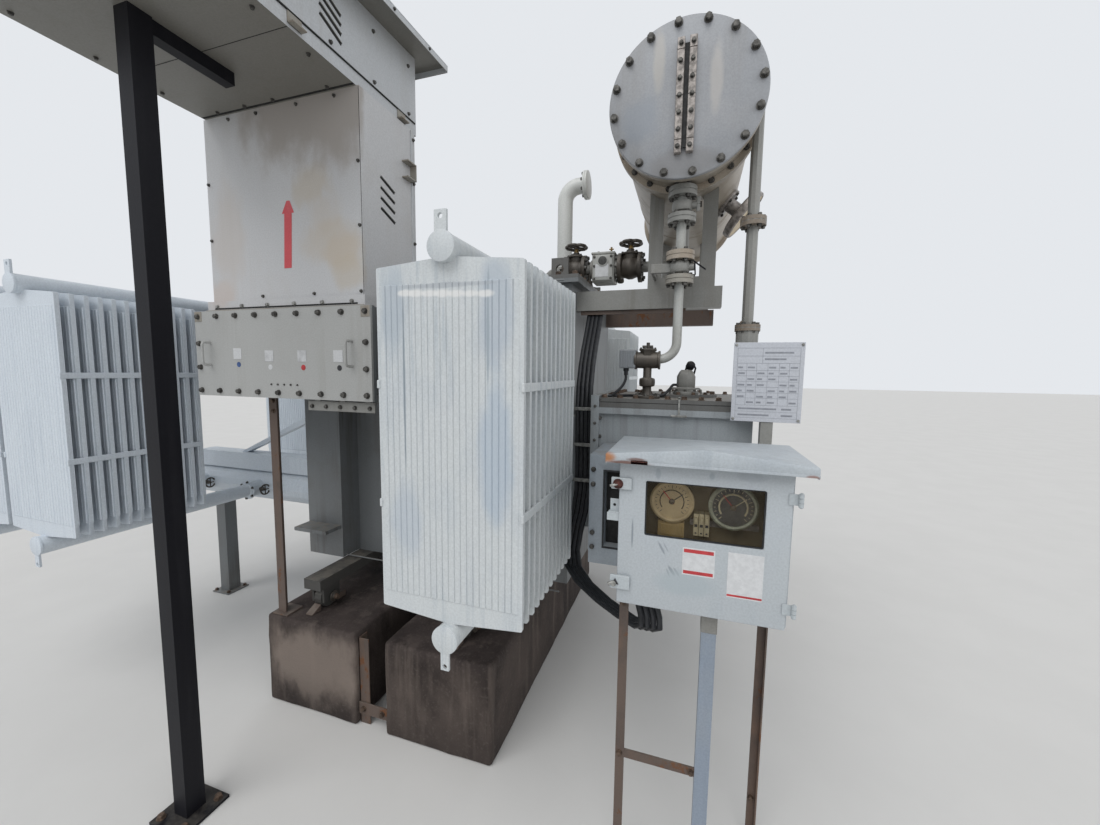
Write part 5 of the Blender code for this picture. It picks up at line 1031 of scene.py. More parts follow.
def louvres(name, places, width, height, slope, coat_name):
    """Pressed louvres: a near-black slot under a lip, painted shade standing in for the opening, one at each
    place on a wall along Y.
    """
    lips = []
    slots = []
    for place in places:
        lip = block("lip", (0, -width / 2, 0), (0.007, width / 2, height), 0.003)
        open_edit()
        mesh = bmesh.from_edit_mesh(lip.data)
        for vert in mesh.verts:
            if vert.co.z > height / 2:
                vert.co.x *= 0.15
        bmesh.update_edit_mesh(lip.data)
        close_edit()
        turn = Matrix.Translation(place) @ Matrix.Rotation(slope, 4, "X")
        lip.data.transform(turn)
        lips.append(lip)
        # near-black slot: painted shade of the opening under the lip
        slot = block("slot", (-0.001, -width / 2, -0.009), (0.0015, width / 2, 0.001), 0.0004, 1)
        slot.data.transform(turn)
        slots.append(slot)
    finish_piece(smooth(join(name + "_lips", lips)), coat_name)
    finish_joined(name + "_slots", slots, "gap")


def dress_riser():
    low, high = corners("riser_box")
    left, right = low.x + 0.018, high.x - 0.018
    front = low.y + 0.018
    top = [(part_way(left, right, share), front, high.z - 0.022) for share in (0.18, 0.37, 0.63, 0.86)]
    low_row = [(part_way(left, right, share), front, low.z + 0.068) for share in (0.36, 0.70, 0.985)]
    sides = [(x, front, part_way(low.z, high.z, share))
             for x in (left + 0.012, right - 0.012) for share in (0.38, 0.67)]
    bolts("riser_screws", top + low_row + sides, FRONT, 0.011)
    rail = row_places((left + 0.05, low.y + 0.001, low.z + 0.024),
                      (right - 0.05, low.y + 0.001, low.z + 0.024), 6)
    bolts("riser_foot_bolts", rail, FRONT, 0.014, "pale_bolt")
    # near-black line along the riser's foot: painted shade
    shade = block("riser_foot_shade_line", (left + 0.03, low.y - 0.0005, low.z + 0.010),
                  (right - 0.02, low.y + 0.004, low.z + 0.018), 0.0005, 1)
    finish_piece(shade, "gap")
    ledge = block("riser_foot_ledge", shift(low, 0, -0.012, -0.002), (high.x, low.y + 0.004, low.z + 0.007),
                  0.002)
    finish_piece(ledge, "stained")
    seam = block("riser_front_seam", (right - 0.0022, front - 0.0008, low.z + 0.05),
                 (right - 0.0004, front + 0.001, high.z - 0.004))
    finish_piece(seam, "gap")
    spots = [inside("riser_box", 1.0, 0.46, share) for share in (0.635, 0.585, 0.535, 0.485)]
    for spot_place in spots:
        spot_place.x = right
    louvres("riser_louvre", spots, 0.105, 0.014, LOUVRE_SLOPE, "riser")
    strip = block("riser_back_strip", (right - 0.001, high.y - 0.045, low.z + 0.02),
                  (right + 0.006, high.y - 0.018, high.z - 0.004), 0.0015)
    finish_piece(strip, "hood")
    screws = [(right + 0.006, high.y - 0.031, part_way(low.z, high.z, share))
              for share in (0.1, 0.4, 0.72, 0.95)]
    bolts("riser_strip_screws", screws, RIGHT, 0.012)
    bracket = [block("arm", (right - 0.001, high.y - 0.115, low.z + 0.735),
                     (right + 0.035, high.y - 0.045, low.z + 0.741), 0.001),
               block("arm", (right - 0.001, high.y - 0.115, low.z + 0.660),
                     (right + 0.035, high.y - 0.045, low.z + 0.666), 0.001),
               block("arm", (right - 0.001, high.y - 0.050, low.z + 0.660),
                     (right + 0.035, high.y - 0.045, low.z + 0.741), 0.001)]
    finish_joined("riser_side_bracket", bracket, "stained")


def dress_hood():
    low, high = corners("hood_duct")
    riser_low = corners("riser_box")[0]
    # flange strip along the bottom edge of each side, with its screws
    strips = []
    screws = []
    ways = []
    for hand, x in ((-1, low.x), (1, high.x)):
        outer = x + hand * 0.006
        strips.append(block("strip", (min(x, outer), low.y + 0.01, low.z + 0.052),
                            (max(x, outer), high.y - 0.01, low.z + 0.058), 0.001, 1))
        for place in row_places((x, low.y + 0.12, low.z + 0.078), (x, high.y - 0.06, low.z + 0.078), 5):
            screws.append(place)
            ways.append((hand, 0, 0))
        for place in row_places((x, low.y + 0.12, high.z - 0.12), (x, high.y - 0.06, high.z - 0.07), 5):
            screws.append(place)
            ways.append((hand, 0, 0))
    finish_joined("hood_side_strips", strips, "gap")
    bolts("hood_side_screws", screws, ways, 0.012)
    spots = [(high.x, low.y + 0.62, low.z + z) for z in (0.13, 0.165, 0.20, 0.235)]
    louvres("hood_louvre", spots, 0.115, 0.014, LOUVRE_SLOPE, "hood")
    under = [(part_way(low.x, high.x, share), riser_low.y - 0.012, low.z)
             for share in (0.14, 0.33, 0.52, 0.86)]
    under += row_places((high.x - 0.04, low.y + 0.1, low.z), (high.x - 0.04, high.y - 0.4, low.z), 4)
    under += row_places(shift(low, 0.04, 0.1, 0), (low.x + 0.04, high.y - 0.4, low.z), 4)
    bolts("hood_under_screws", under, DOWN, 0.012)
    seams = [block("seam", shift(low, 0.002, 0.42, -0.0007),
                   (high.x - 0.002, low.y + 0.4225, low.z + 0.001)),
             block("seam", (low.x + 0.002, riser_low.y - 0.001, low.z - 0.0007),
                   (high.x - 0.002, riser_low.y + 0.010, low.z + 0.001))]
    finish_joined("hood_under_seams", seams, "gap")
    handles = []
    for place in ((high.x, high.y - 0.12, low.z + 0.02), (high.x, low.y + 0.45, low.z + 0.02)):
        x, y, z = place
        handles.append(block("clip", (x - 0.001, y - 0.03, z - 0.008), (x + 0.028, y + 0.03, z - 0.003),
                             0.0012))
        handles.append(block("clip", (x - 0.001, y - 0.03, z - 0.008), (x + 0.004, y + 0.03, z + 0.035),
                             0.0012))
    finish_joined("hood_side_clips", handles, "stained")


def fold_roof():
    """Lip folded down round the hood's sheet roof."""
    low, high = corners("hood_roof")
    rise = (high.z - low.z - 0.006) / (high.y - low.y)
    lips = []
    for x in (low.x, high.x - 0.004):
        lip = block("lip", (x, low.y, -0.028), (x + 0.004, high.y, 0.0), 0.001, 1)
        for vert in lip.data.vertices:
            vert.co.z += low.z + 0.004 + (vert.co.y - low.y) * rise
        lips.append(lip)
    lips.append(block("lip", shift(low, 0, 0, -0.024), (high.x, low.y + 0.004, low.z + 0.004), 0.001, 1))
    lips.append(block("lip", (low.x, high.y - 0.004, high.z - 0.034), shift(high, 0, 0, -0.003), 0.001, 1))
    finish_joined("hood_roof_lips", lips, "hood")
    places = [(x, part_way(low.y, high.y, share), low.z + 0.004 + (high.y - low.y) * share * rise - 0.014)
              for x in (low.x, high.x) for share in (0.12, 0.31, 0.5, 0.69, 0.88)]
    ways = [LEFT] * 5 + [RIGHT] * 5
    bolts("hood_roof_screws", places, ways, 0.010)


# Conservator
DRUM_RADIUS = 0.28
COVER_BOLTS = 16


def dress_conservator():
    low, high = corners("conservator_drum")
    cover_low, cover_high = corners("conservator_cover")
    middle = Vector(((low.x + high.x) / 2, 0, (low.z + high.z) / 2))
    front = Vector((middle.x, cover_low.y, middle.z))
    rim = (high.x - low.x) / 2
    cover_depth = cover_high.y - cover_low.y
    steps = [(rim, 0.0), (rim, cover_depth - 0.003), (rim * 0.985, cover_depth - 0.0005),
             (rim * 0.45, cover_depth)]
    cover = turned("conservator_end", steps, (middle.x, cover_high.y, middle.z), FRONT, 96, 0.0012)
    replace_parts(finish_piece(cover, "drum"), "conservator_cover")
    length = high.y - low.y
    shell = DRUM_RADIUS
    joint = 0.1662
    steps = [(rim, 0.0), (rim, 0.020), (shell, 0.0205), (shell, joint - 0.02), (rim, joint - 0.0195),
             (rim, joint - 0.001), (rim * 0.993, joint - 0.001), (rim * 0.993, joint + 0.001),
             (rim, joint + 0.001), (rim, joint + 0.0195), (shell, joint + 0.02), (shell, length * 0.62),
             (shell + 0.0025, length * 0.622), (shell + 0.0025, length * 0.630), (shell, length * 0.632),
             (shell, length - 0.0205), (rim, length - 0.020), (rim, length - 0.001), (rim * 0.98, length)]
    drum = turned("conservator_shell", steps, (middle.x, low.y, middle.z), BACK, 96)
    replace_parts(finish_piece(drum, "shell"), "conservator_drum")
    ring = rim - 0.020
    bolts("conservator_cover_bolts", circle_places(front, FRONT, ring, COVER_BOLTS, 0.13), FRONT, 0.024)
    nut_face = Vector((middle.x, low.y + 0.0205, middle.z))
    bolts("conservator_cover_nuts", circle_places(nut_face, BACK, ring, COVER_BOLTS, 0.13), BACK, 0.02)
    joint_front = Vector((middle.x, low.y + joint - 0.0195, middle.z))
    joint_back = Vector((middle.x, low.y + joint + 0.0195, middle.z))
    bolts("conservator_joint_bolts", circle_places(joint_front, FRONT, ring, 20, 0.1)
          + circle_places(joint_back, BACK, ring, 20, 0.1), [FRONT] * 20 + [BACK] * 20, 0.02)
    rear = Vector((middle.x, high.y, middle.z))
    bolts("conservator_rear_bolts", circle_places(rear, BACK, ring, COVER_BOLTS, 0.1), BACK, 0.02)


def dress_level_gauge():
    """Level gauge: side bars over a dark glass, tied by cross bars, with seven pairs of bolts."""
    low, high = corners("oil_level_gauge")
    depth = high.y - low.y
    bars = []
    for x in ((low.x, low.x + 0.0285), (high.x - 0.0285, high.x)):
        bars.append(block("bar", (x[0], low.y + 0.004, low.z), (x[1], high.y, high.z), 0.0035, 3))
    heights = [part_way(low.z, high.z, share) for share in (0.115, 0.50, 0.895)]
    for z in (low.z + 0.014, high.z - 0.014):
        bars.append(block("bar", (low.x + 0.002, low.y + 0.005, z - 0.0135),
                          (high.x - 0.002, high.y, z + 0.0135), 0.003, 2))
    body = join("level_gauge_frame", bars)
    cuts = [block("cut", (low.x - 0.01, low.y - 0.01, z - 0.0018),
                  (high.x + 0.01, low.y + 0.009, z + 0.0018)) for z in heights]
    drill(body, cuts)
    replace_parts(finish_piece(body, "gauge_metal"), "oil_level_gauge")
    glass = block("level_gauge_glass", (low.x + 0.026, low.y + depth * 0.5, low.z + 0.02),
                  (high.x - 0.026, low.y + depth * 0.6, high.z - 0.02), 0.0005, 1)
    finish_piece(glass, "gap")
    places = [(x, low.y + 0.004, part_way(low.z, high.z, 0.055 + 0.148 * step))
              for x in (low.x + 0.014, high.x - 0.014) for step in range(7)]
    bolts("level_gauge_bolts", places, FRONT, 0.0135)


def dress_dial_gauge():
    """Magnetic oil level dial on the drum's side, seen edge on in front."""
    low, high = corners("dial_gauge")
    drum_low, drum_high = corners("conservator_drum")
    centre = Vector(((drum_low.x + drum_high.x) / 2, (low.y + high.y) / 2, (drum_low.z + drum_high.z) / 2))
    way = Vector((math.cos(math.radians(-40)), 0, math.sin(math.radians(-40))))
    steps = [(0.075, DRUM_RADIUS - 0.004), (0.075, DRUM_RADIUS + 0.012), (0.035, DRUM_RADIUS + 0.013),
             (0.035, DRUM_RADIUS + 0.07), (0.105, DRUM_RADIUS + 0.078), (0.128, DRUM_RADIUS + 0.086),
             (0.13, DRUM_RADIUS + 0.09), (0.13, DRUM_RADIUS + 0.118), (0.124, DRUM_RADIUS + 0.1245),
             (0.118, DRUM_RADIUS + 0.1245), (0.117, DRUM_RADIUS + 0.121)]
    case = turned("oil_dial_case", steps, centre, way, 56, 0.001)
    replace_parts(finish_piece(case, "gauge_metal"), "dial_gauge")
    face = turned("oil_dial_face", [(0.117, DRUM_RADIUS + 0.119), (0.117, DRUM_RADIUS + 0.1215)], centre,
                  way, 56)
    finish_piece(face, "dial")
    needle = block("oil_dial_needle", (-0.004, -0.01, 0), (0.004, 0.085, 0.0015), 0.0006, 1)
    finish_piece(stand(needle, centre + way * (DRUM_RADIUS + 0.1222), way, 0.6), "ink")
    rim = circle_places(centre + way * (DRUM_RADIUS + 0.012), way, 0.062, 6)
    bolts("oil_dial_bolts", rim, tuple(way), 0.013)


dress_lv_box()
arrow_on_riser()
dress_riser()
dress_hood()
fold_roof()
dress_conservator()
dress_level_gauge()
dress_dial_gauge()


# Pipes, valves and relays
def bend(start, corner, end, radius, steps=8):
    """Points round a square corner of a pipe."""
    start, corner, end = Vector(start), Vector(corner), Vector(end)
    into, out = (corner - start).normalized(), (end - corner).normalized()
    centre = corner - into * radius + out * radius
    angles = [math.pi / 2 * step / steps for step in range(steps + 1)]
    return [centre - out * radius * math.cos(angle) + into * radius * math.sin(angle) for angle in angles]


def hand_wheel(node, lobes):
    """A valve's hand wheel: lobed rim, four spokes, hub and nut."""
    low, high = corners(node)
    middle = (low + high) / 2
    reach = (high.x - low.x) / 2
    put_down()
    bpy.ops.mesh.primitive_torus_add(major_radius=reach - 0.009, minor_radius=0.009, major_segments=56,
                                     minor_segments=10, location=middle)
    rim = bpy.context.object
    settle(rim)
    for vert in rim.data.vertices:
        away = vert.co - middle
        dent = 0.14 * max(0.0, math.cos(lobes * math.atan2(away.y, away.x))) ** 2
        vert.co.x -= away.x * dent
        vert.co.y -= away.y * dent
    parts = [rim]
    for turn in range(4):
        angle = math.pi / 2 * turn + 0.6
        along = Vector((math.cos(angle), math.sin(angle), 0))
        parts.append(round_bar("spoke", middle + along * 0.008, middle + along * (reach - 0.012), 0.0052, 10))
    hub = stepped_round("hub", [(0.016, -0.011), (0.016, 0.006), (0.012, 0.011)], 20, 0.001)
    parts.append(stand(hub, middle, UP))
    nut = hexagon_bolt(0.013)
    nut.data.transform(Matrix.Translation(middle + Vector((0, 0, 0.005))))
    parts.append(nut)
    wheel = smooth(join(node + "_rim", parts), 40)
    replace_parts(finish_piece(wheel, "iron", node), node)


def dress_oil_pipe():
    """Oil pipe with two bolted gate valves, run through the place of the relay between them, and two drain
    plugs.
    """
    low, high = corners("oil_pipe")
    relay_low, relay_high = corners("gas_relay")
    y, z = (relay_low.y + relay_high.y) / 2, (relay_low.z + relay_high.z) / 2
    radius = 0.028
    foot, corner = Vector((low.x + radius, y, low.z)), Vector((low.x + radius, y, z))
    rise, top = Vector((high.x - radius, y, z)), Vector((high.x - radius, y, high.z + 0.004))
    route = [foot, *bend(foot, corner, rise, 0.08), *bend(corner, rise, top, 0.08), top]
    pipe = bent_bar("oil_pipe_run", route, radius, 5)
    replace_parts(finish_piece(pipe, "pipe"), "oil_pipe")
    for name, wheel in (("left", "valve_wheel_left"), ("right", "valve_wheel_right")):
        wheel_low, wheel_high = corners(wheel)
        x = (wheel_low.x + wheel_high.x) / 2
        steps = [(0.040, -0.064), (0.078, -0.062), (0.078, -0.043), (0.050, -0.038), (0.054, -0.024),
                 (0.060, -0.010), (0.060, 0.010), (0.054, 0.024), (0.050, 0.038), (0.078, 0.043),
                 (0.078, 0.062), (0.040, 0.064)]
        body = turned("body", steps, (x, y, z), RIGHT, 44, 0.0012)
        bonnet = [
            (0.044, 0.030), (0.042, 0.064), (0.052, 0.066), (0.052, 0.074), (0.034, 0.0765), (0.024, 0.084),
            (0.018, 0.086), (0.018, 0.096),
        ]
        cap = turned("bonnet", bonnet, (x, y, z), UP, 32, 0.001)
        whole = finish_joined("oil_valve_" + name, [body, cap], "iron")
        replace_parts(whole, "oil_pipe")
        stem = [(0.0145, 0.094), (0.0145, 0.101), (0.0105, 0.102), (0.0105, 0.1152)]
        finish_piece(turned("oil_valve_stem_" + name, stem, (x, y, z), UP, 20), "brass")
        right_face, left_face = Vector((x + 0.062, y, z)), Vector((x - 0.062, y, z))
        rim = circle_places(right_face, RIGHT, 0.064, 8) + circle_places(left_face, LEFT, 0.064, 8)
        bolts("oil_valve_bolts_" + name, rim, [RIGHT] * 8 + [LEFT] * 8, 0.017)
        bonnet_bolts = circle_places((x, y, z + 0.074), UP, 0.044, 6, 0.3)
        bolts("oil_valve_bonnet_bolts_" + name, bonnet_bolts, UP, 0.012)
    cocks = []
    for x in (relay_low.x - 0.022, relay_high.x + 0.030):
        cocks.append(round_bar("cock", (x, y - 0.01, z - 0.026), (x, y - 0.01, z - 0.066), 0.010, 12, 0.001))
        cocks.append(turned("cap", [(0.016, 0), (0.018, 0.004), (0.018, 0.016), (0.013, 0.020)],
                            (x, y - 0.01, z - 0.060), DOWN, 8, 0.001))
    finish_joined("oil_pipe_drain_plugs", cocks, "iron")


def dress_gas_relay():
    """Cast relay box with a round window, a blank plate, corner screws, end flanges and a test cock."""
    low, high = corners("gas_relay")
    y, z = (low.y + high.y) / 2, (low.z + high.z) / 2
    body = block("gas_relay_case", low + Vector((0, 0.008, 0.006)), high - Vector((0, 0, 0.014)), 0.008, 3)
    lid = block("gas_relay_lid", (low.x - 0.004, low.y + 0.004, high.z - 0.016),
                shift(high, 0.004, 0.004, -0.004), 0.004)
    front = block("gas_relay_front", shift(low, 0.006, 0, 0.012),
                  (high.x - 0.006, low.y + 0.016, high.z - 0.022), 0.005, 3)
    whole = smooth(join("gas_relay_box", [body, lid, front]))
    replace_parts(finish_piece(whole, "relay"), "gas_relay")
    eye = Vector(((low.x + high.x) / 2, low.y, z + 0.030))
    ring = stepped_round("gas_relay_window_ring",
                         [(0.030, 0), (0.030, 0.004), (0.024, 0.006), (0.022, 0.0025), (0.020, 0.002)], 36)
    finish_piece(stand(ring, eye, FRONT), "relay")
    pane = stepped_round("gas_relay_window", [(0.0225, 0.0), (0.0225, 0.0032), (0.017, 0.0042)], 32)
    finish_piece(stand(pane, eye, FRONT), "dark_dial")
    plate_low = shift(low, 0.020, -0.0016, 0.030)
    plate = block("gas_relay_plate", plate_low, plate_low + Vector((0.072, 0.003, 0.066)), 0.001, 1)
    finish_piece(plate, "label")
    screws = [(x, low.y, height) for x in (low.x + 0.015, high.x - 0.015)
              for height in (low.z + 0.022, z + 0.004, high.z - 0.031)]
    bolts("gas_relay_screws", screws, FRONT, 0.010)
    cocks = [round_bar("cock", (high.x - 0.022, y - 0.02, high.z - 0.006),
                       (high.x - 0.022, y - 0.02, high.z + 0.026), 0.005, 10),
             round_bar("cock", (high.x - 0.034, y - 0.02, high.z + 0.015),
                       (high.x - 0.010, y - 0.02, high.z + 0.015), 0.0035, 8),
             round_bar("cock", (low.x + 0.024, y, high.z - 0.006), (low.x + 0.024, y, high.z + 0.012), 0.007,
                       6)]
    finish_joined("gas_relay_cocks", cocks, "brass")
    for hand, x in ((-1, low.x), (1, high.x)):
        steps = [(0.050, 0.0), (0.050, 0.012), (0.034, 0.014), (0.032, 0.022)]
        collar = turned("gas_relay_collar", steps, (x, y, z), (hand, 0, 0), 32, 0.001)
        finish_piece(collar, "pipe")


def dress_vent():
    """Pressure vent: bent pipe with a bolted mouth and a bolted foot."""
    low, high = corners("vent_pipe")
    radius, reach = 0.045, 0.078
    y = (low.y + high.y) / 2
    x = low.x + reach
    z = high.z - reach
    foot, corner, mouth = Vector((x, y, low.z)), Vector((x, y, z)), Vector((high.x - 0.006, y, z))
    pipe = bent_bar("vent_run", [foot, *bend(foot, corner, mouth, 0.085, 10), mouth], radius, 6)
    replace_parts(finish_piece(pipe, "vent"), "vent_pipe")
    steps = [(reach, -0.024), (reach, -0.013), (reach * 0.96, -0.013), (reach * 0.96, -0.011),
             (reach, -0.011), (reach, 0.0)]
    flange = turned("vent_mouth", steps, (high.x, y, z), RIGHT, 44, 0.0012)
    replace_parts(finish_piece(flange, "vent"), "vent_pipe")
    rim = circle_places((high.x - 0.024, y, z), LEFT, reach - 0.014, 8, 0.2)
    bolts("vent_mouth_bolts", rim, LEFT, 0.015)
    foot_steps = [(reach, 0.0), (reach, 0.016), (radius + 0.004, 0.017), (radius, 0.022)]
    seat = turned("vent_foot", foot_steps, (x, y, low.z), UP, 44, 0.0012)
    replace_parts(finish_piece(seat, "vent"), "vent_pipe")
    bolts("vent_foot_bolts", circle_places((x, y, low.z + 0.016), UP, reach - 0.014, 8), UP, 0.015)


def lever(name, start, end, width, coat_name):
    """A flat lever with rounded ends between two points."""
    start, end = Vector(start), Vector(end)
    length = (end - start).length
    bar = block("lever", (-width / 2, -0.003, 0), (width / 2, 0.003, length))
    open_edit()
    select_edges(bar, lambda edge: abs(edge.verts[0].co.y - edge.verts[1].co.y) > 0.004)
    bevel_edges(width * 0.4, 4)
    close_edit()
    soften(bar, 0.001, 1, 50)
    bar.name = name
    return finish_piece(smooth(stand(bar, start, end - start)), coat_name)


def dress_surge_pipe():
    """Surge pipe under the drum: two valves between bolted flanges, and the bend to its relay."""
    low, high = corners("surge_pipe")
    y = (low.y + high.y) / 2
    x = high.x - 0.060
    z = low.z + 0.022
    top, corner, end = Vector((x, y, high.z + 0.008)), Vector((x, y, z)), Vector((low.x - 0.012, y, z))
    run = bent_bar("surge_run", [top, *bend(top, corner, end, 0.075, 10), end], 0.0205, 5)
    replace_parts(finish_piece(run, "relay"), "surge_pipe")
    pairs = ((2.558, 0.040, "pipe"), (2.447, 0.036, "pipe"), (2.290, 0.038, "shell"),
             (2.188, 0.036, "stained"))
    for count, (height, thickness, coat_name) in enumerate(pairs):
        bolted_flange(f"surge_flange_{count}", (x, y, height), UP, 0.060, thickness, 6, 0.016, coat_name)
    for name, height, reach in (("upper", 2.500, 0.048), ("lower", 2.241, 0.052)):
        steps = [(0.030, -reach / 2), (0.040, -reach / 2 + 0.004), (0.044, -0.008), (0.044, 0.008),
                 (0.040, reach / 2 - 0.004), (0.030, reach / 2)]
        body = turned("body", steps, (x, y, height), UP, 32, 0.001)
        neck = round_bar("neck", (x, y, height), (x + 0.062, y - 0.01, height), 0.016, 20, 0.001)
        finish_joined("surge_valve_" + name, [body, neck], "pipe")
    knob = round_bar("surge_valve_knob", (x + 0.060, y - 0.01, 2.500), (x + 0.082, y - 0.012, 2.500), 0.013,
                     4, 0.001)
    finish_piece(knob, "iron")
    lever("surge_valve_bracket", (x + 0.066, y - 0.02, 2.470), (x + 0.066, y - 0.02, 2.530), 0.016, "pipe")
    lever("surge_valve_lever", (x + 0.058, y - 0.02, 2.262), (x + 0.108, y - 0.03, 2.222), 0.018, "black")
    lever("surge_valve_lever_foot", (x + 0.062, y - 0.016, 2.262), (x + 0.066, y - 0.016, 2.205), 0.014,
          "black")
    saddle_low = corners("saddle_front")[0]
    arm = block("surge_valve_arm", (saddle_low.x + 0.03, y - 0.008, 2.222), (x - 0.03, y + 0.008, 2.262),
                0.002)
    link = block("arm_link", (saddle_low.x + 0.030, y - 0.006, 2.226),
                 (saddle_low.x + 0.042, saddle_low.y, 2.258), 0.002)
    finish_joined("surge_valve_arm", [arm, link], "pipe")
    collar = turned("surge_run_root", [(0.034, 0.0), (0.032, 0.010), (0.022, 0.016)], (x, y, high.z + 0.004),
                    DOWN, 32)
    finish_piece(collar, "shell")


def dress_surge_relay():
    """Surge relay: body, lid, cap, stem with its coupling, ribbed box and gland. Gives the gland's place."""
    low, high = corners("surge_relay")
    y = (low.y + high.y) / 2
    z = high.z - 0.045
    centre = high.x - 0.055
    steps = [(0.034, -0.060), (0.042, -0.058), (0.042, -0.048), (0.037, -0.046), (0.039, 0.0),
             (0.037, 0.046), (0.042, 0.048), (0.042, 0.056)]
    body = turned("body", steps, (centre, y, z - 0.005), RIGHT, 36, 0.001)
    tower = turned("tower", [(0.036, 0.0), (0.036, 0.036), (0.041, 0.037), (0.041, 0.047)], (centre, y, z),
                   UP, 8, 0.001, 0.39)
    stem = [(0.060, 0.0), (0.060, 0.012), (0.024, 0.014), (0.020, 0.024), (0.020, 0.052), (0.034, 0.056),
            (0.036, 0.066), (0.036, 0.082), (0.034, 0.090), (0.019, 0.095), (0.019, 0.150)]
    leg = turned("stem", stem, (centre, y, low.z), UP, 32, 0.001)
    whole = finish_joined("surge_relay_body", [body, tower, leg], "iron")
    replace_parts(whole, "surge_relay")
    cap = [round_bar("cap", (centre, y, high.z), (centre, y, high.z + 0.030), 0.008, 16, 0.001),
           round_bar("cap", (centre - 0.026, y, high.z + 0.012), (centre + 0.022, y, high.z + 0.012), 0.0055,
                     12)]
    finish_joined("surge_relay_cap", cap, "iron")
    bolts("surge_relay_lid_screws", circle_places((centre, y, z + 0.047), UP, 0.032, 6, 0.2), UP, 0.008)
    bolts("surge_relay_foot_bolts", circle_places((centre, y, low.z + 0.012), UP, 0.047, 6, 0.5), UP, 0.014)
    box_right = centre - 0.052
    box_low, box_high = Vector((box_right - 0.074, y - 0.036,
                                z - 0.043)), Vector((box_right, y + 0.036, z + 0.042))
    ribs = [block("case", box_low, box_high, 0.004, 2)]
    for count in range(6):
        x = box_low.x + 0.010 + 0.0108 * count
        ribs.append(block("rib", (x - 0.002, box_low.y - 0.002, box_low.z + 0.006),
                          (x + 0.002, box_low.y + 0.002, box_high.z - 0.006), 0.001, 1))
    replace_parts(finish_joined("surge_relay_terminal_box", ribs, "kiosk_dark"), "surge_relay")
    gland_x = box_low.x + 0.028
    gland = [(0.013, 0.0), (0.013, 0.012), (0.009, 0.014), (0.009, 0.030), (0.006, 0.034)]
    finish_piece(turned("surge_relay_gland", gland, (gland_x, y, box_low.z), DOWN, 16, 0.0006), "rubber")
    return Vector((gland_x, y, box_low.z - 0.030))


def dress_relief_valve():
    """Relief valve: bolted base with a bent rod round it, six sided body, dark knob and its small lever."""
    low, high = corners("relief_valve")
    middle = (low + high) / 2
    base = turned("base", [(0.060, 0.0), (0.060, 0.014), (0.044, 0.016), (0.042, 0.026)],
                  (middle.x, middle.y, low.z), UP, 40, 0.0012)
    body_steps = [(0.038, 0.024), (0.0455, 0.034), (0.0455, 0.086), (0.034, 0.108), (0.024, 0.118)]
    body = turned("body", body_steps, (middle.x, middle.y, low.z), UP, 6, 0.0015, 0.25)
    whole = finish_joined("relief_valve_body", [base, body], "pipe")
    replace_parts(whole, "relief_valve")
    knob_place = Vector((middle.x + 0.018, middle.y, high.z - 0.022))
    knob = turned("knob", [(0.012, -0.018), (0.020, -0.014), (0.021, 0.010), (0.015, 0.018)], knob_place,
                  (0.3, -0.6, 0.6), 12, 0.001)
    post = round_bar("post", (middle.x - 0.006, middle.y, low.z + 0.105),
                     (middle.x + 0.004, middle.y, high.z - 0.014), 0.005, 10)
    hook = bent_bar("hook", [knob_place + Vector((0.012, 0, 0.008)), knob_place + Vector((0.024, 0, -0.012)),
                             knob_place + Vector((0.018, 0, -0.038)),
                             knob_place + Vector((0.010, 0, -0.050))], 0.0045, 2)
    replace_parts(finish_joined("relief_valve_knob", [knob, post, hook], "black"), "relief_valve")
    loop = [Vector((middle.x - 0.072, middle.y - 0.050, low.z + 0.002)),
            Vector((middle.x - 0.070, middle.y - 0.052, low.z + 0.022)),
            Vector((middle.x - 0.060, middle.y - 0.058, low.z + 0.030)),
            Vector((middle.x + 0.060, middle.y - 0.058, low.z + 0.030)),
            Vector((middle.x + 0.070, middle.y - 0.052, low.z + 0.022)),
            Vector((middle.x + 0.072, middle.y - 0.050, low.z + 0.002))]
    finish_piece(bent_bar("relief_valve_guard", loop, 0.005, 3), "pipe")
    bolts("relief_valve_bolts", circle_places((middle.x, middle.y, low.z + 0.014), UP, 0.050, 6, 0.5), UP,
          0.012)


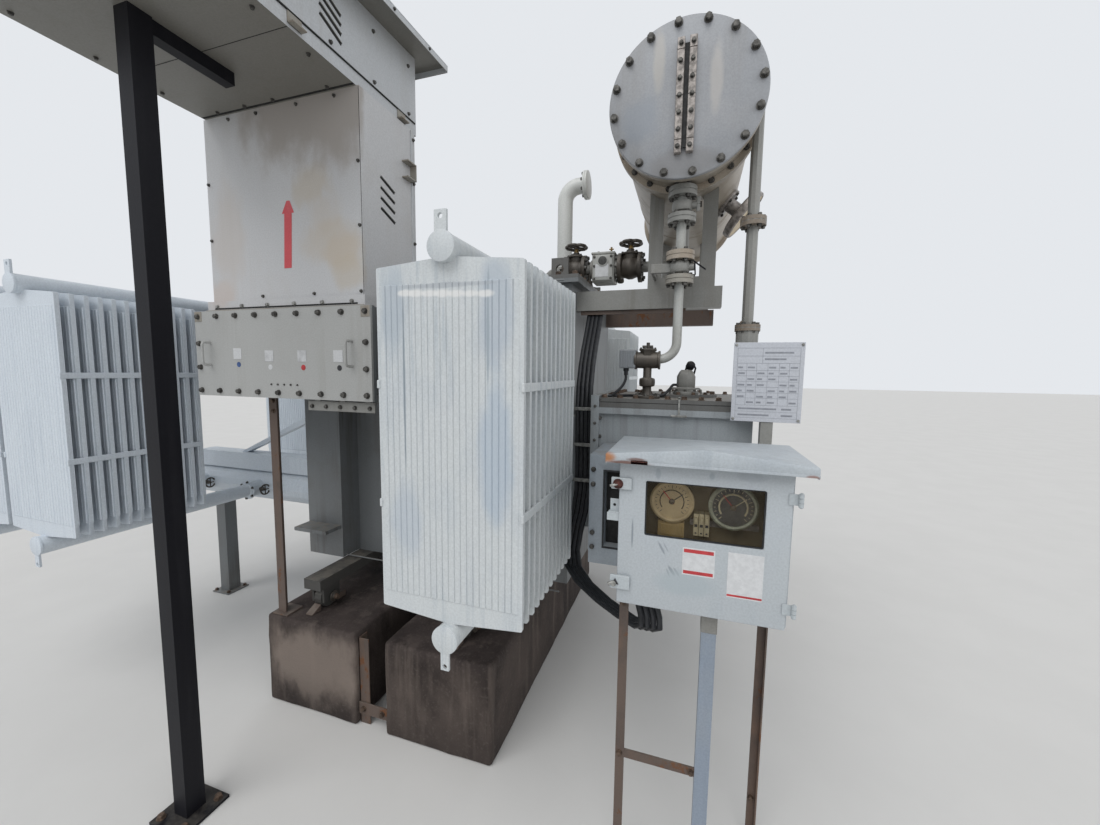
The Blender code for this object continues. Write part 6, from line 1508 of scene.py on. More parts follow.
# Tap changer lid, neck flange and tank cover
def dress_lids():
    low, high = corners("tap_changer_lid")
    plate = high.z - 0.015
    edge = rim_places(low, high, plate, (10, 10), 0.018)
    bolts("tap_lid_bolts", edge, UP, 0.020, "rusted_bolt")
    middle = Vector(((low.x + high.x) / 2 - 0.013, (low.y + high.y) / 2, high.z))
    bolts("tap_hatch_bolts", circle_places(middle, UP, 0.182, 16, 0.1), UP, 0.016, "rusted_bolt")
    gasket = block("tap_lid_gasket", shift(low, 0.004, 0.003, -0.001),
                   (high.x - 0.003, high.y - 0.003, low.z + 0.004))
    finish_piece(gasket, "gap")
    seam = block("tap_lid_joint", shift(low, 0.002, -0.0004, 0.024),
                 (high.x + 0.0004, high.y + 0.0004, low.z + 0.027))
    finish_piece(seam, "gap")
    clip = [block("clip", shift(low, 0.348, -0.006, -0.028), (low.x + 0.356, low.y + 0.002, plate + 0.012),
                  0.001), block("clip", (low.x + 0.348, low.y - 0.006, plate + 0.002),
                                (low.x + 0.356, low.y + 0.030, plate + 0.010), 0.001),
            block("clip", shift(low, 0.318, -0.006, -0.032), shift(low, 0.386, 0.000, -0.022), 0.002)]
    finish_joined("tap_lid_clip", clip, "pale_bolt")
    tap_low, tap_high = corners("tap_changer_tank")
    flange_right = low.x - 0.003
    column = row_places((flange_right, tap_low.y + 0.013, tap_low.z + 0.04),
                        (flange_right, tap_low.y + 0.013, tap_high.z - 0.02), 9)
    bolts("neck_flange_bolts", column, RIGHT, 0.014)
    face = row_places((flange_right - 0.018, tap_low.y, tap_low.z + 0.06),
                      (flange_right - 0.018, tap_low.y, tap_high.z - 0.05), 9)
    bolts("neck_flange_studs", face, FRONT, 0.010)
    cover_low, cover_high = corners("tank_cover")
    top = cover_high.z - 0.110
    bolts("tank_cover_bolts", rim_places(cover_low, cover_high, top, (20, 13), 0.022), UP, 0.024,
          "rusted_bolt")
    cork = block("tank_cover_gasket", shift(cover_low, 0.003, 0.003, -0.002),
                 (cover_high.x - 0.003, cover_high.y - 0.003, cover_low.z + 0.003))
    finish_piece(cork, "gap")


# Leads clipped to the tap changer's lid
def rounded_route(points, steps=6):
    """A smooth line through the points."""
    ends = [points[0] * 2 - points[1], *points, points[-1] * 2 - points[-2]]
    route = []
    for before, start, end, after in zip(ends, ends[1:], ends[2:], ends[3:]):
        for step in range(steps):
            t = step / steps
            first = start * 2 + (end - before) * t
            second = (before * 2 - start * 5 + end * 4 - after) * t ** 2
            third = (start * 3 - before - end * 3 + after) * t ** 3
            route.append((first + second + third) / 2)
    return [*route, points[-1]]


def dress_leads(gland):
    """Black leads from the surge relay and the relief valve, laid on the lid and clipped to it."""
    low, high = corners("tap_changer_lid")
    valve_low, valve_high = corners("relief_valve")
    radius = 0.0065
    rest = high.z - 0.015 + radius + 0.0005
    edge = low.x + 0.012
    down = [Vector((edge - 0.026, -0.372, rest - 0.006)), Vector((edge - 0.044, -0.366, rest - 0.022)),
            Vector((edge - 0.052, -0.360, rest - 0.050))]
    over = [Vector((edge + 0.030, -0.372, rest)), Vector((edge, -0.372, rest))]
    relay = [gland, gland - Vector((0.001, 0, 0.022)), gland - Vector((0.014, 0.004, 0.052)),
             gland - Vector((0.042, 0.008, 0.082)), *over, *down]
    aside = Vector((0, 2.2 * radius, 0))
    start = Vector((valve_low.x + 0.018, (valve_low.y + valve_high.y) / 2 - 0.012, valve_low.z + 0.045))
    relief = [start, start + Vector((-0.016, -0.020, -0.002)), start + Vector((-0.030, -0.060, -0.022)),
              Vector((start.x - 0.062, -0.292, rest + 0.004)), Vector((start.x - 0.120, -0.290, rest)),
              Vector((start.x - 0.200, -0.300, rest)), Vector((start.x - 0.260, -0.340, rest)),
              *[place + aside for place in over], *[place + aside for place in down]]
    for name, route in (("surge_relay_lead", relay), ("relief_valve_lead", relief)):
        finish_piece(bent_bar(name, rounded_route(route), radius, 3), "rubber")
    saddles = []
    for x, y in ((edge + 0.010, -0.372 + aside.y / 2), (start.x - 0.150, -0.292)):
        reach = radius + aside.y / 2
        saddles.append(block("saddle", (x - 0.005, y - reach, rest - radius),
                             (x + 0.005, y + reach, rest + radius + 0.0015), 0.003))
        saddles.append(block("saddle", (x - 0.005, y - reach - 0.012, rest - radius - 0.0005),
                             (x + 0.005, y + reach + 0.012, rest - radius + 0.0015), 0.0006))
    finish_joined("lead_clips", saddles, "pale_bolt")


hand_wheel("valve_wheel_left", 5)
hand_wheel("valve_wheel_right", 5)
dress_oil_pipe()
dress_gas_relay()
dress_vent()
dress_surge_pipe()
relay_gland = dress_surge_relay()
dress_relief_valve()
dress_lids()
dress_leads(relay_gland)


# Marshalling box
def dress_kiosk_door():
    """Door sheet with its window opening, hinges, latch plates, keys and cards, all riding on the door."""
    low, high = corners("kiosk_door")
    pane_low, pane_high = corners("kiosk_window")
    shell_high = corners("kiosk_shell")[1]
    front, back = low.y + 0.018, high.y
    right = shell_high.x - 0.006
    door = block("kiosk_door_sheet", (low.x, front, low.z), (right, back, high.z), 0.0035, 3)
    lip = 0.0087
    opening = block("opening", (pane_low.x + lip, front - 0.02, pane_low.z + lip),
                    (pane_high.x - lip, back + 0.02, pane_high.z - lip), 0.006, 3)
    rebate = block("rebate", shift(pane_low, -0.0003, -0.0003, -0.0003),
                   (pane_high.x + 0.0003, back + 0.02, pane_high.z + 0.0003))
    drill(door, [opening, rebate])
    soften(door, 0.0009, 1, 60)
    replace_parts(finish_piece(smooth(door), "kiosk_door", "kiosk_door"), "kiosk_door")
    seal = block("kiosk_window_seal", (pane_low.x + lip - 0.002, front + 0.0045, pane_low.z + lip - 0.002),
                 (pane_high.x - lip + 0.002, pane_low.y - 0.0004, pane_high.z - lip + 0.002))
    hole = block("hole", (pane_low.x + lip + 0.004, front - 0.02, pane_low.z + lip + 0.004),
                 (pane_high.x - lip - 0.004, back + 0.02, pane_high.z - lip - 0.004), 0.003, 2)
    drill(seal, [hole])
    finish_piece(seal, "rubber", "kiosk_door")
    latches = []
    for plate_low, plate_high in (((low.x - 0.024, 1.412), (low.x + 0.040, 1.450)),
                                  ((low.x - 0.021, 1.085), (low.x + 0.042, 1.131))):
        latches.append(block("latch", (plate_low[0], front - 0.012, plate_low[1]),
                             (plate_high[0], front - 0.002, plate_high[1]), 0.003, 2))
        latches.append(block("latch_foot", (low.x + 0.004, front - 0.003, plate_low[1] + 0.004),
                             (plate_high[0] - 0.004, front + 0.001, plate_high[1] - 0.004)))
    finish_joined("kiosk_latch_plates", latches, "kiosk", "kiosk_door")
    key = turned("kiosk_key_upper", [(0.016, 0), (0.016, 0.004), (0.010, 0.007), (0.009, 0.012)],
                 (low.x - 0.002, front - 0.012, 1.430), FRONT, 20, 0.0008)
    finish_piece(key, "red_brown", "kiosk_door")
    keys = [round_bar("bow", (low.x - 0.002, front - 0.020, 1.430), (low.x - 0.026, front - 0.022, 1.424),
                      0.0045, 10, 0.001),
            round_bar("bow", (low.x - 0.010, front - 0.015, 1.108), (low.x - 0.026, front - 0.019, 1.101),
                      0.0055, 10, 0.001),
            round_bar("bow", (low.x - 0.008, front - 0.013, 1.104), (low.x - 0.008, front - 0.020, 1.104),
                      0.009, 14, 0.001)]
    finish_joined("kiosk_key_bows", keys, "pale_bolt", "kiosk_door")
    slot_place = (low.x - 0.003, front - 0.012, 1.108)
    finish_piece(turned("kiosk_key_lower", [(0.013, 0), (0.013, 0.003), (0.005, 0.006)], slot_place, FRONT,
                        3, 0.0006), "ink", "kiosk_door")
    hinges = []
    hinge = Vector((high.x - 0.008, front - 0.008, 0))
    for middle in (1.1012, 1.4276):
        for count in range(3):
            start = middle - 0.0195 + 0.0132 * count
            hinges.append(round_bar("knuckle", (hinge.x, hinge.y, start), (hinge.x, hinge.y, start + 0.0122),
                                    0.0068, 18, 0.0008))
        hinges.append(round_bar("pin", (hinge.x, hinge.y, middle - 0.022),
                                (hinge.x, hinge.y, middle + 0.022), 0.0040, 10, 0.0008))
        hinges.append(block("leaf", (right - 0.012, front - 0.0030, middle - 0.0165),
                            (hinge.x, front - 0.0002, middle + 0.0165), 0.001))
    finish_joined("kiosk_door_hinges", hinges, "kiosk", "kiosk_door")
    card_one = ((1.671, 1.161), (1.765, 1.248))
    card_two = ((1.801, 1.111), (1.899, 1.250))
    cards = []
    bands = []
    for card_low, card_high in (card_one, card_two):
        cards.append(block("card", (card_low[0], front - 0.0007, card_low[1]),
                           (card_high[0], front + 0.0002, card_high[1]), 0.0003, 1))
    height = card_one[1][1] - card_one[0][1]
    for share_low, share_high in ((0.05, 0.17), (0.82, 0.95)):
        bands.append(block("band",
                           (card_one[0][0] + 0.004, front - 0.0010, card_one[0][1] + height * share_low),
                           (card_one[1][0] - 0.004, front - 0.0004, card_one[0][1] + height * share_high),
                           0.0002, 1))
    bands.append(block("band", (card_two[0][0] + 0.001, front - 0.0010, card_two[0][1] + 0.004),
                       (card_two[1][0] - 0.001, front - 0.0004, card_two[0][1] + 0.010)))
    finish_joined("kiosk_door_cards", cards, "label", "kiosk_door")
    finish_joined("kiosk_door_card_bands", bands, "red", "kiosk_door")


def dress_kiosk_shell():
    """Fixed side of the marshalling box: hasp, floor glands and a near-black strip under the roof that is
    painted shade.
    """
    low, high = corners("kiosk_shell")
    hasp = block("hasp", (low.x - 0.036, low.y - 0.002, 1.332), (low.x + 0.004, low.y + 0.002, 1.372), 0.0008)
    hole = round_bar("hole", (low.x - 0.022, low.y - 0.02, 1.352), (low.x - 0.022, low.y + 0.02, 1.352),
                     0.005, 16)
    drill(hasp, [hole])
    flap = block("flap", (low.x - 0.044, low.y - 0.016, 1.304), (low.x + 0.002, low.y - 0.012, 1.330), 0.0008)
    web = block("flap", (low.x - 0.040, low.y - 0.016, 1.328), (low.x + 0.002, low.y + 0.002, 1.333), 0.0008)
    finish_joined("kiosk_hasp", [hasp, flap, web], "kiosk")
    glands = []
    for x in (low.x + 0.085, low.x + 0.130, low.x + 0.185):
        steps = [(0.017, 0.0), (0.017, 0.010), (0.012, 0.012), (0.012, 0.030), (0.009, 0.034)]
        glands.append(turned("gland", steps, (x, low.y + 0.10, low.z), DOWN, 16, 0.0008))
    finish_joined("kiosk_floor_glands", glands, "grey_sheath")
    bolts("kiosk_floor_screws", rim_places(low, high, low.z, (4, 3), 0.03), DOWN, 0.012)
    door_low, door_high = corners("kiosk_door")
    # near-black strip between the door's top and the roof: painted shade under the roof's edge
    seam = block("kiosk_roof_shade_strip", (low.x + 0.002, door_low.y + 0.020, door_high.z + 0.0005),
                 (high.x - 0.002, low.y + 0.004, high.z - 0.0005))
    finish_piece(seam, "gap")


def dress_gauges():
    """Two dial gauges, a terminal block and a relay on the panel behind the pane."""
    plane = corners("gauge_panel")[0].y
    # side, place, radius, width of the arc, then the coats of rim, face, ticks, arc and both needles
    gauges = (
        ("left", 1.631, 0.068, 0.0018, "dial", "dial", "ink", "brown_ink", "ink", "red"),
        ("right", 1.817, 0.072, 0.003, "bezel", "dark_dial", "cream", "cream", "cream", "red"),
    )
    for name, x, radius, arc_width, rim_coat, face_coat, tick_coat, arc_coat, *needle_coats in gauges:
        centre = Vector((x, plane + 0.001, 1.360))
        rim = [(radius + 0.002, 0.0), (radius + 0.002, 0.006), (radius - 0.004, 0.009),
               (radius - 0.010, 0.007), (radius - 0.011, 0.003)]
        finish_piece(turned("gauge_rim_" + name, rim, centre, FRONT, 56), rim_coat)
        face = stepped_round("gauge_face_" + name, [(radius - 0.010, 0.0), (radius - 0.010, 0.0042)], 48)
        finish_piece(stand(face, centre, FRONT), face_coat)
        ticks = []
        for step in range(21):
            angle = math.radians(225 - 13.5 * step)
            reach = radius - 0.014
            inner = reach - (0.011 if step % 5 == 0 else 0.006)
            ways = Vector((math.cos(angle), 0, math.sin(angle)))
            tick = block("tick", (-0.0008, -0.0004, inner), (0.0008, 0.0004, reach))
            tick.data.transform(Matrix.Translation(centre
                                                   + Vector((0, -0.0045,
                                                             0))) @ Matrix.Rotation(
                                                                 math.pi / 2 - angle, 4, "Y"))
            ticks.append(tick)
        finish_joined("gauge_ticks_" + name, ticks, tick_coat)
        ring_places = []
        for step in range(15):
            angle = math.radians(215 - 17.8 * step)
            ring_places.append(centre
                               + Vector((math.cos(angle) * (radius - 0.030), -0.0048,
                                         math.sin(angle) * (radius - 0.030))))
        finish_piece(bent_bar("gauge_arc_" + name, ring_places, arc_width, 2), arc_coat)
        for count, angle in enumerate((0.9, -0.7)):
            needle = block("needle", (-0.0014, -0.0005, -0.010), (0.0014, 0.0005, radius - 0.024), 0.0003, 1)
            needle.data.transform(Matrix.Translation(centre
                                                     + Vector((0, -0.0062 - 0.0008 * count,
                                                               0))) @ Matrix.Rotation(angle, 4, "Y"))
            needle.name = f"gauge_needle_{name}_{count}"
            finish_piece(needle, needle_coats[count])
        hub = turned("gauge_hub_" + name, [(0.009, 0.004), (0.009, 0.008), (0.006, 0.010)], centre, FRONT, 20)
        finish_piece(hub, "brown_ink")
    back = plane + 0.045
    plates = [block("case", (1.588, back - 0.040, 1.236), (1.673, back + 0.001, 1.2905), 0.003),
              block("case", (1.596, back - 0.043, 1.244), (1.665, back - 0.038, 1.283), 0.002)]
    finish_joined("panel_relay", plates, "ochre")
    ways = []
    slots = []
    for count in range(3):
        x = 1.701 + 0.0168 * count
        ways.append(block("way", (x, back - 0.034, 1.249), (x + 0.0155, back + 0.001, 1.323), 0.0015))
        ways.append(block("toggle", (x + 0.004, back - 0.042, 1.296), (x + 0.0115, back - 0.032, 1.312),
                          0.001))
        slots.append(block("slot", (x + 0.003, back - 0.0346, 1.279), (x + 0.0125, back - 0.032, 1.288)))
        slots.append(block("slot", (x + 0.005, back - 0.0346, 1.256), (x + 0.0105, back - 0.032, 1.261)))
    finish_joined("panel_terminal_block", ways, "cream")
    finish_joined("panel_terminal_slots", slots, "ink")
    rail = block("panel_rail", (1.690, back - 0.008, 1.276), (1.900, back + 0.001, 1.296), 0.001)
    finish_piece(rail, "gauge_metal")


def dress_kiosk_roof():
    """Folded sheet roof: low gable, hem along the eaves and a corroded front corner."""
    low, high = corners("kiosk_roof")
    eave = low.z + 0.022
    roof = block("kiosk_roof_sheet", low, (high.x, high.y, eave))
    middle = (low.x + high.x) / 2
    open_edit()
    cut_across((middle, 0, 0), RIGHT)
    select_edges(roof, lambda edge: all(abs(vert.co.x - middle) < 0.001 and vert.co.z > eave - 0.001
                                        for vert in edge.verts))
    bpy.ops.transform.translate(value=(0, 0, high.z - eave))
    select_everything()
    bevel_edges(0.004, 2)
    close_edit()
    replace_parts(finish_piece(smooth(roof, 25), "roof"), "kiosk_roof")
    hems = []
    for x in (low.x, high.x - 0.004):
        hems.append(block("hem", (x, low.y + 0.002, low.z - 0.010),
                          (x + 0.004, high.y - 0.002, low.z + 0.002), 0.001, 1))
    hems.append(block("hem", shift(low, 0, 0, -0.006), (high.x, low.y + 0.003, low.z + 0.002), 0.001, 1))
    finish_joined("kiosk_roof_hems", hems, "roof")
    flakes = block("kiosk_roof_corroded_hem", shift(low, 0.078, -0.0002, -0.0058),
                   shift(low, 0.128, 0.0028, 0.006), 0.0005, 1)
    open_edit()
    select_everything()
    bpy.ops.mesh.subdivide(number_cuts=5, fractal=0.35, seed=4)
    close_edit()
    for vert in flakes.data.vertices:
        vert.co.y = max(low.y, min(low.y + 0.0035, vert.co.y))
        vert.co.z = max(low.z - 0.0058, vert.co.z)
    finish_piece(flakes, "red_brown")


def dress_kiosk_stand():
    low, high = corners("kiosk_post")
    cap = block("kiosk_post_sleeve", (low.x - 0.002, low.y - 0.002, high.z - 0.075),
                shift(high, 0.002, 0.002, -0.0004), 0.003, 2)
    finish_piece(cap, "pipe")
    leg_low = corners("kiosk_front_leg")[0]
    places = [Vector((leg_low.x + 0.014, leg_low.y, 0.47)),
              Vector((low.x - 0.012, leg_low.y + 0.0015, 0.47)),
              Vector((leg_low.x + 0.014, leg_low.y, high.z - 0.02))]
    bolts("kiosk_leg_bolts", places, FRONT, 0.015, "rusted_bolt")
    back_low, back_high = corners("kiosk_back_leg")
    bolts("kiosk_back_leg_bolts",
          [(back_low.x + 0.012, back_high.y - 0.005, z) for z in (0.20, high.z - 0.025)], FRONT, 0.015,
          "rusted_bolt")


# Drive cabinet beside the tap changer, behind the marshalling box
def dress_drive_cabinet():
    low, high = corners("drive_cabinet")
    front = low.y
    case_back = high.y - 0.006
    case = block("drive_case", low, (high.x, case_back, high.z))
    open_edit()
    select_edges(case, lambda edge: abs(edge.verts[0].co.y - edge.verts[1].co.y) > 0.1
                 and edge.verts[0].co.z > high.z - 0.01)
    bevel_edges(0.022, 5)
    close_edit()
    opening = block("opening", (low.x + 0.062, front - 0.02, low.z + 0.075),
                    (high.x - 0.055, front + 0.06, high.z - 0.065), 0.006)
    drill(case, [opening])
    soften(case, 0.0025, 2, 50)
    pad = block("pad", (low.x + 0.1125, case_back - 0.004, low.z + 0.1125), shift(high, -0.1125, 0, -0.1125),
                0.001)
    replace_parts(finish_piece(smooth(join("drive_cabinet_case", [case, pad]), 30), "drive"), "drive_cabinet")
    # near-black sheet behind the opening: painted shade inside the cabinet
    dark = block("drive_cabinet_inside_shade", (low.x + 0.063, front + 0.050, low.z + 0.076),
                 (high.x - 0.056, front + 0.058, high.z - 0.066))
    finish_piece(dark, "gap")
    rim = block("drive_cabinet_rim", (low.x + 0.056, front - 0.003, low.z + 0.069),
                (high.x - 0.049, front + 0.002, high.z - 0.059), 0.001)
    hole = block("hole", (low.x + 0.0625, front - 0.02, low.z + 0.0755),
                 (high.x - 0.0555, front + 0.02, high.z - 0.0655))
    drill(rim, [hole])
    finish_piece(rim, "rubber")
    knobs = [turned("knob", [(0.010, 0), (0.010, 0.008), (0.007, 0.012)], (low.x + 0.016, front, z), FRONT,
                    12, 0.001) for z in (low.z + 0.07, low.z + 0.13, high.z - 0.12, high.z - 0.06)]
    finish_joined("drive_cabinet_catches", knobs, "bolt")


# Rating plate, breathers and the cable clips
def dress_rating_plate():
    """Bare plate: rows and columns of plain lines, plain blocks for the filled cells, corner screws."""
    low, high = corners("rating_plate")
    width, height = high.x - low.x, high.z - low.z
    front = low.y
    sheet_metal = block("rating_plate_sheet", low, high, 0.0012, 2)
    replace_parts(finish_piece(sheet_metal, "plate"), "rating_plate")
    lines = []

    def line(x0, z0, x1, z1):
        start = (low.x + width * x0 - 0.0005, front - 0.0005, low.z + height * z0 - 0.0005)
        end = (low.x + width * x1 + 0.0005, front + 0.0003, low.z + height * z1 + 0.0005)
        lines.append(block("line", start, end))

    for z in (0.05, 0.13, 0.21, 0.30, 0.37, 0.44, 0.51, 0.58, 0.65, 0.74, 0.83, 0.93):
        line(0.06, z, 0.94, z)
    for x in (0.06, 0.94):
        line(x, 0.05, x, 0.93)
    for x in (0.20, 0.34, 0.50, 0.66, 0.80):
        line(x, 0.21, x, 0.74)
    line(0.42, 0.74, 0.42, 0.93)
    finish_joined("rating_plate_lines", lines, "faint_ink")
    cells = []

    def cell(x, z, reach):
        start = (low.x + width * x, front - 0.0004, low.z + height * z)
        end = (low.x + width * (x + reach), front + 0.0003, low.z + height * (z + 0.022))
        cells.append(block("cell", start, end))

    for row in range(7):
        for column in range(6):
            if (row * 5 + column * 3) % 4:
                x = (0.075, 0.215, 0.355, 0.515, 0.675, 0.815)[column]
                cell(x, 0.235 + 0.0735 * row, 0.07 + 0.03 * ((row + column) % 2))
    for x, z, reach in ((0.45, 0.86, 0.40), (0.45, 0.78, 0.30), (0.10, 0.155, 0.55), (0.10, 0.075, 0.45),
                        (0.72, 0.155, 0.14), (0.72, 0.075, 0.16)):
        cell(x, z, reach)
    finish_joined("rating_plate_cells", cells, "faint_ink")
    screws = [(low.x + width * x, front, low.z + height * z) for x in (0.035, 0.965) for z in (0.03, 0.97)]
    bolts("rating_plate_screws", screws, FRONT, 0.008, "pale_bolt")


def dress_breathers():
    low, high = corners("breather_pipe")
    y = (low.y + high.y) / 2
    x = high.x - 0.050
    bolted_flange("breather_flange", (x, y, 2.400), UP, 0.050, 0.034, 6, 0.014, "pipe_brown")
    bolted_flange("breather_head", (x, y, 1.970), UP, 0.050, 0.026, 6, 0.014, "pipe_brown")
    small_low, small_high = corners("breather_pipe_small")
    centre = Vector((small_high.x - 0.014, (small_low.y + small_high.y) / 2, 2.0))
    nut = turned("breather_union", [(0.020, -0.012), (0.024, -0.008), (0.024, 0.008), (0.020, 0.012)],
                 centre, UP, 6, 0.001)
    finish_piece(nut, "pipe_brown")
    bars = []
    for height in (2.62, 2.25):
        bars.append(round_bar("tie", (x, y, height), (centre.x, centre.y, height), 0.005, 10))
    finish_joined("breather_ties", bars, "pipe_brown")


def dress_cables():
    """Clips that hold the control cables to the tap changer's flange."""
    low = corners("cable_bundle")[0]
    clips = []
    for z in (1.250, 1.425, 1.600):
        clips.append(block("clip", (low.x + 0.022, -0.3865, z - 0.008), (1.248, -0.3740, z + 0.008), 0.002))
        clips.append(round_bar("clip", (1.242, -0.3925, z), (1.242, -0.3700, z), 0.005, 10, 0.0008))
    finish_joined("cable_clips", clips, "pale_bolt")


dress_kiosk_door()
dress_kiosk_shell()
dress_gauges()
dress_kiosk_roof()
dress_kiosk_stand()
dress_drive_cabinet()
dress_rating_plate()
dress_breathers()
dress_cables()


# Plinths: cast blocks with worn edges
def dress_plinth(node, seed):
    low, high = corners(node)
    cast = block(node + "_block", low, high, 0.016, 3)
    open_edit()
    for way, cuts in ((BACK, 24), (RIGHT, 8), (UP, 8)):
        for step in range(1, cuts):
            cut_across(low.lerp(high, step / cuts), way)
    close_edit()
    for vert in cast.data.vertices:
        place = vert.co * 7 + Vector((seed, 0, 0))
        dent = 0.0035 * (mathutils_noise.noise(place) + 0.6 * mathutils_noise.noise(place * 3.1))
        for axis in (0, 1):
            if vert.co[axis] < low[axis] + 0.018:
                vert.co[axis] = max(low[axis], vert.co[axis] + dent + 0.002)
            elif vert.co[axis] > high[axis] - 0.018:
                vert.co[axis] = min(high[axis], vert.co[axis] - dent - 0.002)
    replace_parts(finish_piece(smooth(cast, 40), "concrete"), node)


def dress_between_plinths():
    """Steel angle and flat strip bedded between the two plinths."""
    left_low, left_high = corners("plinth_left")
    right_low = corners("plinth_right")[0]
    gap = (left_high.x, right_low.x)
    parts = [block("angle", (gap[0] + 0.001, left_low.y + 0.03, 0.0),
                   (gap[0] + 0.007, left_low.y + 0.085, left_high.z - 0.03), 0.001),
             block("angle", (gap[0] + 0.001, left_low.y + 0.03, 0.0),
                   (gap[0] + 0.060, left_low.y + 0.036, left_high.z - 0.03), 0.001),
             block("strip", (gap[0] + 0.001, left_low.y + 0.022, 0.055),
                   (gap[1] - 0.001, left_low.y + 0.029, 0.115), 0.001)]
    finish_joined("plinth_tie_angle", parts, "rusty")
    bolts("plinth_tie_bolts", [(x, left_low.y + 0.022, 0.085) for x in (gap[0] + 0.03, gap[1] - 0.03)],
          FRONT, 0.02, "rusted_bolt")


# Undercarriage: axle ends, their nuts and the roller wedges
def dress_undercarriage():
    for side in ("left", "right"):
        low, high = corners("skid_" + side)
        middle = (low.x + high.x) / 2
        parts = []
        bolt_places = []
        bolt_ways = []
        wedges = []
        for y in (low.y + 0.09, high.y - 0.09):
            axle = Vector((middle, y, low.z + 0.0597))
            for hand in (-1, 1):
                face = middle + hand * 0.055
                ring = [(0.030, 0.0), (0.030, 0.006), (0.020, 0.008), (0.017, 0.012)]
                parts.append(turned("axle_end", ring, (face, y, axle.z), (hand, 0, 0), 24, 0.001))
                bolt_places.append(Vector((face + hand * 0.012, y, axle.z)))
                bolt_ways.append((hand, 0, 0))
            for hand in (-1, 1):
                wedge = block("wedge", (middle - 0.022, y - 0.030, low.z),
                              (middle + 0.022, y + 0.030, low.z + 0.034))
                open_edit()
                select_edges(wedge, lambda edge, y=y,
                             hand=hand: all(vert.co.z > low.z + 0.03 and (vert.co.y - y) * hand > 0
                                            for vert in edge.verts))
                bpy.ops.transform.translate(value=(0, 0, -0.028))
                select_everything()
                bevel_edges(0.0015, 1)
                close_edit()
                wedge.data.transform(Matrix.Translation((0, hand * 0.088, 0)))
                wedges.append(wedge)
        finish_joined("axle_ends_" + side, parts, "iron")
        bolts("axle_nuts_" + side, bolt_places, bolt_ways, 0.022, "rusted_bolt")
        finish_joined("roller_wedges_" + side, wedges, "rusty")


def dress_tank():
    """Weld beads along the tank's front wall."""
    low, high = corners("tank")
    beads = []
    for z in (high.z - 0.024, low.z + 0.012):
        beads.append(round_bar("bead", (low.x + 0.05, low.y + 0.142, z), (high.x - 0.05, low.y + 0.142, z),
                               0.004, 8))
    finish_joined("tank_wall_welds", beads, "tank")


# High voltage box: bolted cover, gasket, handles and label plates
def dress_hv_box():
    low, high = corners("hv_box_cover")
    cover_bolts("hv_cover_bolts", low, high, high.y, BACK)
    gasket = block("hv_gasket", shift(low, 0.004, -0.002, 0.004),
                   (high.x - 0.004, low.y + 0.002, high.z - 0.004), 0.0005, 1)
    finish_piece(gasket, "gap")
    grips = []
    for x in (low.x + 0.12, high.x - 0.12):
        z = (low.z + high.z) / 2
        route = [Vector((x, high.y - 0.002, z - 0.055)), Vector((x, high.y + 0.030, z - 0.055)),
                 Vector((x, high.y + 0.038, z - 0.045)), Vector((x, high.y + 0.038, z + 0.045)),
                 Vector((x, high.y + 0.030, z + 0.055)), Vector((x, high.y - 0.002, z + 0.055))]
        grips.append(bent_bar("grip", route, 0.006, 3))
    finish_joined("hv_cover_handles", grips, "cover")
    plates = [block("plate", (low.x + share * (high.x - low.x) - 0.026, high.y - 0.0005, low.z + 0.20),
                    (low.x + share * (high.x - low.x) + 0.026, high.y + 0.0018, low.z + 0.252), 0.0008, 1)
              for share in (0.28, 0.5, 0.72)]
    finish_joined("hv_label_plates", plates, "label_worn")


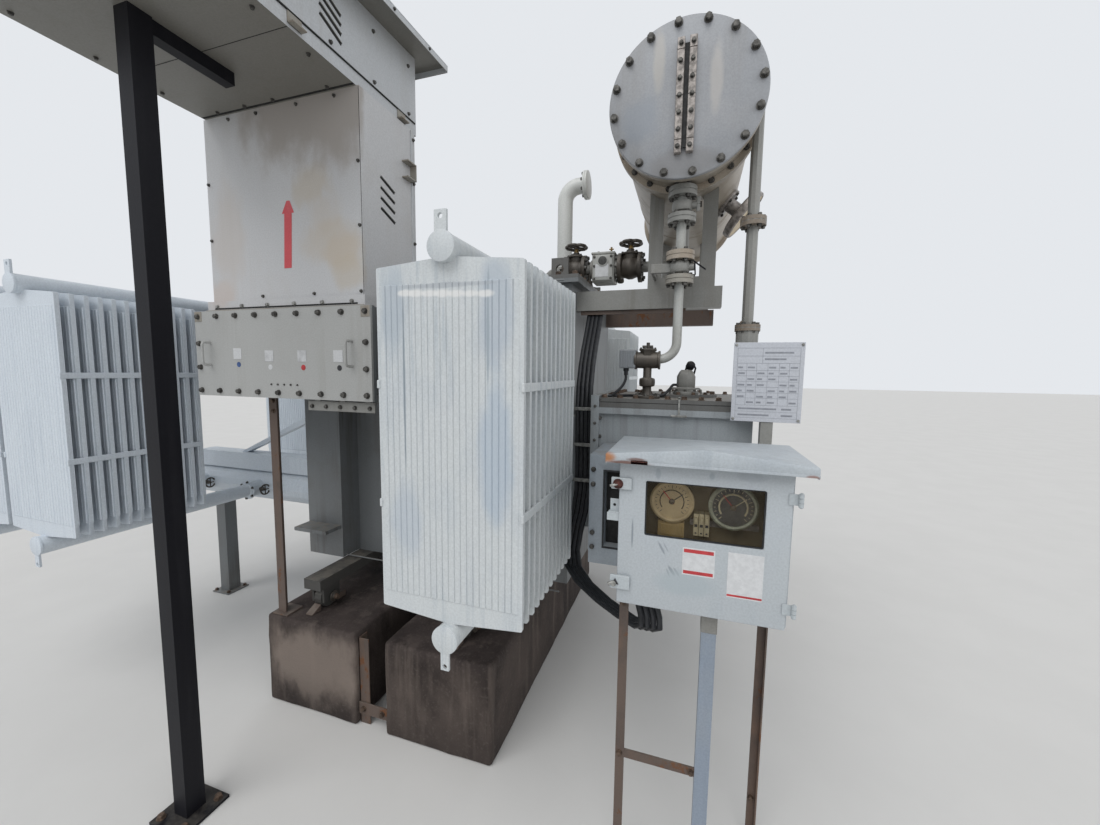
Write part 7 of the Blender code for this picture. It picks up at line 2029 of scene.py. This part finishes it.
# Bank of radiators: valves at the branches, beam bolts, leg foot
def dress_bank():
    high_low, high_high = corners("manifold_high")
    low_low, low_high = corners("manifold_low")
    y = (high_low.y + high_high.y) / 2
    z_high = (high_low.z + high_high.z) / 2
    z_low = (low_low.z + low_high.z) / 2
    for name, z, radius in (("high", z_high, 0.078), ("low", z_low, 0.128)):
        bolted_flange("bank_pipe_flange_" + name, (high_high.x - 0.075, y, z), RIGHT, radius, 0.038, 8,
                      0.018, "bank")
    for column in ("1", "2"):
        radiator_low, radiator_high = corners("radiator_side_front_" + column)
        x = (radiator_low.x + radiator_high.x) / 2
        for name, z in (("high", radiator_high.z - LUG_END), ("low", radiator_low.z + LUG_END)):
            for hand in (-1, 1):
                place = Vector((x + 0.054, y + hand * 0.135, z))
                steps = [(0.014, -0.004), (0.014, 0.020), (0.009, 0.022), (0.009, 0.044)]
                body = turned("spindle", steps, place, RIGHT, 16, 0.001)
                put_down()
                bpy.ops.mesh.primitive_torus_add(major_radius=0.034, minor_radius=0.0055, major_segments=28,
                                                 minor_segments=8)
                rim = bpy.context.object
                bars = [round_bar("spoke", (-0.034, 0, 0), (0.034, 0, 0), 0.0035, 8),
                        round_bar("spoke", (0, -0.034, 0), (0, 0.034, 0), 0.0035, 8)]
                wheel = join("wheel", [rim, *bars])
                stand(wheel, place + Vector((0.042, 0, 0)), RIGHT)
                finish_piece(smooth(join(f"bank_valve_{column}_{name}_{'front' if hand < 0 else 'back'}",
                                         [body, wheel]), 40), "iron")
    beam_low, beam_high = corners("bank_beam")
    beam_z = beam_low.z + 0.06
    places = [(beam_high.x - 0.02 - 0.07 * step, beam_low.y, beam_z + z) for step in range(2)
              for z in (-0.025, 0.025)]
    bolts("bank_beam_bolts", places, FRONT, 0.018)
    leg_low, leg_high = corners("bank_leg")
    foot = block("bank_leg_foot", (leg_low.x - 0.04, leg_low.y - 0.04, 0.0),
                 (leg_high.x + 0.04, leg_high.y + 0.04, 0.010), 0.002)
    finish_piece(foot, "tank")
    bolts("bank_leg_foot_bolts",
          rim_places((leg_low.x - 0.04, leg_low.y - 0.04), (leg_high.x + 0.04, leg_high.y + 0.04), 0.010,
                     (2, 2), 0.02), UP, 0.020, "rusted_bolt")


# Black post and what hangs under the low voltage box
def dress_posts():
    low = corners("hood_post")[0]
    foot_corners = rim_places((low.x, low.y), (low.x + 0.18, low.y + 0.18), 0.0125, (2, 2), 0.026)
    bolts("hood_post_foot_bolts", foot_corners, UP, 0.022, "rusted_bolt")
    box_low = corners("lv_terminal_box")[0]
    rail = [block("rail", (-0.02, box_low.y + 0.012, box_low.z - 0.052),
                  (0.355, box_low.y + 0.018, box_low.z - 0.012), 0.001),
            block("rail", (-0.02, box_low.y + 0.012, box_low.z - 0.012),
                  (0.355, box_low.y + 0.050, box_low.z - 0.007), 0.001)]
    for x in (0.02, 0.16, 0.30):
        rail.append(block("hanger", (x, box_low.y + 0.014, box_low.z - 0.012),
                          (x + 0.030, box_low.y + 0.019, box_low.z + 0.001), 0.001))
    finish_joined("lv_box_lower_rail", rail, "pipe")
    places = row_places((0.005, box_low.y + 0.012, box_low.z - 0.032),
                        (0.33, box_low.y + 0.012, box_low.z - 0.032), 5)
    bolts("lv_box_lower_rail_bolts", places, FRONT, 0.014)
    leg_low, leg_high = corners("lv_box_leg")
    bolts("lv_leg_bolts",
          [(leg_low.x + 0.030, leg_low.y, z) for z in (leg_high.z - 0.05, leg_high.z - 0.10)], FRONT, 0.015,
          "rusted_bolt")
    foot = block("lv_leg_foot", shift(leg_low, -0.02, -0.02, -0.0002),
                 (leg_high.x + 0.03, leg_high.y + 0.03, leg_low.z + 0.008), 0.0015)
    finish_piece(foot, "rusty")


def dress_saddles():
    for side in ("front", "back"):
        low, high = corners("saddle_" + side)
        beam_low, beam_high = corners("support_beam_" + side)
        y = (low.y + high.y) / 2
        places = [(x, y, low.z + 0.050) for x in (low.x + 0.10, high.x - 0.10)]
        bolts("saddle_bolts_" + side, places, UP, 0.020)
        bolts("beam_bolts_" + side,
              [(beam_low.x + 0.05 + 0.12 * step, (beam_low.y + beam_high.y) / 2, beam_low.z + 0.010)
               for step in range(2)], UP, 0.018)
    low, high = corners("support_beam_front")
    under = block("support_beam_packing", shift(low, 0.02, 0.012, -0.0205),
                  (high.x - 0.16, low.y + 0.020, low.z - 0.0005), 0.001)
    finish_piece(under, "rusty")


dress_plinth("plinth_left", 3)
dress_plinth("plinth_right", 9)
dress_between_plinths()
dress_undercarriage()
dress_tank()
dress_hv_box()
dress_bank()
dress_posts()
dress_saddles()
